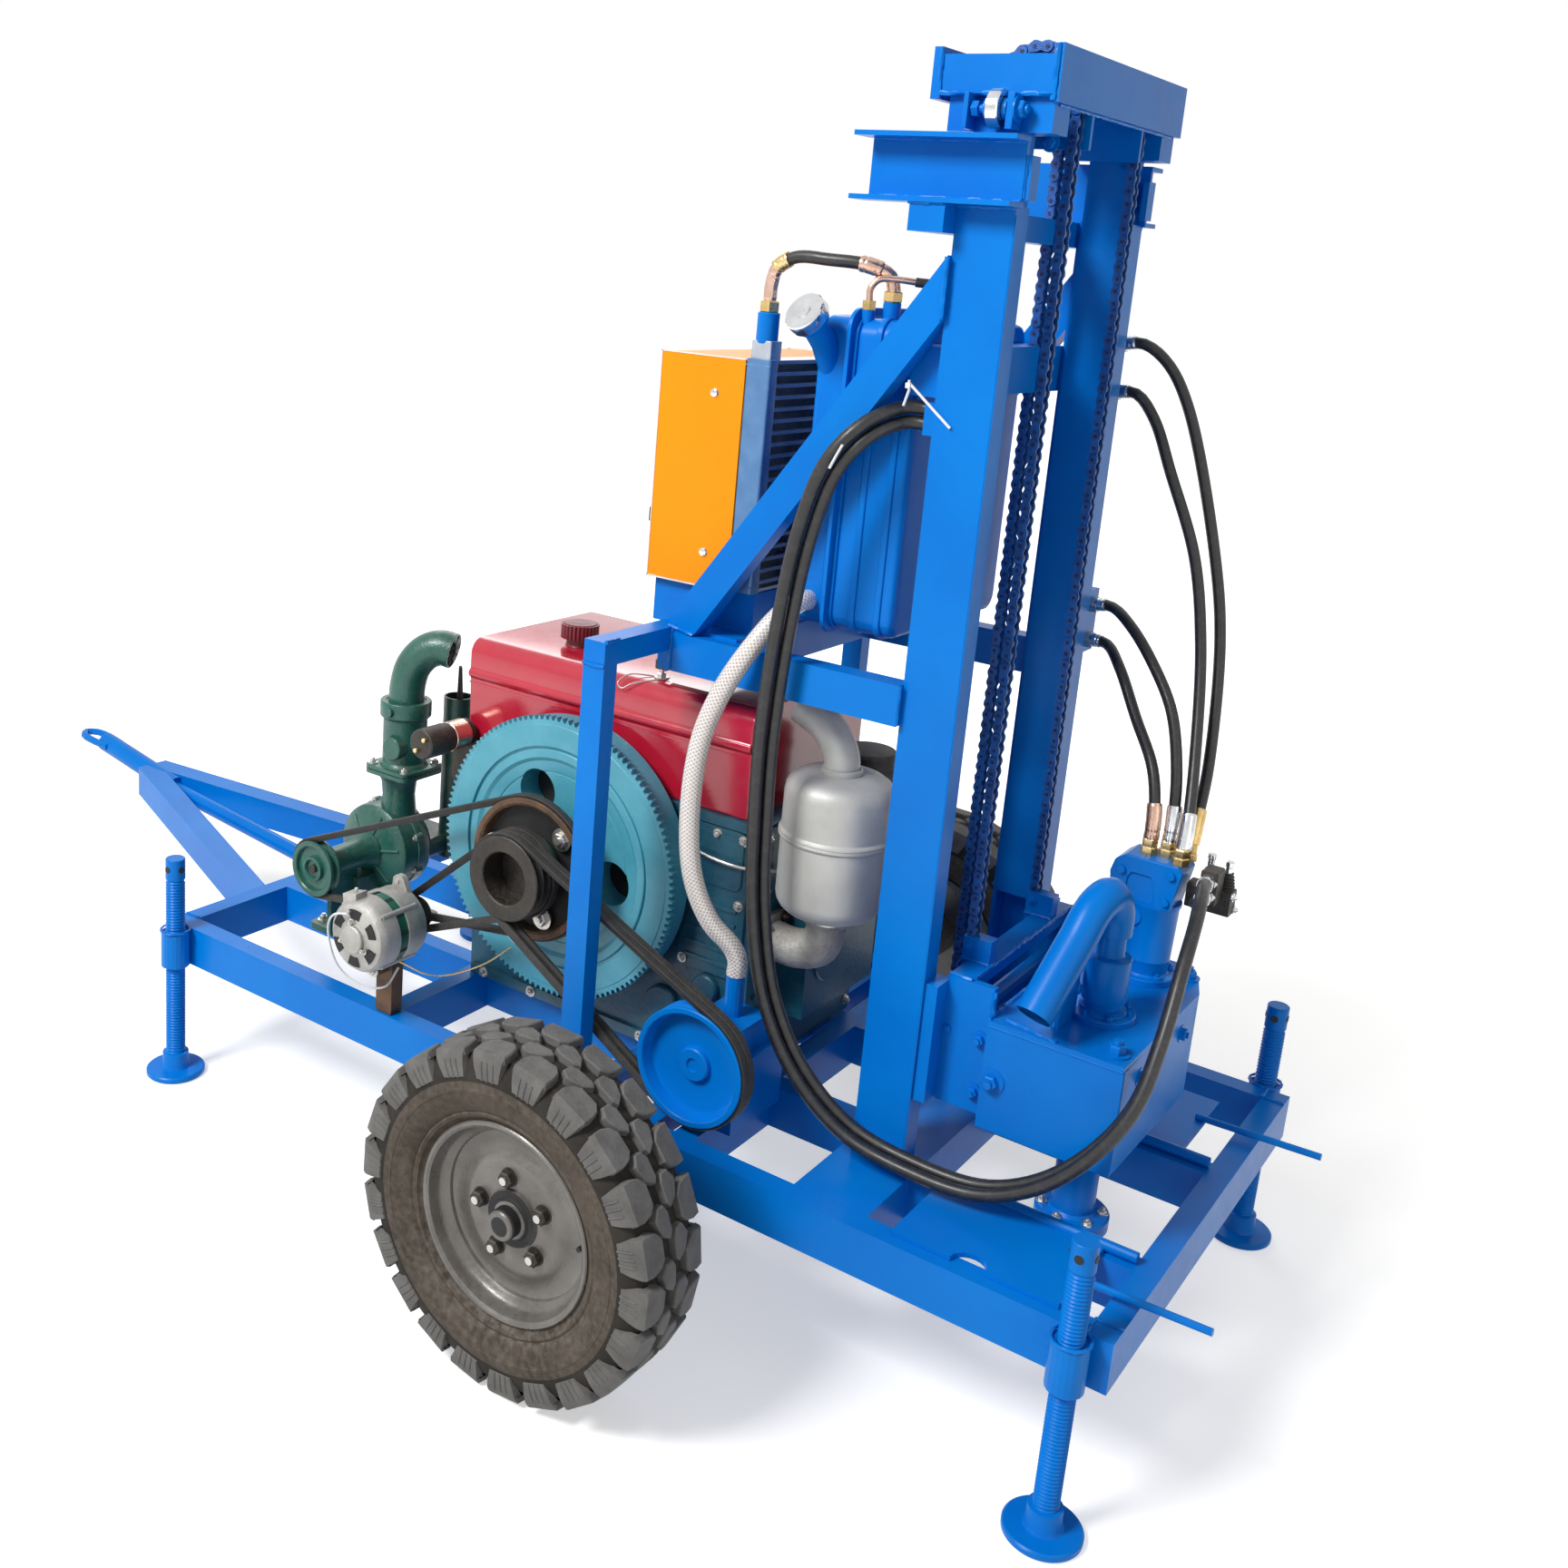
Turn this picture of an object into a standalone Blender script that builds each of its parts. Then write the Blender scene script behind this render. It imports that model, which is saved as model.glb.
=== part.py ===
"""Small two-wheel trailer drilling rig for water wells.

Frame: +X to the drilling end, -X to the drawbar, +Z up, ground at Z = 0,
X = 0 half way between the tow loop's tip and the ends of the slip levers.
All sizes are in metres.
"""
import bpy
import math
from mathutils import Vector

for old in list(bpy.data.objects):
    bpy.data.objects.remove(old, do_unlink=True)

# Shift from the chassis centre to the middle of the overall length
DX = 0.407

# Clearance left between pieces that touch
GAP = 0.0003

# Chassis of rectangular tube
FRAME_HALF_L = 1.0045
FRAME_HALF_W = 0.4465
TUBE_W = 0.040
RAIL_TOP = 0.316
RAIL_BOTTOM = 0.236

# Road wheels
WHEEL_X = 0.171
WHEEL_R = 0.284
TYRE_W = 0.148
TYRE_CLEAR = 0.1795
TYRE_IN_Y = FRAME_HALF_W + TYRE_CLEAR
TYRE_OUT_Y = TYRE_IN_Y + TYRE_W
RIM_R = 0.1625
AXLE_SIDE = 0.040
AXLE_HALF = TYRE_IN_Y - 0.066
SPINDLE_R = 0.018
SPINDLE_END = TYRE_IN_Y + 0.104

# Screw jacks
JACK_X = FRAME_HALF_L - 0.051
JACK_Y = FRAME_HALF_W + 0.0255
JACK_R = 0.0195
JACK_BORE = JACK_R + 0.0005
JACK_TOP = 0.470
COLLAR_R = 0.028
PAD_R = 0.058

# Crankshaft line of the engine
CRANK_X = -0.150
CRANK_Z = 0.645
FLY_R = 0.262
FLY_Y = -0.276

# Mast
POST_X0 = 0.488
POST_X1 = 0.578
POST_Y = 0.2536
POST_FLANGE = 0.046
POST_TOP = 1.810
MAST_T = 0.008
HEAD_TOP = POST_TOP + 0.095
CHAIN_X = 0.598
CHAIN_Y = 0.1265
SHAFT_X = 0.535
YOKE_RISE = 0.070
SHAFT_Z = HEAD_TOP + YOKE_RISE
SHAFT_R = 0.0145
SPR_R = 0.0547
YOKE_X0, YOKE_X1 = 0.440, 0.6125
ANCHOR_TOP = 0.345
LUG_TOP = 0.690
CHAIN_PITCH = 0.01905
CHAIN_W = 0.022
PLATE_HALF = 0.0085

# Drilling head
HEAD_X0 = 0.680
HEAD_X1 = 0.898
HEAD_Z0 = 0.423
HEAD_Z1 = 0.604
SPINDLE_X = 0.806
SPINDLE_Y = -0.080

# Water pump, alternator and hydraulic pump shafts
PX, PZ = -0.695, 0.486
AX, AZ = -0.397, 0.490
HYD_R = 0.102
HYD_CLEAR = 0.020
HX, HZ = 0.258, RAIL_TOP + HYD_R + HYD_CLEAR
PORT_TOP = HZ + 0.1217

# Muffler
MX, MY = 0.345, -0.150
DRUM_R = 0.092
PIPE_R = 0.034

# Hydraulic motor: tapered column and valve block over the gearbox
MOTOR = (0.806, 0.116)
BLOCK_X0, BLOCK_X1 = 0.736, 0.853
BLOCK_Y0, BLOCK_Y1 = 0.078, 0.148
BLOCK_Z0, BLOCK_Z1 = 0.738, 0.816

# Hydraulic tank
TANK_X0, TANK_SEAM, TANK_X1 = 0.248, 0.310, 0.4282
TANK_Y = 0.195

# Straight lead of each hose at its ends
LEAD = 0.006

COLOURS = {
    "blue": (0.0, 0.16, 0.66),
    "teal": (0.02, 0.10, 0.15),
    "flywheel": (0.09, 0.35, 0.52),
    "red": (0.54, 0.02, 0.05),
    "green": (0.02, 0.09, 0.07),
    "silver": (0.50, 0.50, 0.47),
    "dark": (0.02, 0.02, 0.02),
    "cast": (0.06, 0.05, 0.05),
    "tyre": (0.05, 0.045, 0.04),
    "rim": (0.22, 0.21, 0.20),
    "orange": (1.0, 0.30, 0.0),
    "core": (0.10, 0.14, 0.18),
    "alloy": (0.45, 0.45, 0.45),
    "chain": (0.12, 0.10, 0.08),
    "hose": (0.015, 0.015, 0.015),
    "clear": (0.75, 0.72, 0.70),
}


def material(name):
    mat = bpy.data.materials.new(name)
    mat.use_nodes = True
    return mat


# Shape makers: each returns vertices and faces of one closed body
def box(x0, x1, y0, y1, z0, z1):
    v = [(x0, y0, z0), (x1, y0, z0), (x1, y1, z0), (x0, y1, z0),
         (x0, y0, z1), (x1, y0, z1), (x1, y1, z1), (x0, y1, z1)]
    f = [(0, 3, 2, 1), (4, 5, 6, 7), (0, 1, 5, 4), (1, 2, 6, 5), (2, 3, 7, 6), (3, 0, 4, 7)]
    return v, f


def hexa(a, b):
    """Body between two quads a and b, each four points in the same order."""
    f = [(3, 2, 1, 0), (4, 5, 6, 7), (0, 1, 5, 4), (1, 2, 6, 5), (2, 3, 7, 6), (3, 0, 4, 7)]
    return list(a) + list(b), f


def loft_x(xa, ra, xb, rb):
    """Bar between the rectangle ra at xa and rb at xb, each y0, y1, z0, z1."""
    qa = [(xa, ra[0], ra[2]), (xa, ra[1], ra[2]), (xa, ra[1], ra[3]), (xa, ra[0], ra[3])]
    qb = [(xb, rb[0], rb[2]), (xb, rb[1], rb[2]), (xb, rb[1], rb[3]), (xb, rb[0], rb[3])]
    return hexa(qa, qb)


def prism(poly, axis, lo, hi):
    """Polygon drawn across the axis and pushed from lo to hi along it."""
    def place(p, t):
        if axis == "x":
            return (t, p[0], p[1])
        if axis == "y":
            return (p[0], t, p[1])
        return (p[0], p[1], t)
    n = len(poly)
    v = [place(p, lo) for p in poly] + [place(p, hi) for p in poly]
    f = [tuple(range(n)), tuple(range(2 * n - 1, n - 1, -1))]
    for i in range(n):
        j = (i + 1) % n
        f.append((i, i + n, j + n, j))
    return v, f


def disc(c, r, n, start=0.0):
    return [(c[0] + r * math.cos(start + 2 * math.pi * i / n),
        c[1] + r * math.sin(start + 2 * math.pi * i / n)) for i in range(n)]


def cyl(axis, c, r, lo, hi, n=24, start=0.0):
    return prism(disc(c, r, n, start), axis, lo, hi)


def lathe(axis, c, profile, n=48):
    """Closed ring or solid turned round the axis; profile is (radius, place along axis)."""
    v = []
    f = []
    rings = []
    for r, t in profile:
        if r < 1e-6:
            rings.append([len(v)])
            pts = [(0.0, 0.0)]
        else:
            rings.append(list(range(len(v), len(v) + n)))
            pts = [(r * math.cos(2 * math.pi * i / n), r * math.sin(2 * math.pi * i / n)) for i in range(n)]
        for a, b in pts:
            if axis == "x":
                v.append((t, c[0] + a, c[1] + b))
            elif axis == "y":
                v.append((c[0] + a, t, c[1] + b))
            else:
                v.append((c[0] + a, c[1] + b, t))
    m = len(rings)
    closed = len(rings[0]) > 1
    for k in range(m if closed else m - 1):
        a = rings[k]
        b = rings[(k + 1) % m]
        for i in range(n):
            j = (i + 1) % n
            if len(a) == 1 and len(b) == 1:
                continue
            if len(a) == 1:
                f.append((a[0], b[i], b[j]))
            elif len(b) == 1:
                f.append((a[i], b[0], a[j]))
            else:
                f.append((a[i], b[i], b[j], a[j]))
    return v, f


def smooth_path(points, step):
    """Points at even steps on a smooth curve through the route points."""
    pts = [Vector(p) for p in points]
    ext = [pts[0] * 2 - pts[1]] + pts + [pts[-1] * 2 - pts[-2]]
    dense = []
    for k in range(1, len(ext) - 2):
        p0, p1, p2, p3 = ext[k - 1], ext[k], ext[k + 1], ext[k + 2]
        t0 = 0.0
        t1 = t0 + max((p1 - p0).length, 1e-6) ** 0.5
        t2 = t1 + max((p2 - p1).length, 1e-6) ** 0.5
        t3 = t2 + max((p3 - p2).length, 1e-6) ** 0.5
        for i in range(24):
            t = t1 + (t2 - t1) * i / 24
            a1 = p0 * ((t1 - t) / (t1 - t0)) + p1 * ((t - t0) / (t1 - t0))
            a2 = p1 * ((t2 - t) / (t2 - t1)) + p2 * ((t - t1) / (t2 - t1))
            a3 = p2 * ((t3 - t) / (t3 - t2)) + p3 * ((t - t2) / (t3 - t2))
            b1 = a1 * ((t2 - t) / (t2 - t0)) + a2 * ((t - t0) / (t2 - t0))
            b2 = a2 * ((t3 - t) / (t3 - t1)) + a3 * ((t - t1) / (t3 - t1))
            dense.append(b1 * ((t2 - t) / (t2 - t1)) + b2 * ((t - t1) / (t2 - t1)))
    dense.append(pts[-1])
    total = [0.0]
    for a, b in zip(dense, dense[1:]):
        total.append(total[-1] + (b - a).length)
    count = max(2, int(round(total[-1] / step)))
    out = []
    k = 0
    for i in range(count + 1):
        s = total[-1] * i / count
        while k < len(total) - 2 and total[k + 1] < s:
            k += 1
        w = (s - total[k]) / max(total[k + 1] - total[k], 1e-9)
        out.append(dense[k].lerp(dense[k + 1], min(max(w, 0.0), 1.0)))
    return out


def sweep(points, r, sides=10):
    """Round bar along the points, with flat caps."""
    pts = [Vector(p) for p in points]
    v = []
    f = []
    tang = []
    for i in range(len(pts)):
        a = pts[max(i - 1, 0)]
        b = pts[min(i + 1, len(pts) - 1)]
        tang.append((b - a).normalized())
    ref = Vector((0, 0, 1)) if abs(tang[0].z) < 0.9 else Vector((1, 0, 0))
    u = tang[0].cross(ref).normalized()
    for i, p in enumerate(pts):
        u = (u - tang[i] * u.dot(tang[i])).normalized()
        w = tang[i].cross(u)
        for k in range(sides):
            an = 2 * math.pi * k / sides
            v.append(tuple(p + u * (r * math.cos(an)) + w * (r * math.sin(an))))
    for i in range(len(pts) - 1):
        for k in range(sides):
            j = (k + 1) % sides
            f.append((i * sides + k, i * sides + j, (i + 1) * sides + j, (i + 1) * sides + k))
    f.append(tuple(range(sides - 1, -1, -1)))
    f.append(tuple((len(pts) - 1) * sides + k for k in range(sides)))
    return v, f


def mirror_y(shape):
    v, f = shape
    return [(x, -y, z) for x, y, z in v], [tuple(reversed(q)) for q in f]


def raw_object(name, shape, pivot):
    v, f = shape
    mesh = bpy.data.meshes.new(name)
    mesh.from_pydata([(x - pivot[0], y - pivot[1], z - pivot[2]) for x, y, z in v], [], f)
    mesh.validate()
    mesh.update()
    ob = bpy.data.objects.new(name, mesh)
    bpy.context.scene.collection.objects.link(ob)
    ob.location = (pivot[0] + DX, pivot[1], pivot[2])
    return ob


def face_out(mesh):
    """Turn the faces outward by the sign of the volume."""
    vol = 0.0
    vs = mesh.vertices
    for p in mesh.polygons:
        a = vs[p.vertices[0]].co
        for i in range(1, len(p.vertices) - 1):
            vol += a.dot(vs[p.vertices[i]].co.cross(vs[p.vertices[i + 1]].co))
    if vol < 0:
        mesh.flip_normals()


def part(name, colour, shapes, cuts=(), pivot=(0.0, 0.0, 0.0)):
    """One named piece: the union of the shapes less the cuts."""
    ob = raw_object(name, shapes[0], pivot)
    face_out(ob.data)
    helpers = []
    for kind, group in (("UNION", shapes[1:]), ("DIFFERENCE", cuts)):
        for s in group:
            h = raw_object(name + "_help", s, pivot)
            face_out(h.data)
            mod = ob.modifiers.new("join", "BOOLEAN")
            mod.operation = kind
            mod.solver = "EXACT"
            mod.object = h
            helpers.append(h)
    if helpers:
        bpy.context.view_layer.update()
        graph = bpy.context.evaluated_depsgraph_get()
        baked = bpy.data.meshes.new_from_object(ob.evaluated_get(graph))
        ob.modifiers.clear()
        ob.data = baked
        for h in helpers:
            bpy.data.objects.remove(h, do_unlink=True)
    mat = material(name)
    rgb = COLOURS[colour]
    for node in mat.node_tree.nodes:
        if node.type == "BSDF_PRINCIPLED":
            node.inputs["Base Color"].default_value = (rgb[0], rgb[1], rgb[2], 1.0)
            node.inputs["Roughness"].default_value = 0.45
    mat.diffuse_color = (rgb[0], rgb[1], rgb[2], 1.0)
    ob.data.materials.clear()
    ob.data.materials.append(mat)
    return ob


# Chassis
IN_Y = FRAME_HALF_W - TUBE_W
axle_hole = box(WHEEL_X - AXLE_SIDE / 2 - GAP, WHEEL_X + AXLE_SIDE / 2 + GAP, -AXLE_HALF, AXLE_HALF,
                WHEEL_R - AXLE_SIDE / 2 - GAP, WHEEL_R + AXLE_SIDE / 2 + GAP)
for side, sy in (("near", -1), ("far", 1)):
    lo, hi = sorted((sy * FRAME_HALF_W, sy * IN_Y))
    rail = box(-FRAME_HALF_L, FRAME_HALF_L, lo, hi, RAIL_BOTTOM, RAIL_TOP)
    collars = [cyl("z", (sx * JACK_X, sy * JACK_Y), COLLAR_R, RAIL_BOTTOM + 0.004, RAIL_TOP - 0.004, 20)
        for sx in (-1, 1)]
    bores = [cyl("z", (sx * JACK_X, sy * JACK_Y), JACK_BORE, 0.2, 0.4, 20) for sx in (-1, 1)]
    part(side + "_rail", "blue", [rail] + collars, bores + [axle_hole])
BEAM_Y = IN_Y - GAP
cross = [box(-FRAME_HALF_L, -FRAME_HALF_L + TUBE_W, -BEAM_Y, BEAM_Y, RAIL_BOTTOM, RAIL_TOP),
         box(FRAME_HALF_L - TUBE_W, FRAME_HALF_L, -BEAM_Y, BEAM_Y, RAIL_BOTTOM, RAIL_TOP),
         box(0.460, 0.484, -0.170, 0.170, RAIL_TOP - 0.010, ANCHOR_TOP)]
for x0, x1 in ((-0.420, -0.380), (0.024, 0.064), (0.240, 0.280), (0.470, 0.600)):
    cross.append(box(x0, x1, -BEAM_Y, BEAM_Y, RAIL_BOTTOM + 0.001, RAIL_TOP))
for x0, x1, y0, y1 in ((-FRAME_HALF_L + 0.0145, 0.480, -0.170, -0.130),
    (-FRAME_HALF_L + 0.0145, 0.480, 0.130, 0.170),
                       (0.590, FRAME_HALF_L - TUBE_W + 0.002, -0.262, -0.222),
                       (0.590, FRAME_HALF_L - TUBE_W + 0.002, 0.080, 0.120)):
    cross.append(box(x0, x1, y0, y1, RAIL_BOTTOM + 0.003, RAIL_TOP))
part("cross_frame", "blue", cross, [axle_hole])

# Drawbar: two arms, a centre tube, the tow tube and its loop
FRONT = -FRAME_HALF_L - GAP
arm = loft_x(FRONT, (-0.252, -0.196, RAIL_TOP - 0.070, RAIL_TOP), FRONT - 0.6452,
    (-0.040, 0.016, RAIL_TOP + 0.002, RAIL_TOP + 0.072))
LOOP_Z = RAIL_TOP + 0.084
bend = [(0.7952, 0.020, 0.0), (0.8452, 0.024, 0.004), (0.8902, 0.020, 0.008)]
loop = smooth_path([(FRONT - d, -y, LOOP_Z + z) for d, y, z in bend] + [(FRONT - 0.9091, 0.0, LOOP_Z + 0.009)]
                   + [(FRONT - d, y, LOOP_Z + z) for d, y, z in reversed(bend)], 0.016)
part("drawbar", "blue", [arm, mirror_y(arm),
                         sweep([(FRONT + 0.01, 0.0, RAIL_TOP - 0.026),
                         (FRONT - 0.5552, 0.0, RAIL_TOP + 0.029)], 0.018, 14),
                         sweep([(FRONT - 0.5552, 0.0, RAIL_TOP + 0.036),
                         (FRONT - 0.8302, 0.0, RAIL_TOP + 0.086)], 0.024, 16),
                         sweep(loop, 0.009, 8)], [box(FRONT, FRONT + 0.1, -0.4, 0.4, 0.1, 0.5)])

# Axle with its wheel spindles
part("axle", "blue", [box(WHEEL_X - AXLE_SIDE / 2, WHEEL_X + AXLE_SIDE / 2, -AXLE_HALF, AXLE_HALF,
    WHEEL_R - AXLE_SIDE / 2, WHEEL_R + AXLE_SIDE / 2),
                      cyl("y", (WHEEL_X, WHEEL_R), SPINDLE_R, -SPINDLE_END, SPINDLE_END, 20)])

# Jacks: plain head, threaded screw, round foot
for name, sx, sy in (("jack_front_near", -1, -1), ("jack_front_far", -1, 1), ("jack_rear_near", 1, -1),
    ("jack_rear_far", 1, 1)):
    prof = [(0.0, 0.0), (PAD_R, 0.0), (PAD_R, 0.005), (0.030, 0.012), (0.026, 0.030), (JACK_R, 0.031),
            (JACK_R, JACK_TOP), (0.0, JACK_TOP)]
    part(name, "blue", [lathe("z", (sx * JACK_X, sy * JACK_Y), prof, 16)],
        pivot=(sx * JACK_X, sy * JACK_Y, 0.0))

# Wheels
TREAD_PITCHES = 20


def tyre(sy):
    """Tyre with two staggered rows of blocks raised from the tread."""
    mid = sy * (TYRE_OUT_Y + TYRE_IN_Y) / 2
    half = (TYRE_OUT_Y - TYRE_IN_Y) / 2
    base = WHEEL_R - 0.012
    bead = RIM_R - 0.009
    low = RIM_R + 0.0095
    belly = WHEEL_R - 0.064
    edge = WHEEL_R - 0.032
    rows = [(bead, -0.0495, 0), (low, -0.0503, 0), (belly, -half, 0), (edge, -0.069, 1),
            (base, -0.052, 1), (base, -0.004, 1), (base, 0.004, 2), (base, 0.052, 2),
            (edge, 0.069, 2), (belly, half, 0), (low, 0.0503, 0), (bead, 0.0495, 0)]
    v = []
    f = []
    per = 4
    n = TREAD_PITCHES * per
    step = 2 * math.pi / TREAD_PITCHES
    for r, y, row in rows:
        for i in range(n):
            p, q = divmod(i, per)
            frac = (0.0, 0.08, 0.50, 0.58)[q]
            an = (p + frac) * step
            up = (q in (1, 2)) if row == 1 else (q in (3, 0)) if row == 2 else False
            lift = 0.012 if r == base else 0.006
            rr = r + (lift if up else 0.0)
            v.append((WHEEL_X + rr * math.cos(an), mid + y, WHEEL_R + rr * math.sin(an)))
    m = len(rows)
    for k in range(m):
        k2 = (k + 1) % m
        for i in range(n):
            j = (i + 1) % n
            f.append((k * n + i, k * n + j, k2 * n + j, k2 * n + i))
    return v, f


def wheel(sy):
    mid = sy * (TYRE_OUT_Y + TYRE_IN_Y) / 2

    def at(o):
        return mid + sy * o
    prof = [(SPINDLE_R + GAP, at(-0.060)), (SPINDLE_R + GAP, at(0.032)), (0.0, at(0.032)), (0.0, at(0.062)),
        (0.024, at(0.060)),
            (0.030, at(0.038)), (0.046, at(0.034)), (0.092, at(0.028)), (0.108, at(0.018)),
            (0.1335, at(0.016)),
            (0.1335, at(0.024)), (0.149, at(0.035)), (0.152, at(0.055)), (RIM_R, at(0.055)),
            (RIM_R, at(0.0520)), (0.1530, at(0.0510)), (0.1530, at(0.030)),
            (0.138, at(0.018)), (0.138, at(-0.018)), (0.1530, at(-0.030)), (0.1530, at(-0.0510)),
            (RIM_R, at(-0.0520)), (RIM_R, at(-0.055)),
            (0.152, at(-0.055)), (0.133, at(-0.022)), (0.133, at(0.008)), (0.095, at(0.020)),
            (0.042, at(0.020)), (0.040, at(-0.060))]
    k = next(i for i, p in enumerate(prof) if p[0] == 0.0)
    prof = prof[k + 1:] + prof[:k + 1]
    body = lathe("y", (WHEEL_X, WHEEL_R), prof, 18)
    nuts = []
    for i in range(5):
        an = math.radians(100 + 72 * i)
        c = (WHEEL_X + 0.065 * math.cos(an), WHEEL_R + 0.065 * math.sin(an))
        lo, hi = sorted((at(0.026), at(0.040)))
        nuts.append(cyl("y", c, 0.0125, lo, hi, 6))
    return [body] + nuts


for side, sy in (("near", -1), ("far", 1)):
    piv = (WHEEL_X, sy * (TYRE_OUT_Y + TYRE_IN_Y) / 2, WHEEL_R)
    part(side + "_tyre", "tyre", [tyre(sy)], pivot=piv)
    part(side + "_wheel", "rim", wheel(sy), pivot=piv)

# Engine: block with starter, hood, flywheel and crank pulleys
C = (CRANK_X, CRANK_Z)
part("engine_block", "teal", [box(-0.400, 0.230, -0.200, 0.190, 0.3163, 0.7895),
                              box(0.220, 0.290, -0.105, 0.150, 0.420, 0.640),
                              cyl("y", C, 0.075, -0.2162, -0.190, 24)])
part("starter", "dark", [cyl("y", (-0.445, 0.812), 0.032, -0.360, -0.2085, 18),
                    box(-0.460, -0.4003, -0.2120, -0.140, 0.700, 0.7895)])
hood_poly = [(-0.195, 0.790), (0.185, 0.790), (0.190, 0.955), (0.165, 0.985), (-0.175, 0.985),
    (-0.200, 0.955),
             (-0.200, 0.925), (-0.206, 0.922), (-0.206, 0.912), (-0.198, 0.909)]
part("engine_hood", "red", [prism(hood_poly, "x", -0.436, 0.198),
                            cyl("z", (-0.272, -0.080), 0.024, 0.975, 1.005, 20),
                            cyl("z", (-0.272, -0.080), 0.036, 1.000, 1.030, 20)])
fly = [(0.030, -0.2165), (FLY_R - 0.004, -0.2165), (FLY_R - 0.004, FLY_Y + 0.012),
    (FLY_R - 0.014, FLY_Y + 0.012),
       (FLY_R - 0.020, FLY_Y), (0.200, FLY_Y), (0.190, FLY_Y + 0.010), (0.030, FLY_Y + 0.010)]
part("flywheel", "flywheel", [lathe("y", C, fly, 40)],
     [cyl("y", (C[0] + 0.125 * math.cos(a), C[1] + 0.125 * math.sin(a)), 0.034, -0.3, -0.2, 16)
      for a in (math.radians(80), math.radians(200), math.radians(320))], pivot=(C[0], 0.0, C[1]))

# Belt grooves: bottom radius under the rim radius, with the rim lines on both sides
GROOVE = 0.009
THIN_R, THIN_Y = 0.1286, -0.335
THICK_R = 0.0764
PUMP_R = 0.0564
ALT_R = 0.032
ALT_Y = -0.3655
MAIN_Y = (-0.3835, -0.4005)


def groove(r, y, half=0.0075):
    """Profile points of one V groove about y, run towards -Y."""
    return [(r, y + half), (r - GROOVE, y + 0.003), (r - GROOVE, y - 0.003), (r, y - half)]


pul = [(0.0, FLY_Y + 0.0097), (0.060, FLY_Y + 0.0097), (0.062, THIN_Y + 0.014),
    (THIN_R, THIN_Y + 0.011)] + groove(THIN_R, THIN_Y) + \
      [(THIN_R, THIN_Y - 0.011), (0.115, THIN_Y - 0.012), (0.060, THIN_Y - 0.012), (0.060, -0.352),
      (THICK_R, -0.354)] + \
      groove(THICK_R, ALT_Y) + groove(THICK_R, MAIN_Y[0]) + groove(THICK_R, MAIN_Y[1]) + \
      [(THICK_R, -0.411), (0.047, -0.412), (0.047, -0.360), (0.0, -0.360)]
part("crank_pulleys", "cast", [lathe("y", C, pul, 18)], pivot=(C[0], 0.0, C[1]))

# Exhaust: flanged elbow, muffler drum and bent outlet
ELBOW = smooth_path([(MX, MY, 0.680), (MX, MY, 0.625), (MX - 0.012, MY, 0.590), (MX - 0.050, MY, 0.575),
    (0.240, MY, 0.575)], 0.03)
OUTLET = smooth_path([(MX, MY, 0.890), (MX - 0.005, MY, 0.935), (MX - 0.035, MY, 0.975),
    (MX - 0.085, MY, 1.0)], 0.03)
drum = [(0.0, 0.655), (0.052, 0.655), (0.080, 0.664), (DRUM_R, 0.686), (DRUM_R, 0.790),
    (DRUM_R + 0.004, 0.794), (DRUM_R + 0.004, 0.804),
        (DRUM_R, 0.808), (DRUM_R, 0.874), (0.080, 0.896), (0.052, 0.905), (0.0, 0.905)]
part("muffler", "silver", [lathe("z", (MX, MY), drum, 20), sweep(ELBOW, PIPE_R, 12),
                           box(0.2303, 0.244, MY - 0.040, MY + 0.040, 0.531, 0.619),
                           sweep(OUTLET, 0.030, 12)],
     [sweep([(MX - 0.060, MY, 0.988), (MX - 0.160, MY, 1.036)], 0.026, 12)])
part("air_cleaner", "dark",
    [cyl("z", (0.305, 0.020), 0.050, 0.760, 0.900, 20), cyl("z", (0.268, 0.020), 0.018, 0.6403, 0.780, 12)])

# Water pump with pulley
part("water_pump", "green",
    [lathe("y", (PX, PZ), [(0.0, -0.3200), (0.030, -0.3200), (0.030, -0.200), (0.060, -0.190),
    (0.088, -0.180), (0.092, -0.165),
                                                   (0.092, -0.110), (0.080, -0.098), (0.0, -0.095)], 20),
                             box(PX - 0.010, PX + 0.070, -0.170, -0.105, PZ, 0.660),
                             box(PX - 0.035, PX + 0.090, -0.200, -0.075, 0.650, 0.664),
                             cyl("z", (PX + 0.025, -0.138), 0.044, 0.660, 0.790, 20),
                             cyl("z", (PX + 0.025, -0.138), 0.052, 0.780, 0.815, 20),
                             sweep(smooth_path([(PX + 0.025, -0.138, 0.80), (PX + 0.028, -0.136, 0.86),
                             (PX + 0.055, -0.122, 0.91), (PX + 0.105, -0.092, 0.925),
                                                (PX + 0.140, -0.070, 0.905), (PX + 0.150, -0.062, 0.875)],
                                                0.03), 0.036, 12),
                             cyl("z", (PX + 0.080, -0.030), 0.030, PZ - 0.03, 0.800, 16),
                             box(PX - 0.02, PX + 0.09, -0.14, -0.02, PZ - 0.02, PZ + 0.02),
                             box(PX - 0.080, PX + 0.080, -0.280, -0.060, RAIL_TOP + GAP, 0.330),
                             box(PX - 0.020, PX + 0.020, -0.260, -0.110, 0.325, PZ)],
     [cyl("z", (PX + 0.080, -0.030), 0.025, 0.70, 0.90, 16)])
part("pump_pulley", "green",
    [lathe("y", (PX, PZ), [(0.0, -0.3203), (0.050, -0.3203), (PUMP_R, THIN_Y + 0.011)]
    + groove(PUMP_R, THIN_Y) +
                                    [(PUMP_R, -0.349), (0.046, -0.350), (0.044, -0.340), (0.022, -0.340),
                                    (0.022, -0.350), (0.0, -0.350)], 20)], pivot=(PX, 0.0, PZ))

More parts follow.
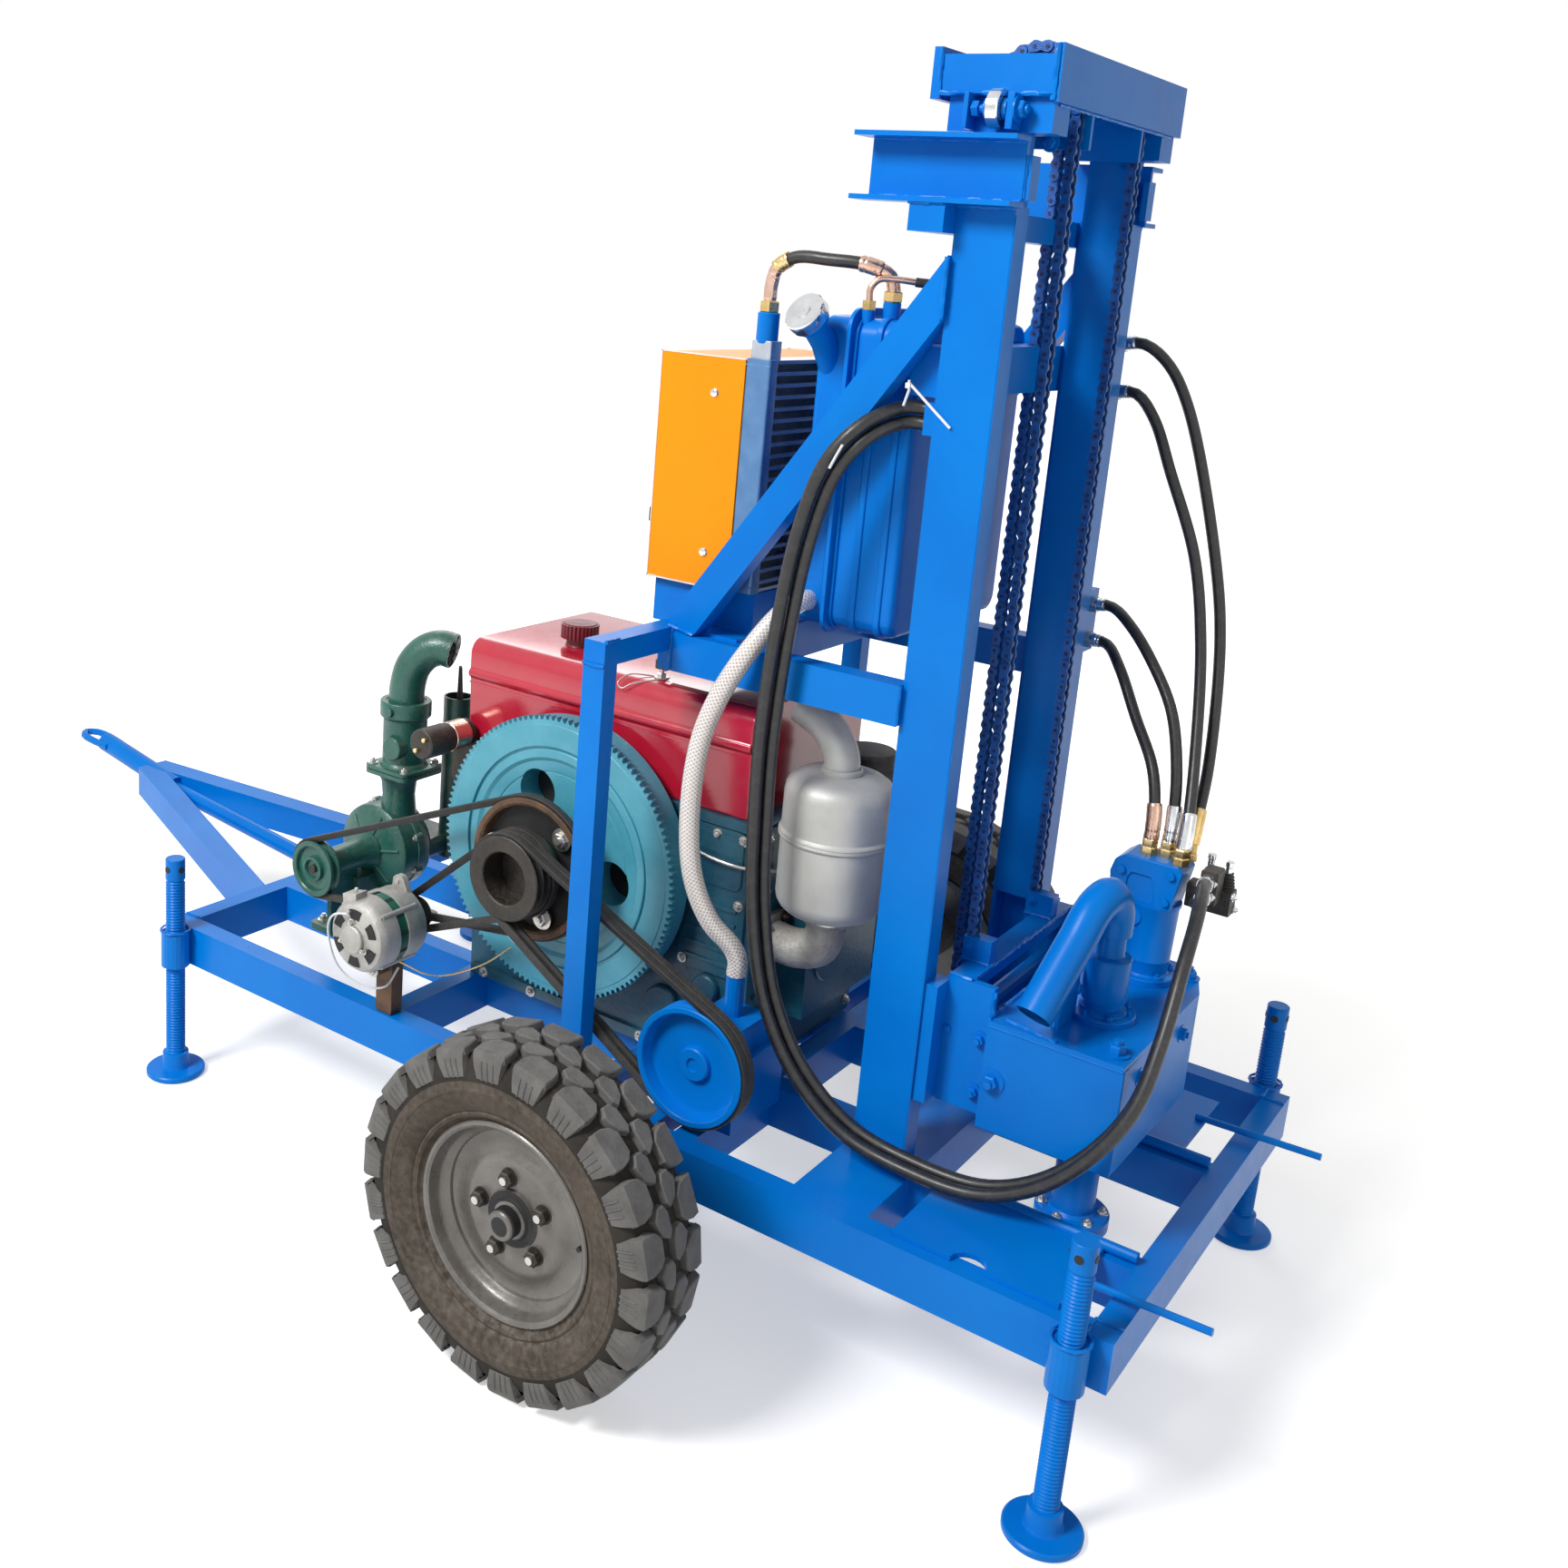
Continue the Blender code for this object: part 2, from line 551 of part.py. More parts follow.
# Alternator
part("alternator", "alloy",
    [lathe("y", (AX, AZ), [(0.0, -0.530), (0.050, -0.530), (0.068, -0.515), (0.068, -0.475),
    (0.066, -0.474), (0.066, -0.446), (0.068, -0.445), (0.068, -0.405), (0.050, -0.392), (0.0, -0.392)], 24),
                             box(AX - 0.012, AX + 0.012, -0.440, -0.400, AZ + 0.060, AZ + 0.090),
                             box(AX - 0.02, AX + 0.02, min(-0.440, -FRAME_HALF_W + 0.0065),
                             max(-0.410, -IN_Y - 0.0035), RAIL_TOP + GAP, AZ - 0.055)])
part("alternator_pulley", "dark",
    [lathe("y", (AX, AZ), [(0.0, -0.3917), (0.025, -0.3917), (0.030, -0.380), (ALT_R, ALT_Y - 0.009)]
    + list(reversed(groove(ALT_R, ALT_Y))) +
                                          [(ALT_R, -0.353), (0.0, -0.353)], 20)], pivot=(AX, 0.0, AZ))

# Hydraulic pump with its large belt pulley
part("hyd_pump", "blue", [box(HX - 0.045, HX + 0.045, -0.3635, -0.240, HZ - 0.04, HZ + 0.05),
                          box(HX - 0.060, HX + 0.060, -0.360, -0.206, RAIL_TOP + GAP, HZ),
                          cyl("z", (HX, -0.285), 0.016, HZ, PORT_TOP, 14)])
part("hyd_pulley", "blue",
    [lathe("y", (HX, HZ), [(0.0, -0.3640), (0.030, -0.3640), (0.030, -0.370), (HYD_R, -0.370)]
    + groove(HYD_R, MAIN_Y[0]) + groove(HYD_R, MAIN_Y[1]) +
                                   [(HYD_R, -0.412), (0.092, -0.412), (0.083, -0.384), (0.020, -0.390),
                                   (0.020, -0.398), (0.0, -0.398)], 18)], pivot=(HX, 0.0, HZ))


def belt(name, c1, r1, c2, r2, lines):
    """Closed belt round two pulleys, with one rib in each groove line."""
    d = math.hypot(c2[0] - c1[0], c2[1] - c1[1])
    base = math.atan2(c2[1] - c1[1], c2[0] - c1[0])
    off = math.acos((r1 - r2) / d)
    rings = ([], [], [])
    for c, r, a0, a1 in ((c1, r1, base + off, base + 2 * math.pi - off), (c2, r2, base - off, base + off)):
        k = 1.0 / math.cos(abs(a1 - a0) / 26)
        for i in range(14):
            a = a0 + (a1 - a0) * i / 13
            for ring, dr in zip(rings, (-GROOVE + 0.0008, 0.0004, 0.005)):
                ring.append((c[0] + (r + dr) * k * math.cos(a), c[1] + (r + dr) * k * math.sin(a)))
    inner, mid, outer = rings
    section = [(outer, lines[-1] - 0.0055)]
    for y in reversed(lines):
        if y != lines[-1]:
            section += [(mid, y - 0.0065)]
        else:
            section += [(mid, y - 0.0060)]
        section += [(inner, y - 0.0022), (inner, y + 0.0022), (mid, y + 0.0060)]
    section += [(outer, lines[0] + 0.0055)]
    n = len(outer)
    v = []
    f = []
    for ring, yy in section:
        v.extend((p[0], yy, p[1]) for p in ring)
    m = len(section)
    for k in range(m):
        for i in range(n):
            j = (i + 1) % n
            f.append((k * n + i, k * n + j, ((k + 1) % m) * n + j, ((k + 1) % m) * n + i))
    part(name, "hose", [(v, f)])


belt("pump_belt", C, THIN_R, (PX, PZ), PUMP_R, (THIN_Y,))
belt("alternator_belt", C, THICK_R, (AX, AZ), ALT_R, (ALT_Y,))
belt("main_belt", C, THICK_R, (HX, HZ), HYD_R, MAIN_Y)

# Portal in front of the mast: posts, top cross pieces, level beams, braces and the cooler's stand
BEAM_OUT = 0.266
BEAM_IN = 0.226
shapes = [box(0.020, 0.175, -0.240, 0.240, 1.045, 1.110), box(-0.030, 0.172, -0.190, 0.180, 1.100, 1.1797)]
for sy in (-1, 1):
    y0, y1 = sorted((sy * FRAME_HALF_W, sy * (FRAME_HALF_W - 0.034)))
    shapes.append(box(0.022, 0.064, y0, y1, RAIL_TOP + GAP, 1.115))
    y0, y1 = sorted((sy * (FRAME_HALF_W - 0.0165), sy * BEAM_IN))
    shapes.append(box(0.0225, 0.0635, y0, y1, 1.075, 1.1145))
    y0, y1 = sorted((sy * BEAM_OUT, sy * BEAM_IN))
    shapes.append(box(0.040, POST_X0 - GAP, y0, y1, 1.040, 1.105))
    shapes.append(loft_x(0.054, (y0 + 0.002, y1 - 0.002, 1.035, 1.127), POST_X0 - GAP,
        (y0 + 0.002, y1 - 0.002, 1.648, 1.740)))
part("portal", "blue", shapes)

# Mast posts of channel, open to the inside, with the forward beams on top
for side, sy in (("near", -1), ("far", 1)):
    outer = sy * POST_Y
    inner = sy * (POST_Y - POST_FLANGE)
    t = MAST_T
    web = sy * (POST_Y - t)
    pts = [(POST_X0, outer), (POST_X1, outer), (POST_X1, inner), (POST_X1 - t, inner), (POST_X1 - t, web),
        (POST_X0 + t, web), (POST_X0 + t, inner), (POST_X0, inner)]
    post = prism(pts, "z", RAIL_TOP + GAP, POST_TOP + 0.002)
    ya, yb = sorted((sy * 0.295, web))
    yc, yd = sorted((outer, web))
    ye, yf = sorted((sy * 0.250, sy * 0.222))
    beams = [box(0.335, 0.585, ya, yb, POST_TOP, POST_TOP + 0.007),
        box(0.335, 0.585, ya, yb, HEAD_TOP - 0.007, HEAD_TOP),
             box(0.345, 0.584, yc, yd, POST_TOP + 0.001, HEAD_TOP - 0.001),
             box(0.582, 0.592, ye, yf, POST_TOP + 0.010, POST_TOP + 0.070)]
    if sy < 0:
        beams.append(box(0.470, POST_X0 + 0.004, -0.2480, -0.1960, 1.482, 1.530))
    else:
        beams.append(box(0.505, 0.560, POST_Y - 0.001, 0.300, 1.510, 1.650))
        beams.append(box(0.520, 0.575, POST_Y - 0.001, 0.300, 1.090, 1.200))
    part(side + "_mast_post", "blue", [post] + beams)
slots = [box(0.456, 0.500, sy * CHAIN_Y - 0.017, sy * CHAIN_Y + 0.017, 1.4, 1.9) for sy in (-1, 1)]
part("mast_tie_top", "blue", [box(0.432, POST_X0 - GAP, -0.290, 0.290, 1.770, POST_TOP - GAP)], slots)
part("mast_tie_tank", "blue", [box(TANK_X1 + GAP, POST_X0 - GAP, -0.2255, 0.2255, 1.536, 1.610)], slots)

# Inner mast: two rails inside the channels and the crosshead they carry
shapes = []
for sy in (-1, 1):
    y0, y1 = sorted((sy * 0.2451, sy * 0.1980))
    shapes.append(box(0.4965, 0.5695, y0, y1, 0.640, SHAFT_Z - 0.050))
    y0, y1 = sorted((sy * 0.254, sy * 0.236))
    shapes.append(box(YOKE_X0, YOKE_X1 + 0.0005, y0, y1, SHAFT_Z - 0.015, SHAFT_Z + 0.037))
    y0, y1 = sorted((sy * 0.2445, sy * 0.1900))
    shapes.append(box(YOKE_X0 + 0.015, YOKE_X1, y0, y1, HEAD_TOP + 0.005, SHAFT_Z - 0.013))
    y0, y1 = sorted((sy * (CHAIN_Y - 0.020), sy * (CHAIN_Y - 0.028)))
    shapes.append(box(0.500, YOKE_X1, y0, y1, SHAFT_Z - 0.075, SHAFT_Z + 0.030))
shapes.append(box(YOKE_X1 - 0.0005, YOKE_X1 + 0.0075, -0.254, 0.254, SHAFT_Z - 0.025, SHAFT_Z + 0.051))
shapes.append(box(YOKE_X0 - 0.012, YOKE_X0 + 0.001, -0.254, 0.254, SHAFT_Z - 0.023, SHAFT_Z + 0.047))
shapes.append(box(YOKE_X0 + 0.0005, YOKE_X1, -0.060, 0.060, SHAFT_Z + 0.010, SHAFT_Z + 0.025))
shapes.append(box(YOKE_X0 - 0.004, YOKE_X1, -0.102, 0.102, SHAFT_Z + 0.017, SHAFT_Z + 0.029))
part("inner_mast", "blue", shapes, [cyl("y", (SHAFT_X, SHAFT_Z), SHAFT_R + 0.0006, -0.24, 0.24, 18)])

# Chain wheels on one shaft, each with the chain that lies over it
half = [(SHAFT_R, 0.018), (0.028, 0.018), (0.028, 0.005), (SPR_R, 0.004), (SPR_R, -0.004), (0.028, -0.005),
    (0.028, -0.018), (SHAFT_R, -0.018)]
prof = [(0.0, -0.234), (SHAFT_R, -0.234)] + [(r, -CHAIN_Y - t) for r, t in half] + [(r, CHAIN_Y - t) for r,
    t in half] + [(SHAFT_R, 0.234), (0.0, 0.234)]
shapes = [lathe("y", (SHAFT_X, SHAFT_Z), prof, 14)]
for sy in (-1, 1):
    y = sy * CHAIN_Y
    outer = [(0.0705 if k % 2 else 0.0685, math.pi * k / 20) for k in range(21)]
    inner = [(0.050, math.pi * k / 10) for k in range(10, -1, -1)]
    arc = [(SHAFT_X + r * math.cos(a), SHAFT_Z + GAP + r * math.sin(a)) for r, a in outer + inner]
    shapes.append(prism(arc, "y", y - CHAIN_W / 2, y + CHAIN_W / 2))
part("sprockets", "chain", shapes)

# Lifting chains: rear runs to the drilling head, front runs to the fixed anchor


def chain(name, x, y, z0, z1):
    """Roller chain hanging straight, waisted between its pins."""
    count = int((z1 - z0) / CHAIN_PITCH)
    first = (z0 + z1 - count * CHAIN_PITCH) / 2
    side = [(PLATE_HALF * 0.75, z0)]
    for k in range(count):
        z = first + k * CHAIN_PITCH
        side += [(PLATE_HALF, z + CHAIN_PITCH * 0.32), (PLATE_HALF * 0.68, z + CHAIN_PITCH)]
    side[-1] = (PLATE_HALF * 0.75, z1)
    ring = [(x + w, z) for w, z in side] + [(x - w, z) for w, z in reversed(side)]
    part(name, "chain", [prism(ring, "y", y - CHAIN_W / 2, y + CHAIN_W / 2)])


for side, sy in (("near", -1), ("far", 1)):
    chain("chain_rear_" + side, CHAIN_X, sy * CHAIN_Y, LUG_TOP + GAP, SHAFT_Z)
    part("chain_front_" + side, "chain",
        [box(0.464, 0.480, sy * CHAIN_Y - CHAIN_W / 2, sy * CHAIN_Y + CHAIN_W / 2, ANCHOR_TOP + GAP,
        SHAFT_Z)])

# Drilling head
shapes = [box(0.600, 0.6397, -0.205, 0.205, 0.628, 0.650), cyl("y", (0.620, 0.560), 0.018, -0.200, 0.200, 14)]
for sy in (-1, 1):
    y0, y1 = sorted((sy * 0.248, sy * 0.198))
    shapes.append(box(POST_X1 + 0.0005, 0.6010, y0, y1, 0.440, 0.640))
    y0, y1 = sorted((sy * 0.210, sy * 0.196))
    shapes.append(box(0.600, HEAD_X0 - GAP, y0, y1, 0.435, 0.649))
    shapes.append(box(0.588, 0.636, sy * CHAIN_Y - 0.013, sy * CHAIN_Y + 0.013, 0.635, LUG_TOP))
part("carriage", "blue", shapes)
gear_poly = [(HEAD_X0, -0.225), (HEAD_X1, -0.225), (HEAD_X1 + 0.004, 0.110), (0.880, 0.175), (0.845, 0.210),
    (HEAD_X0, 0.210)]
part("gearbox", "blue", [prism(gear_poly, "z", HEAD_Z0, HEAD_Z1)])
block_poly = [(BLOCK_X0 + 0.030, BLOCK_Z0), (BLOCK_X1 - 0.012, BLOCK_Z0), (BLOCK_X1, BLOCK_Z1 - 0.010),
    (BLOCK_X1 - 0.008, BLOCK_Z1),
              (BLOCK_X0 + 0.022, BLOCK_Z1), (BLOCK_X0 + 0.006, BLOCK_Z1 - 0.012),
              (BLOCK_X0, BLOCK_Z1 - 0.034), (BLOCK_X0 + 0.004, BLOCK_Z0 + 0.016)]
relief = [(BLOCK_X0 + 0.026, BLOCK_Z0 - 0.01), (BLOCK_X1 - 0.040, BLOCK_Z0 - 0.01),
    (BLOCK_X1 - 0.038, BLOCK_Z0 + 0.040), (BLOCK_X1 - 0.048, BLOCK_Z0 + 0.052),
          (BLOCK_X0 + 0.034, BLOCK_Z0 + 0.052), (BLOCK_X0 + 0.025, BLOCK_Z0 + 0.040)]
column = [(0.0, HEAD_Z1 + GAP), (0.050, HEAD_Z1 + GAP), (0.050, HEAD_Z1 + 0.010), (0.036, HEAD_Z1 + 0.011),
    (0.041, BLOCK_Z0 + 0.004), (0.0, BLOCK_Z0 + 0.004)]
part("hyd_motor", "blue", [lathe("z", MOTOR, column, 20), prism(block_poly, "y", BLOCK_Y0, BLOCK_Y1)],
     [prism(relief, "y", BLOCK_Y0 - 0.02, BLOCK_Y0 + 0.004)])
VALVE_X, VALVE_Y = 0.896, 0.076
part("control_valve", "dark",
    [box(BLOCK_X1 + GAP, 0.925, 0.112, 0.146, 0.744, 0.786),
    box(VALVE_X - 0.014, VALVE_X + 0.014, VALVE_Y, 0.113, 0.768, 0.826),
                               lathe("z", (0.882, 0.130),
                               [(0.0, 0.780), (0.013, 0.780), (0.014, 0.792), (0.009, 0.812),
                               (0.007, 0.813), (0.007, 0.838), (0.0, 0.838)], 12),
                               lathe("z", (0.911, 0.132),
                               [(0.0, 0.780), (0.013, 0.780), (0.014, 0.792), (0.009, 0.812),
                               (0.007, 0.813), (0.007, 0.832), (0.0, 0.832)], 12)])
SW = (SPINDLE_X, SPINDLE_Y)
PIPE_OUT, PIPE_IN = 0.029, 0.0255
goose = smooth_path([(SW[0], SW[1], 0.745), (SW[0], SW[1] - 0.002, 0.775),
    (SW[0] - 0.008, SW[1] - 0.022, 0.808), (SW[0] - 0.022, SW[1] - 0.060, 0.795),
                     (SW[0] - 0.040, SW[1] - 0.098, 0.720), (SW[0] - 0.057, SW[1] - 0.135, 0.630)], 0.027)
body = [(0.0, HEAD_Z1 + GAP), (0.052, HEAD_Z1 + GAP), (0.052, 0.614), (0.036, 0.615), (0.036, 0.622),
    (0.030, 0.624), (0.030, 0.632), (0.035, 0.634),
        (0.035, 0.706), (0.022, 0.709), (0.022, 0.748), (0.0, 0.748)]
part("swivel", "blue", [lathe("z", SW, body, 16), sweep(goose, PIPE_OUT, 14),
                        box(SW[0] - 0.038, SW[0] - 0.031, SW[1] - 0.100, SW[1] - 0.030, HEAD_Z1 + GAP,
                        0.690)],
     [sweep(goose[-4:] + [goose[-1] + (goose[-1] - goose[-2]) * 0.5], PIPE_IN, 14)])
part("spindle", "blue",
    [lathe("z", SW, [(0.0, 0.236), (0.060, 0.236), (0.060, 0.262), (0.035, 0.266), (0.035, HEAD_Z0 - GAP),
    (0.0, HEAD_Z0 - GAP)], 18)], pivot=(SW[0], SW[1], 0.0))

LEVER_OUT = 0.1043

# Slip plates lying open on the frame, each with its hinge pipe and lever
for name, x0, outer, hinge, lever, notch in (("near_slip", FRAME_HALF_L - 0.3545, -FRAME_HALF_W + 0.0215,
    -0.242, -0.355, FRAME_HALF_L - 0.2295),
                                              ("far_slip", FRAME_HALF_L - 0.3045, 0.318, 0.100, 0.230,
                                              FRAME_HALF_L - 0.2145)):
    y0, y1 = sorted((outer, hinge))
    part(name, "blue", [box(x0, FRAME_HALF_L - 0.0895, y0, y1, RAIL_TOP + GAP, RAIL_TOP + 0.0085),
                        cyl("x", (hinge, RAIL_TOP + 0.0095), 0.009, x0 + 0.001, FRAME_HALF_L - TUBE_W - GAP,
                        12),
                        sweep([(FRAME_HALF_L - 0.1045, lever, RAIL_TOP + 0.013),
                        (FRAME_HALF_L + LEVER_OUT, lever, RAIL_TOP + 0.020)], 0.006, 10)],
         [cyl("z", (notch, outer), 0.028, 0.2, 0.4, 20)])

# Oil cooler: bar-and-fin core with side tanks behind the orange shroud
BARS = 20
comb = [(0.128, 1.181), (0.128, 1.560)]
for i in range(BARS):
    z = 1.560 - i * 0.379 / BARS
    comb += [(0.170, z), (0.170, z - 0.006), (0.163, z - 0.007), (0.163, z - 0.379 / BARS + 0.001)]
comb[-1] = (0.163, 1.187)
comb += [(0.170, 1.186), (0.170, 1.181)]
part("oil_cooler", "core",
    [prism(comb, "y", -0.180, 0.175), box(0.127, 0.173, -0.206, -0.1795, 1.180, 1.561),
    box(0.127, 0.173, 0.1745, 0.200, 1.180, 1.561),
                            box(0.130, 0.168, -0.200, -0.165, 1.555, 1.590),
                            cyl("z", (0.149, -0.184), 0.018, 1.585, 1.645, 16)])
part("cooler_shroud", "orange", [box(-0.037, 0.1267, -0.206, 0.195, 1.180, 1.557)],
    [cyl("x", (-0.005, 1.369), 0.165, -0.1, 0.100, 24)])

# Hydraulic tank: two pressed halves with the seam flange, filler neck and cap
half_a = [(-0.185, 1.150), (0.185, 1.150), (0.195, 1.165), (0.195, 1.625), (0.185, 1.640), (-0.185, 1.640),
    (-0.195, 1.625), (-0.195, 1.165)]
seam = [(-0.200, 1.140), (0.200, 1.140), (0.210, 1.150), (0.210, 1.645), (0.200, 1.655), (-0.200, 1.655),
    (-0.210, 1.645), (-0.210, 1.150)]
part("oil_tank", "blue",
    [prism(half_a, "x", TANK_X0, TANK_SEAM), prism(seam, "x", TANK_SEAM - 0.004, TANK_SEAM + 0.004),
                          prism(half_a, "x", TANK_SEAM, TANK_X1),
                          sweep([(0.268, -0.165, 1.575), (0.262, -0.245, 1.655)], 0.016, 14),
                          sweep([(0.2625, -0.238, 1.648), (0.2605, -0.265, 1.675)], 0.034, 20),
                          cyl("z", (0.348, -0.150), 0.014, 1.630, 1.665, 12)])


def axis_of(a, b):
    """Unit vector along the main axis of the line from a to b."""
    d = Vector(b) - Vector(a)
    k = max(range(3), key=lambda i: abs(d[i]))
    out = Vector((0, 0, 0))
    out[k] = 1.0 if d[k] > 0 else -1.0
    return out


def hose_path(points, step):
    """Smooth route with a short straight lead square to each end face."""
    path = smooth_path(points, step)
    path.insert(1, path[0] + axis_of(points[0], points[1]) * LEAD)
    path.insert(-1, path[-1] - axis_of(points[-2], points[-1]) * LEAD)
    return path


def pair_paths(points, step, half, n0, n1):
    """Two lines side by side along the route, from offset n0 to offset n1."""
    path = hose_path(points, step)
    tang = [(path[min(i + 1, len(path) - 1)] - path[max(i - 1, 0)]).normalized() for i in range(len(path))]
    u = Vector(n0)
    normals = []
    for t in tang:
        u = (u - t * u.dot(t)).normalized()
        normals.append(u.copy())
    end = Vector(n1) - tang[-1] * Vector(n1).dot(tang[-1])
    turn = math.atan2(tang[-1].dot(u.cross(end)), u.dot(end))
    out = ([], [])
    for i, (p, t, u) in enumerate(zip(path, tang, normals)):
        a = turn * i / (len(path) - 1)
        w = u * math.cos(a) + t.cross(u) * math.sin(a)
        out[0].append(p + w * half)
        out[1].append(p - w * half)
    for line in out:
        line[1] = line[0] + (path[1] - path[0])
        line[-2] = line[-1] - (path[-1] - path[-2])
    return out


def hose(name, colour, points, r, sides, step):
    part(name, colour, [sweep(hose_path(points, step), r, sides)])


# Hoses: suction line, cooler line, the taped pair to the control valve and the far bundle to the motor
hose("clear_hose", "clear", [(0.275, -TANK_Y - GAP, 1.190), (0.275, -0.220, 1.190), (0.264, -0.262, 1.170),
    (0.235, -0.300, 1.110), (0.205, -0.318, 1.045), (0.180, -0.330, 0.960),
                             (0.172, -0.333, 0.830), (0.185, -0.328, 0.723), (0.215, -0.312, 0.650),
                             (0.248, -0.290, 0.608), (HX, -0.285, PORT_TOP + 0.025),
                             (HX, -0.285, PORT_TOP + GAP)], 0.017, 8, 0.05)
hose("cooler_hose", "hose", [(0.149, -0.184, 1.6453), (0.149, -0.184, 1.675), (0.158, -0.184, 1.705),
    (0.190, -0.184, 1.722), (0.250, -0.182, 1.722), (0.310, -0.168, 1.718), (0.340, -0.152, 1.705),
    (0.348, -0.150, 1.685), (0.348, -0.150, 1.6653)], 0.010, 8, 0.024)
PAIR = [(0.4697, -0.222, 1.507), (0.440, -0.226, 1.508), (0.415, -0.258, 1.498), (0.388, -0.290, 1.472),
    (0.353, -0.303, 1.420), (0.322, -0.306, 1.320), (0.300, -0.305, 1.177), (0.287, -0.305, 0.999),
        (0.289, -0.305, 0.850), (0.300, -0.305, 0.698), (0.335, -0.305, 0.552), (0.400, -0.302, 0.445),
        (0.496, -0.298, 0.374), (0.612, -0.295, 0.354), (0.728, -0.290, 0.360),
        (0.815, -0.283, 0.405), (0.885, -0.268, 0.480), (0.926, -0.243, 0.560), (0.936, -0.200, 0.645),
        (0.932, -0.130, 0.742), (0.921, -0.055, 0.793),
        (0.907, 0.005, 0.807), (0.898, 0.045, 0.802), (VALVE_X, VALVE_Y - GAP, 0.797)]
line_a, line_b = pair_paths(PAIR, 0.080, 0.0112, (0.0, 0.0, 1.0), (0.0, 0.0, 1.0))
part("hose_near_a", "hose", [sweep(line_a, 0.0105, 7)])
part("hose_near_b", "hose", [sweep(line_b, 0.0105, 7)])
FAR_ROUTES = (
    ("hose_far_a", [(0.5603, 0.276, 1.620), (0.600, 0.276, 1.624), (0.645, 0.277, 1.596),
    (0.689, 0.280, 1.527), (0.772, 0.280, 1.281), (0.803, 0.268, 1.150),
                    (0.833, 0.205, 0.960), (0.843, 0.150, 0.875), (0.843, 0.133, BLOCK_Z1 + GAP)]),
    ("hose_far_b", [(0.5603, 0.276, 1.540), (0.600, 0.272, 1.542), (0.640, 0.262, 1.505),
    (0.684, 0.250, 1.423), (0.745, 0.248, 1.290), (0.782, 0.232, 1.150),
                    (0.820, 0.165, 0.980), (0.840, 0.112, 0.875), (0.841, 0.098, BLOCK_Z1 + GAP)]),
    ("hose_far_c", [(0.5753, 0.272, 1.175), (0.612, 0.266, 1.178), (0.660, 0.235, 1.158),
    (0.717, 0.200, 1.111), (0.770, 0.168, 1.045), (0.800, 0.142, 0.960),
                    (0.812, 0.126, 0.880), (0.812, 0.122, BLOCK_Z1 + GAP)]),
    ("hose_far_d", [(0.5753, 0.272, 1.112), (0.612, 0.264, 1.113), (0.655, 0.225, 1.085),
    (0.707, 0.185, 1.018), (0.762, 0.140, 0.950),
                    (0.783, 0.116, 0.885), (0.785, 0.111, BLOCK_Z1 + GAP)]))
for name, pts in FAR_ROUTES:
    hose(name, "hose", pts, 0.0095, 8, 0.056)
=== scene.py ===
"""Looks of a trailer drilling rig: camera, light, materials and fine pieces on the CAD frame."""
from math import acos, atan2, cos, hypot, pi, radians, sin
import bmesh
import bpy
from mathutils import Matrix, Vector


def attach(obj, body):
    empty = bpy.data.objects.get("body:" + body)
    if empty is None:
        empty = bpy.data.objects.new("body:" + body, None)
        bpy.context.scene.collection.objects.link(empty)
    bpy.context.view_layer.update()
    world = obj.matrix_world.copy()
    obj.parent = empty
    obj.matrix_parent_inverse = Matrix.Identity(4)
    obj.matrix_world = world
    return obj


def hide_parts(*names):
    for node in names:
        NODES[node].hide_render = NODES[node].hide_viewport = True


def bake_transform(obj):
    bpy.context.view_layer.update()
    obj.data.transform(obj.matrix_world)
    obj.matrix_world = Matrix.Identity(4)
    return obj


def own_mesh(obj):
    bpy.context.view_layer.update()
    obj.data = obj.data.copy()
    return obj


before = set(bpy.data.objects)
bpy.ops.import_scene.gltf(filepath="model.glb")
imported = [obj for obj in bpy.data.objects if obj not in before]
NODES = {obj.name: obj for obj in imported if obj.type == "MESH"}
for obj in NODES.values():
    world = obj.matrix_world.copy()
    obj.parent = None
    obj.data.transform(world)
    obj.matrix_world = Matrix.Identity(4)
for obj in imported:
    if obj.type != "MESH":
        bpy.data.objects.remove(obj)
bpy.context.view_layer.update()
scene = bpy.context.scene
scene.view_settings.view_transform = "Standard"
# Shapes are written in the design's coordinates, and the frame lies DX further along x
DX = 0.407
SIDES = (("near", -1), ("far", 1))

# Camera: azimuth, elevation and roll, then its place, lens and shift
AZ, EL, ROLL = radians(34.446), radians(13.906), radians(4.28)
CAMERA_AT, LENS, SHIFT = (1.93196, -2.39777, 1.72076), 36.79, (0.0726, -0.0878)
back = Vector((sin(AZ) * cos(EL), -cos(AZ) * cos(EL), sin(EL)))
right = (-back).cross(Vector((0, 0, 1))).normalized()
up = right.cross(-back)
rolled_right = right * cos(ROLL) + up * sin(ROLL)
rolled_up = up * cos(ROLL) - right * sin(ROLL)
cam_data = bpy.data.cameras.new("camera")
cam = bpy.data.objects.new("camera", cam_data)
scene.collection.objects.link(cam)
m = Matrix((rolled_right, rolled_up, back)).transposed().to_4x4()
m.translation = CAMERA_AT
cam.matrix_world = m
cam_data.sensor_width = 36.0
cam_data.lens = LENS
cam_data.shift_x, cam_data.shift_y = SHIFT
cam_data.clip_start = 0.05
scene.camera = cam


# Mesh shapes, in design coordinates: every shape is (points, faces)
def box(x0, x1, y0, y1, z0, z1):
    v = [(x, y, z) for z in (z0, z1) for x, y in ((x0, y0), (x1, y0), (x1, y1), (x0, y1))]
    f = [(0, 3, 2, 1), (4, 5, 6, 7), (0, 1, 5, 4), (1, 2, 6, 5), (2, 3, 7, 6), (3, 0, 4, 7)]
    return v, f


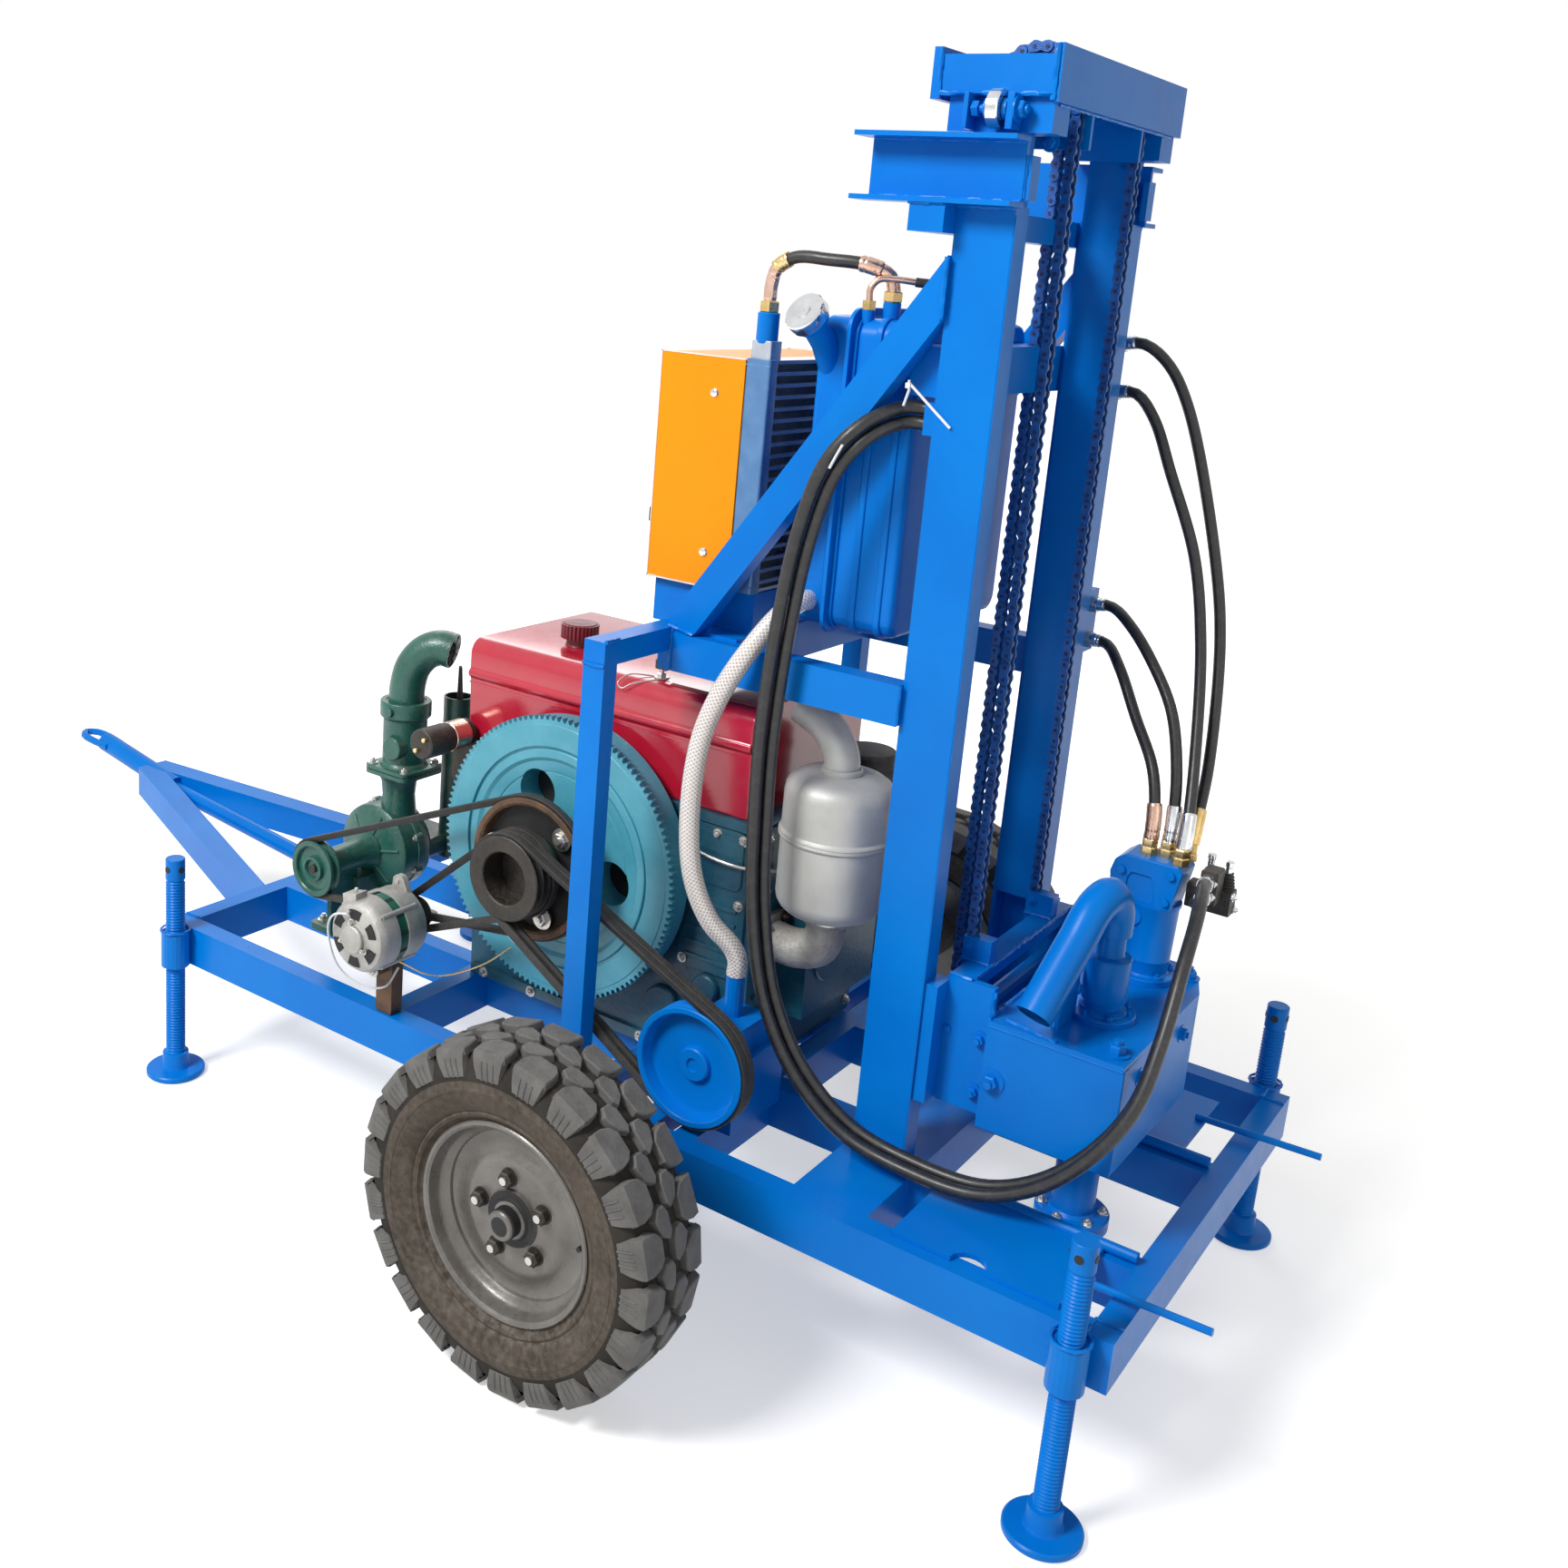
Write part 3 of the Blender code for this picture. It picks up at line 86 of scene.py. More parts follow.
def circle(c, r, count, start=0.0):
    """Points evenly spaced on a circle round c, from a start angle in degrees."""
    turns = [radians(start + 360 / count * k) for k in range(count)]
    return [(c[0] + r * cos(a), c[1] + r * sin(a)) for a in turns]


def place(axis, c, r, a, t):
    """Point at radius r and angle a round an axis through c, at height t."""
    p, q = r * cos(a), r * sin(a)
    if axis == "x":
        return (t, c[0] + p, c[1] + q)
    if axis == "y":
        return (c[0] + p, t, c[1] + q)
    return (c[0] + p, c[1] + q, t)


def lathe(axis, c, prof, n=72, closed=False):
    v = []
    f = []
    m = len(prof)
    for r, t in prof:
        v.extend(place(axis, c, max(r, 1e-5), 2 * pi * i / n, t) for i in range(n))
    for k in range(m if closed else m - 1):
        k2 = (k + 1) % m
        for i in range(n):
            j = (i + 1) % n
            f.append((k * n + i, k * n + j, k2 * n + j, k2 * n + i))
    return v, f


def near(c, *steps):
    """Points at steps from a centre."""
    return [(c[0] + p, c[1] + q) for p, q in steps]


def turned(axis, c, prof, n=72):
    """Solid turned part: a lathe whose profile is closed to the axis at both ends."""
    return lathe(axis, c, [(0, prof[0][1])] + prof + [(0, prof[-1][1])], n)


def cyl(axis, c, r, lo, hi, n=32, ch=0.0):
    if ch:
        return turned(axis, c, [(r - ch, lo), (r, lo + ch), (r, hi - ch), (r - ch, hi)], n)
    return turned(axis, c, [(r, lo), (r, hi)], n)


def prism(poly, axis, lo, hi):
    k = {"x": lambda p, t: (t, p[0], p[1]), "y": lambda p, t: (p[0], t, p[1]), "z": lambda p,
        t: (p[0], p[1], t)}[axis]
    n = len(poly)
    v = [k(p, lo) for p in poly] + [k(p, hi) for p in poly]
    f = [tuple(range(n - 1, -1, -1)), tuple(range(n, 2 * n))]
    f += [(i, (i + 1) % n, n + (i + 1) % n, n + i) for i in range(n)]
    return v, f


def smooth_path(points, step):
    pts = [Vector(p) for p in points]
    ext = [pts[0] * 2 - pts[1]] + pts + [pts[-1] * 2 - pts[-2]]
    dense = []
    for k in range(1, len(ext) - 2):
        p0, p1, p2, p3 = ext[k - 1], ext[k], ext[k + 1], ext[k + 2]
        t0 = 0.0
        t1 = t0 + max((p1 - p0).length, 1e-6) ** 0.5
        t2 = t1 + max((p2 - p1).length, 1e-6) ** 0.5
        t3 = t2 + max((p3 - p2).length, 1e-6) ** 0.5
        for i in range(24):
            t = t1 + (t2 - t1) * i / 24
            a1 = p0 * ((t1 - t) / (t1 - t0)) + p1 * ((t - t0) / (t1 - t0))
            a2 = p1 * ((t2 - t) / (t2 - t1)) + p2 * ((t - t1) / (t2 - t1))
            a3 = p2 * ((t3 - t) / (t3 - t2)) + p3 * ((t - t2) / (t3 - t2))
            b1 = a1 * ((t2 - t) / (t2 - t0)) + a2 * ((t - t0) / (t2 - t0))
            b2 = a2 * ((t3 - t) / (t3 - t1)) + a3 * ((t - t1) / (t3 - t1))
            dense.append(b1 * ((t2 - t) / (t2 - t1)) + b2 * ((t - t1) / (t2 - t1)))
    dense.append(pts[-1])
    total = [0.0]
    for a, b in zip(dense, dense[1:]):
        total.append(total[-1] + (b - a).length)
    n = max(2, int(round(total[-1] / step)))
    out = []
    k = 0
    for i in range(n + 1):
        s = total[-1] * i / n
        while k < len(total) - 2 and total[k + 1] < s:
            k += 1
        w = (s - total[k]) / max(total[k + 1] - total[k], 1e-9)
        out.append(dense[k].lerp(dense[k + 1], min(max(w, 0.0), 1.0)))
    return out


def frames(pts):
    tang = [(pts[min(i + 1, len(pts) - 1)] - pts[max(i - 1, 0)]).normalized() for i in range(len(pts))]
    ref = Vector((0, 0, 1)) if abs(tang[0].z) < 0.9 else Vector((1, 0, 0))
    u = tang[0].cross(ref).normalized()
    out = []
    for t in tang:
        u = (u - t * u.dot(t)).normalized()
        out.append((t, u.copy(), t.cross(u)))
    return out


def sweep(points, r, sides=16, radius=None):
    """Round bar along the points. radius(i, k) may scale the radius of a ring point."""
    pts = [Vector(p) for p in points]
    v = []
    f = []
    for i, (p, (t, u, w)) in enumerate(zip(pts, frames(pts))):
        for k in range(sides):
            an = 2 * pi * k / sides
            rr = r * (radius(i, k) if radius else 1.0)
            v.append(tuple(p + u * (rr * cos(an)) + w * (rr * sin(an))))
    for i in range(len(pts) - 1):
        for k in range(sides):
            j = (k + 1) % sides
            f.append((i * sides + k, i * sides + j, (i + 1) * sides + j, (i + 1) * sides + k))
    f.append(tuple(range(sides - 1, -1, -1)))
    f.append(tuple((len(pts) - 1) * sides + k for k in range(sides)))
    return v, f


def pipe(points, step, r, sides):
    """Round bar along a smooth line through the points."""
    return sweep(smooth_path(points, step), r, sides)


def hashed(i):
    """Repeatable number from 0 to 1."""
    x = sin(i * 12.9898 + 4.1414) * 43758.5453
    return x % 1.0


def weld(points, r=0.0035):
    """Weld bead: a low bumpy bar along a line."""
    path = smooth_path(points, 0.006) if len(points) > 2 else None
    if path is None:
        a, b = Vector(points[0]), Vector(points[1])
        n = max(2, int((b - a).length / 0.006))
        path = [a.lerp(b, i / n) for i in range(n + 1)]
    seed = int(abs(points[0][0]) * 977 + abs(points[0][2]) * 331)
    return sweep(path, r, 6, lambda i, k: 0.75 + 0.5 * hashed(i * 7 + k + seed))


def beads(rows, sides=(1,)):
    """Straight weld beads from rows of start, end and radius, on the given sides of the machine."""
    return [weld([(x0, s * y0, z0), (x1, s * y1, z1)], r) for s in sides for x0, y0, z0, x1, y1, z1,
        r in rows]


WASHER = 0.0022


def hexbolt(axis, c, t, out, r=0.009, h=0.007):
    """Hexagon head on a washer, standing from height t in the direction out (+1 or -1)."""
    a = t + out * WASHER
    b = a + out * h
    prof = [(0, a), (r * 1.1, a), (r * 1.1, b - out * 0.0015), (r * 0.95, b), (0, b)]
    return [cyl(axis, c, r * 1.65, *sorted((t, a)), 20), lathe(axis, c, prof, 6),
        cyl(axis, c, r * 0.55, *sorted((b - out * 0.001, b + out * h * 0.5)), 14)]


def bolts(axis, t, out, r, h, *places):
    """Hexagon heads of one size at several places on one face."""
    return [shape for c in places for shape in hexbolt(axis, c, t, out, r, h)]


def clean(mesh, dist):
    """Join points that lie closer than dist and turn all faces outwards."""
    bm = bmesh.new()
    bm.from_mesh(mesh)
    bmesh.ops.remove_doubles(bm, verts=bm.verts, dist=dist)
    bmesh.ops.recalc_face_normals(bm, faces=bm.faces)
    bm.to_mesh(mesh)
    bm.free()


def soften(o, width, angle):
    """Bevel the edges of an object that are sharper than an angle."""
    b = o.modifiers.new("bevel", "BEVEL")
    b.width = width
    b.segments = 2
    b.limit_method = "ANGLE"
    b.angle_limit = radians(angle)
    b.harden_normals = True


def make(name, shapes, mat, body="chassis", smooth=30, replaces=(), bevel=0.0):
    """One mesh piece from a list of shapes, shifted to the frame and riding on a body."""
    v = []
    f = []
    for sv, sf in shapes:
        k = len(v)
        v.extend((x + DX, y, z) for x, y, z in sv)
        f.extend(tuple(i + k for i in q) for q in sf)
    me = bpy.data.meshes.new(name)
    me.from_pydata(v, [], f)
    me.validate()
    clean(me, 2e-5)
    for p in me.polygons:
        p.use_smooth = True
    me.set_sharp_from_angle(angle=radians(smooth))
    me.materials.append(mat)
    o = bpy.data.objects.new(name, me)
    scene.collection.objects.link(o)
    if bevel:
        soften(o, bevel, 35)
    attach(o, body)
    if replaces:
        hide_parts(*replaces)
    return o


# Materials
def node(nt, kind, values={}, links={}, **settings):
    """Add a shader node with its settings, input values and incoming links."""
    n = nt.nodes.new("ShaderNode" + kind)
    for key, value in settings.items():
        setattr(n, key, value)
    for key, value in values.items():
        n.inputs[key].default_value = value
    for key, socket in links.items():
        nt.links.new(socket, n.inputs[key])
    return n


def new_material(name):
    mt = bpy.data.materials.new(name)
    mt.use_nodes = True
    return mt, mt.node_tree, mt.node_tree.nodes["Principled BSDF"]


def material(name, c1, c2, scale=9.0, rough=(0.25, 0.4), metal=0.0, bump=0.05, bump_scale=260.0, coat=0.0,
             dust_and_top_light=0.0, dust_and_top_light_rgb=(0.3, 0.26, 0.21), spec=0.5):
    """Two mottled colours, varied roughness, dust on the faces that look up (on the blue enamel a lighter cyan
    there: painted top light), and a fine bump.
    """
    mt, nt, bs = new_material(name)
    coords = node(nt, "TexCoord").outputs
    spot = node(nt, "Mapping", {}, {"Vector": coords["Object"]}).outputs["Vector"]

    def noise(size, detail):
        return node(nt, "TexNoise", {"Scale": size, "Detail": detail}, {"Vector": spot}).outputs["Fac"]
    mottle = node(nt, "MapRange", {"From Min": 0.35, "From Max": 0.65},
        {"Value": noise(scale, 4)}).outputs["Result"]
    colour = node(nt, "Mix", {"A": (*c1, 1), "B": (*c2, 1)}, {"Factor": mottle},
        data_type="RGBA").outputs["Result"]
    fine = noise(scale * 6, 5)
    roughness = node(nt, "MapRange", {"To Min": rough[0], "To Max": rough[1]},
        {"Value": fine}).outputs["Result"]
    if dust_and_top_light:
        normal = node(nt, "SeparateXYZ", {}, {"Vector": coords["Normal"]}).outputs["Z"]
        upward = node(nt, "MapRange", {"From Min": -0.2, "From Max": 1.0, "To Min": 0.25}, {"Value": normal})
        patches = node(nt, "MapRange", {"From Min": 0.35, "From Max": 0.75, "To Max": dust_and_top_light}, {"Value": fine})
        both = {0: upward.outputs["Result"], 1: patches.outputs["Result"]}
        layer = node(nt, "Math", {}, both, operation="MULTIPLY").outputs["Value"]
        over = {"Factor": layer, "A": colour}
        colour = node(nt, "Mix", {"B": (*dust_and_top_light_rgb, 1)}, over, data_type="RGBA").outputs["Result"]
        over = {"Factor": layer, "A": roughness}
        roughness = node(nt, "Mix", {"B": 0.9}, over, data_type="FLOAT").outputs["Result"]
    nt.links.new(colour, bs.inputs["Base Color"])
    nt.links.new(roughness, bs.inputs["Roughness"])
    bs.inputs["Metallic"].default_value = metal
    bs.inputs["Coat Weight"].default_value = coat
    bs.inputs["Coat Roughness"].default_value = 0.12
    bs.inputs["Specular IOR Level"].default_value = spec
    if bump:
        grain = node(nt, "Bump", {"Strength": bump, "Distance": 0.002}, {"Height": noise(bump_scale, 3)})
        nt.links.new(grain.outputs["Normal"], bs.inputs["Normal"])
    return mt


# On faces that look up the blue enamel turns a lighter cyan: painted top light, not dust.
BLUE = material("blue_enamel", (0.0, 0.165, 0.61), (0.0, 0.195, 0.67), 5, (0.24, 0.38), 0, 0.06, 60, 0.0,
    0.02, (0.02, 0.24, 0.5), spec=0.16)
RED = material("crimson_enamel", (0.46, 0.008, 0.03), (0.52, 0.012, 0.038), 6, (0.12, 0.22), 0, 0.03, 50,
    0.5, 0.06)
FLY = material("flywheel_enamel", (0.05, 0.31, 0.42), (0.08, 0.37, 0.48), 14, (0.28, 0.45), 0, 0.25, 220,
    0.1, 0.1)
TEAL = material("engine_enamel", (0.006, 0.075, 0.13), (0.01, 0.11, 0.17), 12, (0.25, 0.45), 0, 0.3, 150,
    0.1, 0.18)
GREEN = material("pump_enamel", (0.004, 0.08, 0.058), (0.008, 0.11, 0.08), 16, (0.22, 0.42), 0, 0.5, 240,
    0.15, 0.16)
SILVER = material("heat_silver", (0.48, 0.48, 0.46), (0.56, 0.56, 0.54), 10, (0.42, 0.62), 0.35, 0.2, 500,
    0, 0.15)
DARK = material("dark_iron", (0.016, 0.014, 0.012), (0.035, 0.03, 0.026), 22, (0.4, 0.62), 0.3, 0.5, 260, 0,
    0.2)
RUST = material("rusty_iron", (0.055, 0.034, 0.022), (0.16, 0.085, 0.045), 26, (0.45, 0.75), 0.4, 0.7, 320,
    0, 0.15)
STEEL = material("bright_steel", (0.5, 0.5, 0.48), (0.6, 0.58, 0.54), 30, (0.22, 0.42), 0.9, 0.2, 500, 0,
    0.08)
BRASS = material("gold_zinc", (0.62, 0.42, 0.16), (0.7, 0.52, 0.26), 40, (0.2, 0.36), 0.9, 0.1, 500, 0, 0.04)
COPPER = material("tinned_copper", (0.62, 0.38, 0.28), (0.7, 0.5, 0.4), 40, (0.18, 0.3), 0.9, 0.1, 500)
TYRE = material("tyre_rubber", (0.044, 0.033, 0.024), (0.074, 0.057, 0.042), 14, (0.72, 0.9), 0, 0.5, 420,
    0, 0.75, (0.26, 0.235, 0.205), spec=0.3)
TREAD = material("worn_tread", (0.1, 0.098, 0.094), (0.145, 0.142, 0.136), 30, (0.6, 0.8), 0, 0.3, 700, 0,
    0.25, (0.3, 0.28, 0.26), spec=0.35)
# Near-black rubber for the band between the tread blocks: painted shade in the grooves.
GROOVE = material("groove_painted_shade", (0.018, 0.016, 0.014), (0.035, 0.031, 0.027), 14, (0.75, 0.9), 0, 0.4,
    420, 0, 0.5, (0.08, 0.07, 0.06), spec=0.2)
RIM = material("rim_grey", (0.115, 0.108, 0.1), (0.165, 0.155, 0.145), 16, (0.22, 0.36), 0.25, 0.15, 300, 0,
    0.25, spec=0.6)
RUBBER = material("hose_rubber", (0.01, 0.01, 0.011), (0.02, 0.02, 0.021), 30, (0.35, 0.55), 0, 0.35, 500,
    0, 0.12)
BELT = material("belt_rubber", (0.012, 0.012, 0.012), (0.024, 0.023, 0.022), 40, (0.5, 0.7), 0, 0.5, 900, 0,
    0.15)
ALLOY = material("cast_alloy", (0.38, 0.37, 0.35), (0.48, 0.47, 0.45), 30, (0.35, 0.6), 0.75, 0.6, 520, 0,
    0.2)
ORANGE = material("orange_enamel", (1.0, 0.285, 0.0), (1.0, 0.3, 0.0), 6, (0.36, 0.5), 0, 0.03, 60, 0.0,
    spec=0.25)
CORE = material("core_alloy", (0.045, 0.1, 0.2), (0.07, 0.14, 0.26), 20, (0.35, 0.5), 0.4, 0.2, 400)
PLATE = material("bright_alloy", (0.4, 0.44, 0.5), (0.5, 0.54, 0.6), 30, (0.25, 0.4), 0.8, 0.15, 400)
# Chain blue: the blue enamel darkened as painted shade in the recess of the mast.
CHAIN = material("chain_blue_in_painted_shade", (0.0, 0.055, 0.26), (0.0, 0.105, 0.42), 60, (0.28, 0.5), 0.2, 0.3, 600, 0,
    0.1)
# Near-black navy for the rollers and pins between the chain plates: painted shade between the plates.
ROLLER = material("chain_roller_painted_shade", (0.003, 0.014, 0.06), (0.006, 0.026, 0.1), 60, (0.4, 0.6), 0.3, 0.3, 600)
CHROME = material("chrome", (0.62, 0.63, 0.64), (0.74, 0.75, 0.76), 40, (0.08, 0.2), 0.95, 0.05, 500)
# Black for black rubber and the fan, and painted shade where holes, slots, vents and recesses are drawn as
# dark sheets.
BLACK_AND_HOLLOW_SHADE = material("black_and_painted_hollow_shade", (0.004, 0.004, 0.005), (0.01, 0.01, 0.011), 30, (0.6, 0.8))
GREENTAPE = material("green_band", (0.01, 0.16, 0.1), (0.02, 0.2, 0.13), 30, (0.35, 0.5))
WHITE = material("white_nylon", (0.72, 0.76, 0.78), (0.8, 0.83, 0.85), 40, (0.35, 0.5))
BRAID = material("braid_thread", (0.78, 0.76, 0.74), (0.88, 0.86, 0.84), 60, (0.45, 0.6))

WORN_BY = (
    (TEAL, "engine_block"),
    (RED, "engine_hood"),
    (DARK, "starter crank_pulleys air_cleaner alternator_pulley control_valve"),
    (FLY, "flywheel"),
    (SILVER, "muffler"),
    (GREEN, "water_pump pump_pulley"),
    (ALLOY, "alternator"),
    (BELT, "pump_belt alternator_belt main_belt"),
    (CORE, "oil_cooler"),
    (ORANGE, "cooler_shroud"),
    (CHAIN, "chain_rear_near chain_rear_far chain_front_near chain_front_far sprockets"),
    (TYRE, "near_tyre far_tyre"),
    (RIM, "near_wheel far_wheel"),
    (BRAID, "clear_hose"),
    (RUBBER, "cooler_hose hose_near_a hose_near_b hose_far_a hose_far_b hose_far_c hose_far_d"),
)
NODE_MAT = {name: mat for mat, names in WORN_BY for name in names.split()}
SHARP = ("near_rail far_rail cross_frame portal near_mast_post far_mast_post mast_tie_top "
         "mast_tie_tank inner_mast gearbox carriage engine_hood engine_block cooler_shroud "
         "oil_tank near_slip far_slip drawbar hyd_pump axle").split()
BEVELS = {"oil_tank": 0.01, "engine_hood": 0.006, "gearbox": 0.004, "engine_block": 0.006}
for name, o in NODES.items():
    mt = NODE_MAT.get(name, BLUE)
    if not o.material_slots:
        o.data.materials.append(mt)
    for s in o.material_slots:
        s.material = mt
    if name in SHARP:
        soften(o, BEVELS.get(name, 0.0018), 40)

# Hoses: the same routes as the CAD model
# The first and last LEAD of a hose run straight out of its fitting
LEAD = 0.006


def axis_of(a, b):
    d = Vector(b) - Vector(a)
    k = max(range(3), key=lambda i: abs(d[i]))
    out = Vector((0, 0, 0))
    out[k] = 1.0 if d[k] > 0 else -1.0
    return out


def hose_path(points, step):
    path = smooth_path(points, step)
    path.insert(1, path[0] + axis_of(points[0], points[1]) * LEAD)
    path.insert(-1, path[-1] - axis_of(points[-2], points[-1]) * LEAD)
    return path


def pair_paths(points, step, half, n0, n1):
    path = hose_path(points, step)
    tang = [(path[min(i + 1, len(path) - 1)] - path[max(i - 1, 0)]).normalized() for i in range(len(path))]
    u = Vector(n0)
    normals = []
    for t in tang:
        u = (u - t * u.dot(t)).normalized()
        normals.append(u.copy())
    end = Vector(n1) - tang[-1] * Vector(n1).dot(tang[-1])
    turn = atan2(tang[-1].dot(u.cross(end)), u.dot(end))
    out = ([], [])
    for i, (p, t, u) in enumerate(zip(path, tang, normals)):
        a = turn * i / (len(path) - 1)
        w = u * cos(a) + t.cross(u) * sin(a)
        out[0].append(p + w * half)
        out[1].append(p - w * half)
    for line in out:
        line[1] = line[0] + (path[1] - path[0])
        line[-2] = line[-1] - (path[-1] - path[-2])
    return out


def length_of(path):
    return sum((Vector(b) - Vector(a)).length for a, b in zip(path, path[1:]))


# Hose skins: each hose carries its own length and round coordinates for the pattern
def tube_uv(name, path, r, sides, mat, body, replaces):
    path = [Vector(p) for p in path]
    o = make(name, [sweep(path, r, sides)], mat, body, 60, replaces)
    me = o.data
    uv = me.uv_layers.new(name="tube")
    fr = frames(path)
    run = [0.0]
    for a, b in zip(path, path[1:]):
        run.append(run[-1] + (b - a).length)
    pts = [p + Vector((DX, 0, 0)) for p in path]
    for poly in me.polygons:
        ks = []
        for li in poly.loop_indices:
            co = me.vertices[me.loops[li].vertex_index].co
            i = min(range(len(pts)), key=lambda q: (pts[q] - co).length_squared)
            d = co - pts[i]
            a = atan2(d.dot(fr[i][2]), d.dot(fr[i][1])) / (2 * pi) % 1.0
            ks.append((li, a, run[i]))
        big = any(a > 0.75 for _, a, _ in ks)
        for li, a, s in ks:
            uv.data[li].uv = (a + 1.0 if big and a < 0.25 else a, s)
    return o


def uv_pattern(name, cell, thread, line, turns, pitch, width, rough, bump, coat):
    """Crossed helical threads on a tube whose uv is (turn, metres), and one straight line along it."""
    mt, nt, bs = new_material(name)
    uv = node(nt, "UVMap", uv_map="tube")
    turn = node(nt, "SeparateXYZ", {}, {"Vector": uv.outputs["UV"]}).outputs

    def mth(op, a, b=None):
        n = node(nt, "Math", operation=op)
        for i, x in enumerate((a, b)):
            if isinstance(x, (int, float)):
                n.inputs[i].default_value = x
            elif x is not None:
                nt.links.new(x, n.inputs[i])
        return n.outputs["Value"]
    ends = []
    for s in (1, -1):
        t = mth("ADD", mth("MULTIPLY", turn["X"], turns), mth("MULTIPLY", turn["Y"], s * turns / pitch))
        ends.append(mth("LESS_THAN", mth("ABSOLUTE", mth("SUBTRACT", mth("FRACT", t), 0.5)), width))
    mask = mth("MAXIMUM", ends[0], ends[1])
    both = {"A": (*cell, 1), "B": (*thread, 1)}
    out = node(nt, "Mix", both, {"Factor": mask}, data_type="RGBA").outputs["Result"]
    if line:
        near = mth("LESS_THAN", mth("ABSOLUTE", mth("SUBTRACT", mth("FRACT", turn["X"]), line[1])), 0.012)
        over = {"Factor": near, "A": out}
        out = node(nt, "Mix", {"B": (*line[0], 1)}, over, data_type="RGBA").outputs["Result"]
    nt.links.new(out, bs.inputs["Base Color"])
    coords = node(nt, "TexCoord")
    blotch = node(nt, "TexNoise", {"Scale": 45}, {"Vector": coords.outputs["Object"]}).outputs["Fac"]
    shine = node(nt, "MapRange", {"To Min": rough[0], "To Max": rough[1]}, {"Value": blotch})
    nt.links.new(shine.outputs["Result"], bs.inputs["Roughness"])
    b = node(nt, "Bump", {"Strength": bump, "Distance": 0.001}, {"Height": mask})
    nt.links.new(b.outputs["Normal"], bs.inputs["Normal"])
    bs.inputs["Coat Weight"].default_value = coat
    bs.inputs["Coat Roughness"].default_value = 0.08
    return mt


BRAIDED = uv_pattern("braided_hose", (0.5, 0.42, 0.38), (0.86, 0.84, 0.82), ((0.62, 0.03, 0.05), 0.32), 12,
    0.085, 0.17, (0.2, 0.35), 0.35, 0.7)
TAPED = uv_pattern("taped_hose", (0.011, 0.011, 0.012), (0.019, 0.019, 0.02), None, 1, 0.042, 0.08,
    (0.34, 0.55), 0.8, 0.1)


def cord(name, path, r, mat, sides=24):
    o = tube_uv(name + "_line", path, r, sides, mat, "chassis", (name,))
    return o


def follow_head(o):
    """Unparent a hose and bake its place into its points, so that it stays where it stands."""
    o.parent = None
    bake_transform(o)


# Axis of the hydraulic pump, half width of the tank, gap kept to it, and the ports of cooler and tank
HYD = (0.258, 0.438)
TANK_Y, GAP = 0.195, 0.0003
COOLER_PORT, TANK_PORT = (0.149, -0.184), (0.348, -0.15)
CLEAR_ROUTE = [(0.275, -TANK_Y - GAP, 1.19), (0.275, -0.22, 1.19), (0.264, -0.262, 1.17),
    (0.235, -0.3, 1.11), (0.205, -0.318, 1.045), (0.18, -0.33, 0.96), (0.172, -0.333, 0.83),
    (0.185, -0.328, 0.723), (0.215, -0.312, 0.65), (0.248, -0.29, 0.608), (HYD[0], -0.285, 0.585),
    (HYD[0], -0.285, 0.56)]
cord("clear_hose", hose_path(CLEAR_ROUTE, 0.012), 0.017, BRAIDED, 32)
COOLER_ROUTE = [(*COOLER_PORT, 1.6453), (*COOLER_PORT, 1.675), (0.158, -0.184, 1.705),
    (0.19, -0.184, 1.722), (0.25, -0.182, 1.722), (0.31, -0.168, 1.718), (0.34, -0.152, 1.705),
    (*TANK_PORT, 1.685), (*TANK_PORT, 1.6653)]
cooler_path = hose_path(COOLER_ROUTE, 0.008)
cord("cooler_hose", cooler_path, 0.01, TAPED)
PAIR = [(0.4697, -0.222, 1.507), (0.44, -0.226, 1.508), (0.415, -0.258, 1.498), (0.388, -0.29, 1.472),
    (0.353, -0.303, 1.42), (0.322, -0.306, 1.32), (0.3, -0.305, 1.177), (0.287, -0.305, 0.999),
    (0.289, -0.305, 0.85), (0.3, -0.305, 0.698), (0.335, -0.305, 0.552), (0.4, -0.302, 0.445),
    (0.496, -0.298, 0.374), (0.612, -0.295, 0.354), (0.728, -0.29, 0.36), (0.815, -0.283, 0.405),
    (0.885, -0.268, 0.48), (0.926, -0.243, 0.56), (0.936, -0.2, 0.645), (0.932, -0.13, 0.742),
    (0.921, -0.055, 0.793), (0.907, 0.005, 0.807), (0.898, 0.045, 0.802), (0.896, 0.0757, 0.797)]
line_a, line_b = pair_paths(PAIR, 0.017, 0.0112, (0.0, 0.0, 1.0), (0.0, 0.0, 1.0))
for key, path in (("a", line_a), ("b", line_b)):
    follow_head(cord("hose_near_" + key, path, 0.0105, TAPED))
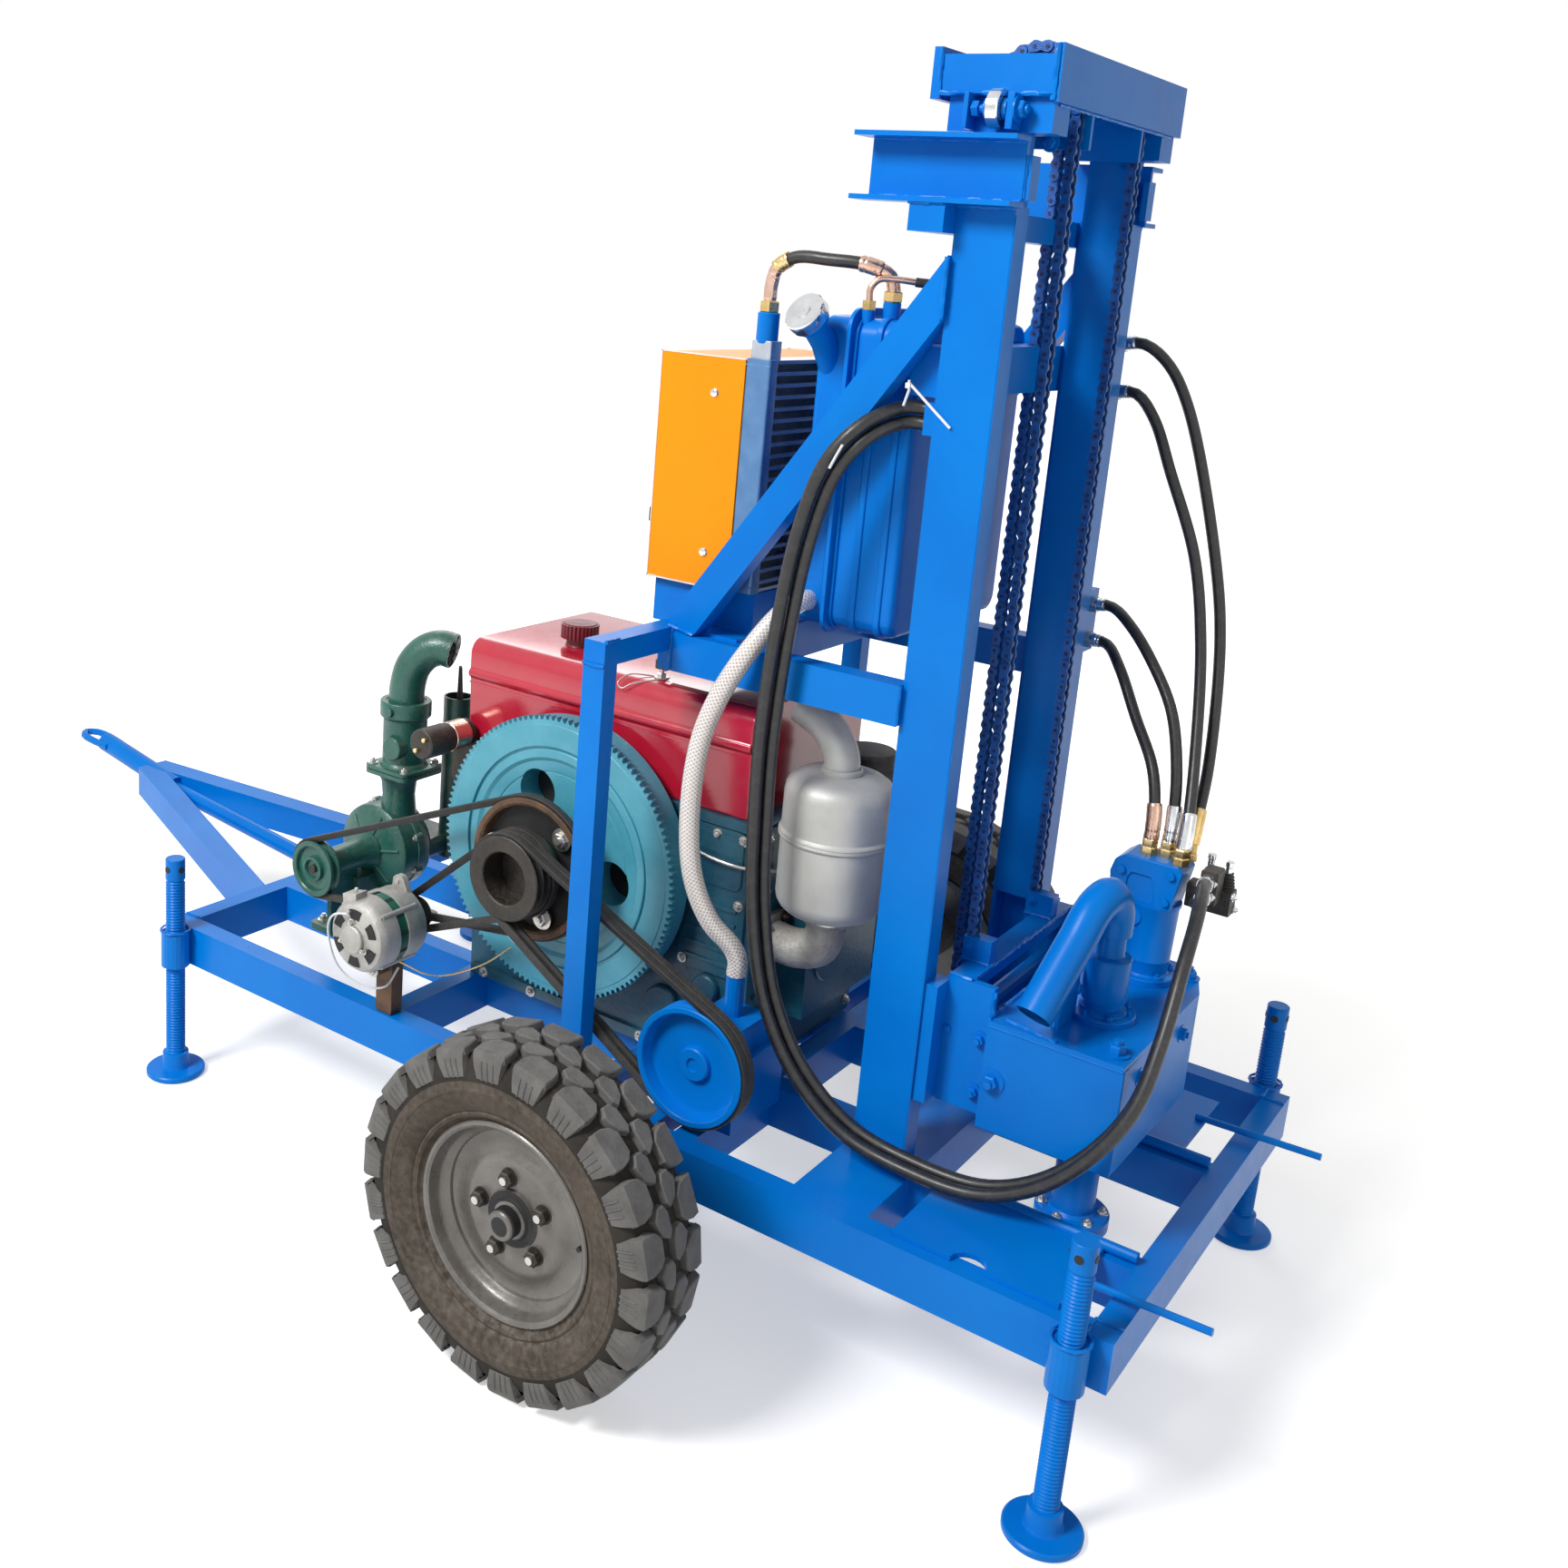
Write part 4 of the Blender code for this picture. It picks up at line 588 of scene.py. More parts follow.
FAR_ROUTES = (
    ("hose_far_a", [
        (0.5603, 0.276, 1.62), (0.6, 0.276, 1.624), (0.645, 0.277, 1.596), (0.689, 0.28, 1.527),
        (0.772, 0.28, 1.281), (0.803, 0.268, 1.15), (0.833, 0.205, 0.96), (0.843, 0.15, 0.875),
        (0.843, 0.133, 0.8163)]),
    ("hose_far_b", [
        (0.5603, 0.276, 1.54), (0.6, 0.272, 1.542), (0.64, 0.262, 1.505), (0.684, 0.25, 1.423),
        (0.745, 0.248, 1.29), (0.782, 0.232, 1.15), (0.82, 0.165, 0.98), (0.84, 0.112, 0.875),
        (0.841, 0.098, 0.8163)]),
    ("hose_far_c", [
        (0.5753, 0.272, 1.175), (0.612, 0.266, 1.178), (0.66, 0.235, 1.158), (0.717, 0.2, 1.111),
        (0.77, 0.168, 1.045), (0.8, 0.142, 0.96), (0.812, 0.126, 0.88), (0.812, 0.122, 0.8163)]),
    ("hose_far_d", [
        (0.5753, 0.272, 1.112), (0.612, 0.264, 1.113), (0.655, 0.225, 1.085), (0.707, 0.185, 1.018),
        (0.762, 0.14, 0.95), (0.783, 0.116, 0.885), (0.785, 0.111, 0.8163)]))
far_lines = []
for name, pts in FAR_ROUTES:
    far_lines.append((name, hose_path(pts, 0.014)))
    follow_head(cord(name, far_lines[-1][1], 0.0095, TAPED, 20))

# Wheels and tyres: axis, and pitches of the tread round a tyre
WX, WZ = 0.171, 0.284
PITCHES = 22
STEP = 2 * pi / PITCHES


def tyre_point(mid, p, y, r):
    return (WX + r * cos(p * STEP), mid + y, WZ + r * sin(p * STEP))


def crown(y):
    return 0.2838 - 0.6 * max(0.0, abs(y) - 0.045) ** 1.4


def block(mid, poly, side, base=0.27):
    """One tread block: polygon of (pitch, y), with a chamfer round the top and drafted walls."""
    n = len(poly)
    cp = sum(p for p, y in poly) / n
    cy = sum(y for p, y in poly) / n
    rings = []
    for grow, r0 in ((-0.0022, None), (0.0, -0.002), (0.0022, "b")):
        ring = []
        for p, y in poly:
            dp, dy = (p - cp) * STEP * 0.28, y - cy
            d = hypot(dp, dy)
            k = (d + grow) / d
            q, yy = cp + (p - cp) * k, cy + dy * k
            r = base if r0 == "b" else crown(yy) + (r0 or 0.0)
            ring.append(tyre_point(mid, q, yy * side, r))
        rings.append(ring)
    v = rings[0] + rings[1] + rings[2]
    f = [tuple(range(n))]
    for k in range(2):
        f += [(k * n + i, k * n + (i + 1) % n, (k + 1) * n + (i + 1) % n, (k + 1) * n + i) for i in range(n)]
    return v, f


def side_lug(mid, p0, p1, side):
    """Buttress that runs from a shoulder block down the sidewall."""
    rows = [(0.28, 0.0668, 0.0), (0.27, 0.0722, 0.01), (0.256, 0.0738, 0.03), (0.2385, 0.0738, 0.07)]
    v = []
    for r, y, inset in rows:
        for p in (p0 + inset, p1 - inset):
            v.append(tyre_point(mid, p, y * side, r))
    for r, y, inset in rows:
        for p in (p0 + inset - 0.03, p1 - inset + 0.03):
            v.append(tyre_point(mid, p, (y - 0.01) * side, r - 0.006))
    f = []
    for k in range(3):
        a, b = 2 * k, 2 * k + 1
        f.append((a, b, b + 2, a + 2))
        f.append((a, a + 2, a + 10, a + 8))
        f.append((b, b + 8, b + 10, b + 2))
    f += [(0, 8, 9, 1), (6, 7, 15, 14)]
    return v, f


SHOULDER = [(0.05, 0.036), (0.18, 0.0262), (0.58, 0.0262), (0.72, 0.036), (0.78, 0.05), (0.77, 0.0675),
    (0.01, 0.0675), (0.0, 0.052)]
CENTRE = [(0.46, 0.0075), (0.56, 0.0015), (0.94, 0.0015), (1.08, 0.0085), (1.08, 0.023), (0.9, 0.0325),
    (0.78, 0.03), (0.58, 0.0222)]
for side, sy in SIDES:
    mid = sy * 0.7
    body = side + "_road_wheel"
    half = [(0.1535, 0.0495), (0.16, 0.0512), (0.166, 0.0515), (0.17, 0.0545), (0.1712, 0.059),
        (0.176, 0.0612), (0.18, 0.06), (0.1815, 0.0625), (0.19, 0.0665), (0.202, 0.071), (0.214, 0.073),
        (0.2145, 0.0738), (0.219, 0.0738), (0.2195, 0.073), (0.23, 0.0726), (0.242, 0.0705), (0.252, 0.067),
        (0.262, 0.061), (0.269, 0.054), (0.2708, 0.04), (0.2712, 0.0)]
    prof = [(r, mid - y) for r, y in half] + [(r, mid + y) for r, y in reversed(half[:-1])]
    make(side + "_carcass", [lathe("y", (WX, WZ), prof, 132, True)], TYRE, body, 40, (side + "_tyre",))
    blocks = []
    lugs = []
    for i in range(PITCHES):
        for s2 in (1, -1):
            off = i + (0.5 if s2 < 0 else 0.0)
            blocks.append(block(mid, [(p + off, y) for p, y in SHOULDER], s2))
            blocks.append(block(mid, [(p + off, y) for p, y in CENTRE], s2))
            lugs.append(side_lug(mid, off + 0.02, off + 0.76, s2))
    make(side + "_tread", blocks, TREAD, body, 25)
    make(side + "_buttress", lugs, TREAD, body, 25)
    ribs = []
    for i in range(PITCHES):
        for s2 in (1, -1):
            for dp in (0.24, 0.39, 0.54):
                p = i + (0.5 if s2 < 0 else 0.0) + dp
                ribs.append(sweep([tyre_point(mid, p, 0.0725 * s2, 0.266),
                    tyre_point(mid, p, 0.0742 * s2, 0.254), tyre_point(mid, p, 0.0738 * s2, 0.237)], 0.0016,
                    6))
    make(side + "_shoulder_ribs", ribs, TREAD, body, 40)
    # Dark band on the carcass under the tread blocks: painted shade in the grooves.
    band = [(0.233, 0.0727), (0.2425, 0.0709), (0.2524, 0.0674), (0.2624, 0.0614), (0.2694, 0.0544),
        (0.2712, 0.0402), (0.2716, 0.0)]
    shape = [(r, mid - y) for r, y in band] + [(r, mid + y) for r, y in reversed(band[:-1])]
    shape += [(r - 0.002, mid + y) for r, y in band[:-1]] + [(r - 0.002, mid - y) for r, y in reversed(band)]
    make(side + "_groove_shade", [lathe("y", (WX, WZ), shape, 96, True)], GROOVE, body, 40)

    def at(o):
        return mid + sy * o
    prof = [(0.0, 0.061), (0.022, 0.061), (0.024, 0.0585), (0.0245, 0.04), (0.03, 0.0385), (0.0335, 0.0345),
        (0.046, 0.0335), (0.0475, 0.029), (0.086, 0.0285), (0.093, 0.027), (0.101, 0.0215), (0.109, 0.0175),
        (0.12, 0.016), (0.129, 0.0165), (0.133, 0.018), (0.1345, 0.023), (0.139, 0.027), (0.144, 0.03),
        (0.147, 0.034), (0.149, 0.04), (0.15, 0.047), (0.152, 0.053), (0.156, 0.056), (0.1605, 0.0562),
        (0.1625, 0.054), (0.1625, 0.0505), (0.16, 0.049), (0.154, 0.049), (0.153, 0.03), (0.138, 0.018),
        (0.138, -0.018), (0.153, -0.03), (0.153, -0.051), (0.1625, -0.052), (0.1625, -0.055),
        (0.152, -0.055), (0.133, -0.022), (0.133, 0.008), (0.095, 0.02), (0.042, 0.02), (0.04, -0.06),
        (0.0, -0.06)]
    make(side + "_rim", [lathe("y", (WX, WZ), [(r, at(o)) for r, o in prof], 112)], RIM, body, 30,
        (side + "_wheel",))
    studs = []
    nuts = []
    for c in circle((WX, WZ), 0.065, 5, 100):
        nuts.append(cyl("y", c, 0.0155, *sorted((at(0.028), at(0.03))), 24))
        nuts.append(turned("y", c, [(0.0135, at(0.029)), (0.0135, at(0.04)), (0.0115, at(0.042))], 6))
        studs.append(cyl("y", c, 0.0065, *sorted((at(0.041), at(0.0455))), 16))
    make(side + "_wheel_nuts", nuts, DARK, body)
    make(side + "_wheel_studs", studs, STEEL, body)
    make(side + "_hub_cap",
        [lathe("y", (WX, WZ), [(0.0, at(0.0618)), (0.015, at(0.0612)), (0.0225, at(0.059)),
        (0.0252, at(0.0545)), (0.0252, at(0.039)), (0.033, at(0.038)), (0.035, at(0.035)),
        (0.0455, at(0.034))], 64)], BLACK_AND_HOLLOW_SHADE, body)
    make(side + "_valve", [cyl("y", (WX + 0.1415, WZ + 0.02), 0.004, *sorted((at(0.024), at(0.05))), 14)],
        BLACK_AND_HOLLOW_SHADE, body)

# Flywheel with its ring gear
CX, CZ = -0.15, 0.645
C = (CX, CZ)
TEETH = 126
gear = []
for i in range(TEETH):
    a = 2 * pi / TEETH
    for frac, r in ((0.0, 0.2545), (0.22, 0.2548), (0.4, 0.2618), (0.62, 0.2618), (0.8, 0.2548)):
        gear.append((CX + r * cos((i + frac) * a), CZ + r * sin((i + frac) * a)))
fly = [(0.05, -0.2165), (0.253, -0.2165), (0.2552, -0.219), (0.2552, -0.26), (0.2545, -0.261),
    (0.2475, -0.2612), (0.247, -0.274), (0.2455, -0.2752), (0.207, -0.2752), (0.206, -0.2745),
    (0.2052, -0.27), (0.2015, -0.2697), (0.2008, -0.273), (0.199, -0.2742), (0.186, -0.2742),
    (0.179, -0.27), (0.16, -0.268), (0.159, -0.2664), (0.156, -0.2664), (0.155, -0.2678), (0.07, -0.267),
    (0.05, -0.267)]
disc = make("flywheel_disc", [lathe("y", C, fly, 144, True)], FLY, "crank", 24, ("flywheel",))
cutters = []
for k, c in enumerate(circle(C, 0.126, 3, 114)):
    cutters.append(make("hole_%d" % k, [cyl("y", c, 0.04, -0.3, -0.2, 48)], FLY, "crank"))
    cut = disc.modifiers.new("hole", "BOOLEAN")
    cut.operation = "DIFFERENCE"
    cut.solver = "EXACT"
    cut.object = cutters[k]
for o in [disc] + cutters:
    clean(o.data, 1e-6)
dg = bpy.context.evaluated_depsgraph_get()
dg.update()
cut_mesh = bpy.data.meshes.new_from_object(disc.evaluated_get(dg))
disc.modifiers.clear()
disc.data = cut_mesh
for face in cut_mesh.polygons:
    face.use_smooth = False
for o in cutters:
    bpy.data.objects.remove(o)
make("flywheel_hub", [cyl("y", C, 0.0505, -0.2668, -0.2165, 48)], FLY, "crank")
# Black ring on the back face of the flywheel, closing its holes: painted shade seen through them.
make("flywheel_back_shade",
    [lathe("y", C, [(0.07, -0.2162), (0.2, -0.2162), (0.2, -0.2175), (0.07, -0.2175)], 72, True)], BLACK_AND_HOLLOW_SHADE,
    "crank")
count = len(gear)
inner = []
for x, z in gear:
    d = hypot(x - CX, z - CZ)
    inner.append((CX + (x - CX) * 0.2462 / d, CZ + (z - CZ) * 0.2462 / d))
ring_v = [(x, y, z) for y in (-0.274, -0.2605) for loop in (gear, inner) for x, z in loop]
ring_f = []
for i in range(count):
    j = (i + 1) % count
    ring_f += [(i, j, count + j, count + i), (2 * count + i, 3 * count + i, 3 * count + j, 2 * count + j),
        (i, 2 * count + i, 2 * count + j, j), (count + i, count + j, 3 * count + j, 3 * count + i)]
make("ring_gear", [(ring_v, ring_f)], FLY, "crank", 20)

# Crank pulleys: thin cast ring and thick drum
THIN_R, THIN_Y, THICK_R, PUMP_R, ALT_R, HYD_R = 0.1286, -0.335, 0.0764, 0.0564, 0.032, 0.102
ALT_Y, MAIN_Y, GROOVE = -0.3655, (-0.3835, -0.4005), 0.009


def groove(r, y, half=0.0075):
    return [(r, y + half), (r - GROOVE, y + 0.003), (r - GROOVE, y - 0.003), (r, y - half)]


thin = [(0.11, -0.319), (0.115, -0.3215), (0.116, -0.324), (0.127, -0.324),
    (THIN_R, -0.325)] + groove(THIN_R, THIN_Y) + [(THIN_R, -0.3455), (0.127, -0.3465), (0.119, -0.3465),
    (0.115, -0.344), (0.112, -0.329)]
make("thin_pulley", [lathe("y", C, thin, 96, True)], RUST, "crank", 30, ("crank_pulleys",))
# The web recessed inside the thin ring is black: painted shade of the recess.
web = [(0.06, -0.319), (0.112, -0.319), (0.113, -0.3262), (0.095, -0.325), (0.08, -0.3235), (0.062, -0.3262)]
make("pulley_web_shade", [lathe("y", C, web, 96, True)], BLACK_AND_HOLLOW_SHADE, "crank")
make("pulley_mark", [lathe("y", C, [(0.0625, -0.335), (0.064, -0.335), (0.065, -0.349), (0.0635, -0.3492)],
    96, True)], GREENTAPE, "crank")
drum = [(0.0, -0.2665), (0.06, -0.2665), (0.062, -0.3185), (0.06, -0.35), (0.0745, -0.353),
    (THICK_R, -0.3545)] + groove(THICK_R, ALT_Y) + groove(THICK_R, MAIN_Y[0]) + groove(THICK_R,
    MAIN_Y[1]) + [(THICK_R, -0.41), (0.0745, -0.4115), (0.05, -0.4115), (0.0475, -0.4095), (0.047, -0.36),
    (0.0, -0.36)]
make("thick_pulley", [lathe("y", C, drum, 96)], DARK, "crank")
spokes = []
heads = []
for c in circle(C, 0.093, 3, 48):
    spokes.append(cyl("y", c, 0.021, -0.333, -0.3255, 28))
    heads += hexbolt("y", c, -0.333, -1, 0.0125, 0.0085)
make("pulley_bosses", spokes, DARK, "crank")
make("pulley_bolts", heads, STEEL, "crank")


def belt(name, c1, r1, c2, r2, lines):
    d = hypot(c2[0] - c1[0], c2[1] - c1[1])
    base = atan2(c2[1] - c1[1], c2[0] - c1[0])
    off = acos((r1 - r2) / d)
    rings = ([], [], [], [])
    steps = 44
    for c, r, a0, a1 in ((c1, r1, base + off, base + 2 * pi - off), (c2, r2, base - off, base + off)):
        k = 1.0 / cos(abs(a1 - a0) / (2 * steps))
        for i in range(steps + 1):
            a = a0 + (a1 - a0) * i / steps
            for ring, dr in zip(rings, (-GROOVE + 0.0012, 0.0006, 0.004, 0.005)):
                ring.append((c[0] + (r + dr) * k * cos(a), c[1] + (r + dr) * k * sin(a)))
    inner, low, mid, outer = rings
    shapes = []
    n = len(outer)
    for y in lines:
        section = [(outer, y - 0.0065), (mid, y - 0.0078), (low, y - 0.0072), (inner, y - 0.0026),
            (inner, y + 0.0026), (low, y + 0.0072), (mid, y + 0.0078), (outer, y + 0.0065)]
        v = []
        f = []
        for ring, yy in section:
            v.extend((p[0], yy, p[1]) for p in ring)
        m = len(section)
        for k in range(m):
            for i in range(n):
                j = (i + 1) % n
                f.append((k * n + i, k * n + j, ((k + 1) % m) * n + j, ((k + 1) % m) * n + i))
        shapes.append((v, f))
    make(name + "_run", shapes, BELT, "chassis", 35, (name,))


# Axes of the water pump and the alternator
PX, PZ, ALT_X, ALT_Z = -0.695, 0.486, -0.397, 0.49
PUMP, ALT = (PX, PZ), (ALT_X, ALT_Z)
belt("pump_belt", C, THIN_R, PUMP, PUMP_R, (THIN_Y,))
belt("alternator_belt", C, THICK_R, ALT, ALT_R, (ALT_Y,))
belt("main_belt", C, THICK_R, HYD, HYD_R, MAIN_Y)
make("pump_sheave", [lathe("y", PUMP,
    [(0.0, -0.3205), (0.048, -0.3205), (0.055, -0.3225), (PUMP_R, -0.3245)] + groove(PUMP_R, THIN_Y)
    + [(PUMP_R, -0.346), (0.055, -0.3485), (0.047, -0.349), (0.045, -0.347), (0.0435, -0.34),
    (0.026, -0.34), (0.0245, -0.348), (0.02, -0.349), (0.0185, -0.347), (0.0175, -0.342), (0.0, -0.342)],
    80)], GREEN, "pump_rotor", 30, ("pump_pulley",))
make("pump_shaft_end", [cyl("y", PUMP, 0.0085, -0.3485, -0.34, 24, 0.001)], DARK, "pump_rotor")
make("alternator_sheave",
    [lathe("y", ALT, [(0.0, -0.3915), (0.025, -0.3915), (0.03, -0.38), (ALT_R, ALT_Y - 0.009)]
    + list(reversed(groove(ALT_R, ALT_Y))) + [(ALT_R, -0.356), (0.03, -0.3532), (0.0, -0.3532)], 64)], DARK,
    "alternator_rotor", 30, ("alternator_pulley",))
make("hydraulic_sheave",
    [lathe("y", HYD, [(0.0, -0.3642), (0.03, -0.3642), (0.03, -0.37), (0.1, -0.37), (HYD_R, -0.3715)]
    + groove(HYD_R, MAIN_Y[0]) + groove(HYD_R, MAIN_Y[1])
    + [(HYD_R, -0.4105), (0.1005, -0.412), (0.093, -0.412), (0.091, -0.4105), (0.086, -0.39),
    (0.08, -0.387), (0.03, -0.388), (0.0285, -0.396), (0.0265, -0.398), (0.012, -0.398), (0.011, -0.394),
    (0.0, -0.394)], 96)], BLUE, "hydraulic_pump_rotor", 30, ("hyd_pulley",))

# Sizes of the CAD model: rail top, chain runs, shaft of the chain wheels and pitch of the chain
RAIL_TOP = 0.316
FRONT_X = 0.472
CHAIN_X, CHAIN_Y, SHAFT_X, SHAFT_Z, PITCH = 0.598, 0.1265, 0.535, 1.975, 0.01905


def tube(points, r, r_in, depth, sides=32):
    """Round pipe whose last end is open down to a depth of some rings."""
    v, f = sweep(points, r, sides)
    f.pop()
    n = len(points)
    inner = sweep(points[n - depth:], r_in, sides)
    k = len(v)
    v = v + inner[0]
    f = f + [tuple(i + k for i in reversed(q)) for q in inner[1][:-1]]
    a, b = (n - 1) * sides, k + (depth - 1) * sides
    f += [(a + i, a + (i + 1) % sides, b + (i + 1) % sides, b + i) for i in range(sides)]
    return v, f


def round_box(x0, x1, y0, y1, z0, z1, r, axis="z", n=5):
    """Box with four edges along one axis rounded."""
    lo, hi = {"x": ((y0, z0), (y1, z1)), "y": ((x0, z0), (x1, z1)), "z": ((x0, y0), (x1, y1))}[axis]
    ends = {"x": (x0, x1), "y": (y0, y1), "z": (z0, z1)}[axis]
    poly = []
    for cx, cy, a0 in ((hi[0] - r, hi[1] - r, 0), (lo[0] + r, hi[1] - r, 90), (lo[0] + r, lo[1] + r, 180),
        (hi[0] - r, lo[1] + r, 270)):
        poly += [(cx + r * cos(radians(a0 + 90 * i / n)), cy + r * sin(radians(a0 + 90 * i / n)))
            for i in range(n + 1)]
    return prism(poly, axis, *ends)


# Roller chains: figure-of-eight plates on pins, four hanging runs and two arcs over the chain wheels
def link(x, y, z, along, inner):
    """One link: two plates whose pins lie half a pitch either side of (x, z), along an angle."""
    s, c = sin(along), cos(along)
    outline = []
    for end in (1, -1):
        for i in range(7):
            a = radians(-18 + 36 * i) if end > 0 else radians(162 + 36 * i)
            outline.append((0.0083 * cos(a), end * PITCH / 2 + 0.0083 * sin(a)))
        outline.append((-0.0056 * end, 0.0))
    poly = [(x + p * c - q * s, z + p * s + q * c) for p, q in outline]
    g = 0.0057 if inner else 0.0083
    return [prism(poly, "y", y - g - 0.0023, y - g), prism(poly, "y", y + g, y + g + 0.0023)]


def pin(x, y, z):
    return [cyl("y", (x, z), 0.0062, y - 0.0057, y + 0.0057, 12),
        cyl("y", (x, z), 0.0031, y - 0.0114, y + 0.0114, 8)]


def run(x, y, z0, z1):
    count = int((z1 - z0) / PITCH)
    first = (z0 + z1 - count * PITCH) / 2
    plates = []
    pins = []
    for k in range(count):
        plates += link(x, y, first + (k + 0.5) * PITCH, 0.0, k % 2)
        pins += pin(x, y, first + k * PITCH)
    return plates, pins + pin(x, y, first + count * PITCH)


for side, sy in SIDES:
    y = sy * CHAIN_Y
    plates, pins = run(CHAIN_X, y, 0.694, SHAFT_Z)
    for o in (make("rear_plates_" + side, plates, CHAIN, "inner_mast", 40, ("chain_rear_" + side,)),
        make("rear_pins_" + side, pins, ROLLER, "inner_mast", 40)):
        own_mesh(o)
    plates, pins = run(FRONT_X, y, 0.349, SHAFT_Z)
    for o in (make("front_plates_" + side, plates, CHAIN, "chassis", 40, ("chain_front_" + side,)),
        make("front_pins_" + side, pins, ROLLER, "chassis", 40)):
        o.parent = None
        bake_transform(o)
    plates = []
    pins = []
    for k in range(10):
        a = radians(9 + 18 * k)
        c = (SHAFT_X + 0.063 * cos(a), SHAFT_Z + 0.063 * sin(a))
        pins += pin(c[0], y, c[1])
        a += radians(9)
        plates += link(SHAFT_X + 0.063 * cos(a), y, SHAFT_Z + 0.063 * sin(a), a, k % 2)
    make("wheel_chain_" + side, plates, CHAIN, "inner_mast", 40)
    make("wheel_pins_" + side, pins, ROLLER, "inner_mast", 40)
    teeth = []
    for k in range(20):
        for frac, r in ((0.0, 0.0562), (0.22, 0.058), (0.38, 0.0668), (0.62, 0.0668), (0.78, 0.058)):
            a = radians(18 * (k + frac) + 9)
            teeth.append((SHAFT_X + r * cos(a), SHAFT_Z + r * sin(a)))
    make("chain_wheel_" + side,
        [prism(teeth, "y", y - 0.0045, y + 0.0045),
        cyl("y", (SHAFT_X, SHAFT_Z), 0.028, y - 0.018, y + 0.018, 40, 0.002)], CHAIN, "inner_mast", 30,
        ("sprockets",) if sy < 0 else ())
make("wheel_shaft", [cyl("y", (SHAFT_X, SHAFT_Z), 0.0145, -0.234, 0.234, 32, 0.0015)], BLUE, "inner_mast")
for side, sy in SIDES:
    y = sy * CHAIN_Y
    lug = [cyl("y", (CHAIN_X, 0.676), 0.0055, y - 0.0185, y + 0.0185, 16, 0.001)]
    make("chain_lug_" + side, lug + hexbolt("y", (CHAIN_X, 0.676), y - 0.0135, -1, 0.006, 0.004), BLUE,
        "carriage")


# Screw jacks: rolled thread, head whose cross hole is drawn as dark discs (painted shade), and round foot
def screw(x, y, r, lo, hi, pitch=0.0062, n=36):
    rows = int((hi - lo) / pitch) * 2
    v = []
    f = []
    for k in range(rows + 3):
        rr = r if k % 2 else r - 0.0023
        for i in range(n):
            a = 2 * pi * i / n
            z = min(max(lo + (k - 2 + 2.0 * i / n) * pitch / 2, lo), hi)
            v.append((x + rr * cos(a), y + rr * sin(a), z))
    for k in range(rows):
        for i in range(n):
            if i < n - 1:
                f.append((k * n + i, k * n + i + 1, (k + 1) * n + i + 1, (k + 1) * n + i))
            else:
                f.append((k * n + i, (k + 2) * n, (k + 3) * n, (k + 1) * n + i))
    return v, f


JACK_X, JACK_Y = 0.9535, 0.472
JACKS = (("rear_near", 1, -1), ("rear_far", 1, 1), ("front_near", -1, -1), ("front_far", -1, 1))
for corner, sx, sy in JACKS:
    x, y = sx * JACK_X, sy * JACK_Y
    body = corner + "_jack"
    jack = "jack_" + corner
    make(jack + "_screw", [screw(x, y, 0.0193, 0.046, 0.428), cyl("z", (x, y), 0.0172, 0.02, 0.45, 36),
        lathe("z", (x, y), [(0.0172, 0.424), (0.0193, 0.427), (0.0193, 0.4685), (0.0178, 0.47),
        (0.0, 0.47)], 40), lathe("z", (x, y),
        [(0.0, 0.0), (0.0555, 0.0), (0.058, 0.0025), (0.058, 0.01), (0.0555, 0.0125), (0.03, 0.014),
        (0.0265, 0.02), (0.0255, 0.046), (0.0172, 0.048)], 64)], BLUE, body, 32, (jack,))
    # Dark cylinders through the head stand for its cross hole: painted shade, no hole is cut.
    make(jack + "_hole", [cyl("y", (x, 0.449), 0.0068, y - 0.01945, y + 0.01945, 20),
        cyl("x", (y, 0.449), 0.0068, x - 0.01945, x + 0.01945, 20)], BLACK_AND_HOLLOW_SHADE, body)

# Hydraulic motor: column, ported block with a shallow relief, bolts and hose fittings
MOTOR, SW = (0.806, 0.116), (0.806, -0.08)
BX0, BX1, BY0, BY1, BZ0, BZ1 = 0.736, 0.853, 0.078, 0.148, 0.738, 0.816
block_poly = [(BX0 + 0.03, BZ0), (BX1 - 0.012, BZ0), (BX1, BZ1 - 0.01), (BX1 - 0.008, BZ1),
    (BX0 + 0.022, BZ1), (BX0 + 0.006, BZ1 - 0.012), (BX0, BZ1 - 0.034), (BX0 + 0.004, BZ0 + 0.016)]
column = [(0.0, 0.6043), (0.05, 0.6043), (0.05, 0.6135), (0.0485, 0.615), (0.0385, 0.616), (0.036, 0.619),
    (0.0375, 0.64), (0.0378, 0.6405), (0.0378, 0.6425), (0.0376, 0.643), (0.0405, 0.732), (0.043, 0.736),
    (0.043, 0.742), (0.0, 0.742)]
relief = [(BX0 + 0.03, BZ0 + 0.04), (BX0 + 0.036, BZ0 + 0.05), (BX1 - 0.05, BZ0 + 0.05),
    (BX1 - 0.042, BZ0 + 0.04), (BX1 - 0.04, BZ0)]
face = [block_poly[7], block_poly[0]] + relief + block_poly[1:7]
make("motor_body", [prism(block_poly, "y", BY0 + 0.004, BY1), prism(face, "y", BY0, BY0 + 0.0041)], BLUE,
    "carriage", 28, ("hyd_motor",), bevel=0.0022)
make("motor_column", [lathe("z", MOTOR, column, 72),
    turned("y", (MOTOR[0] - 0.02, 0.716), [(0.013, BY0 - 0.004), (0.014, BY0 - 0.002), (0.014, BY0 + 0.02)],
    32)], BLUE, "carriage", 34)
heads = bolts("z", 0.614, 1, 0.0062, 0.006, *circle(MOTOR, 0.0435, 4, 45))
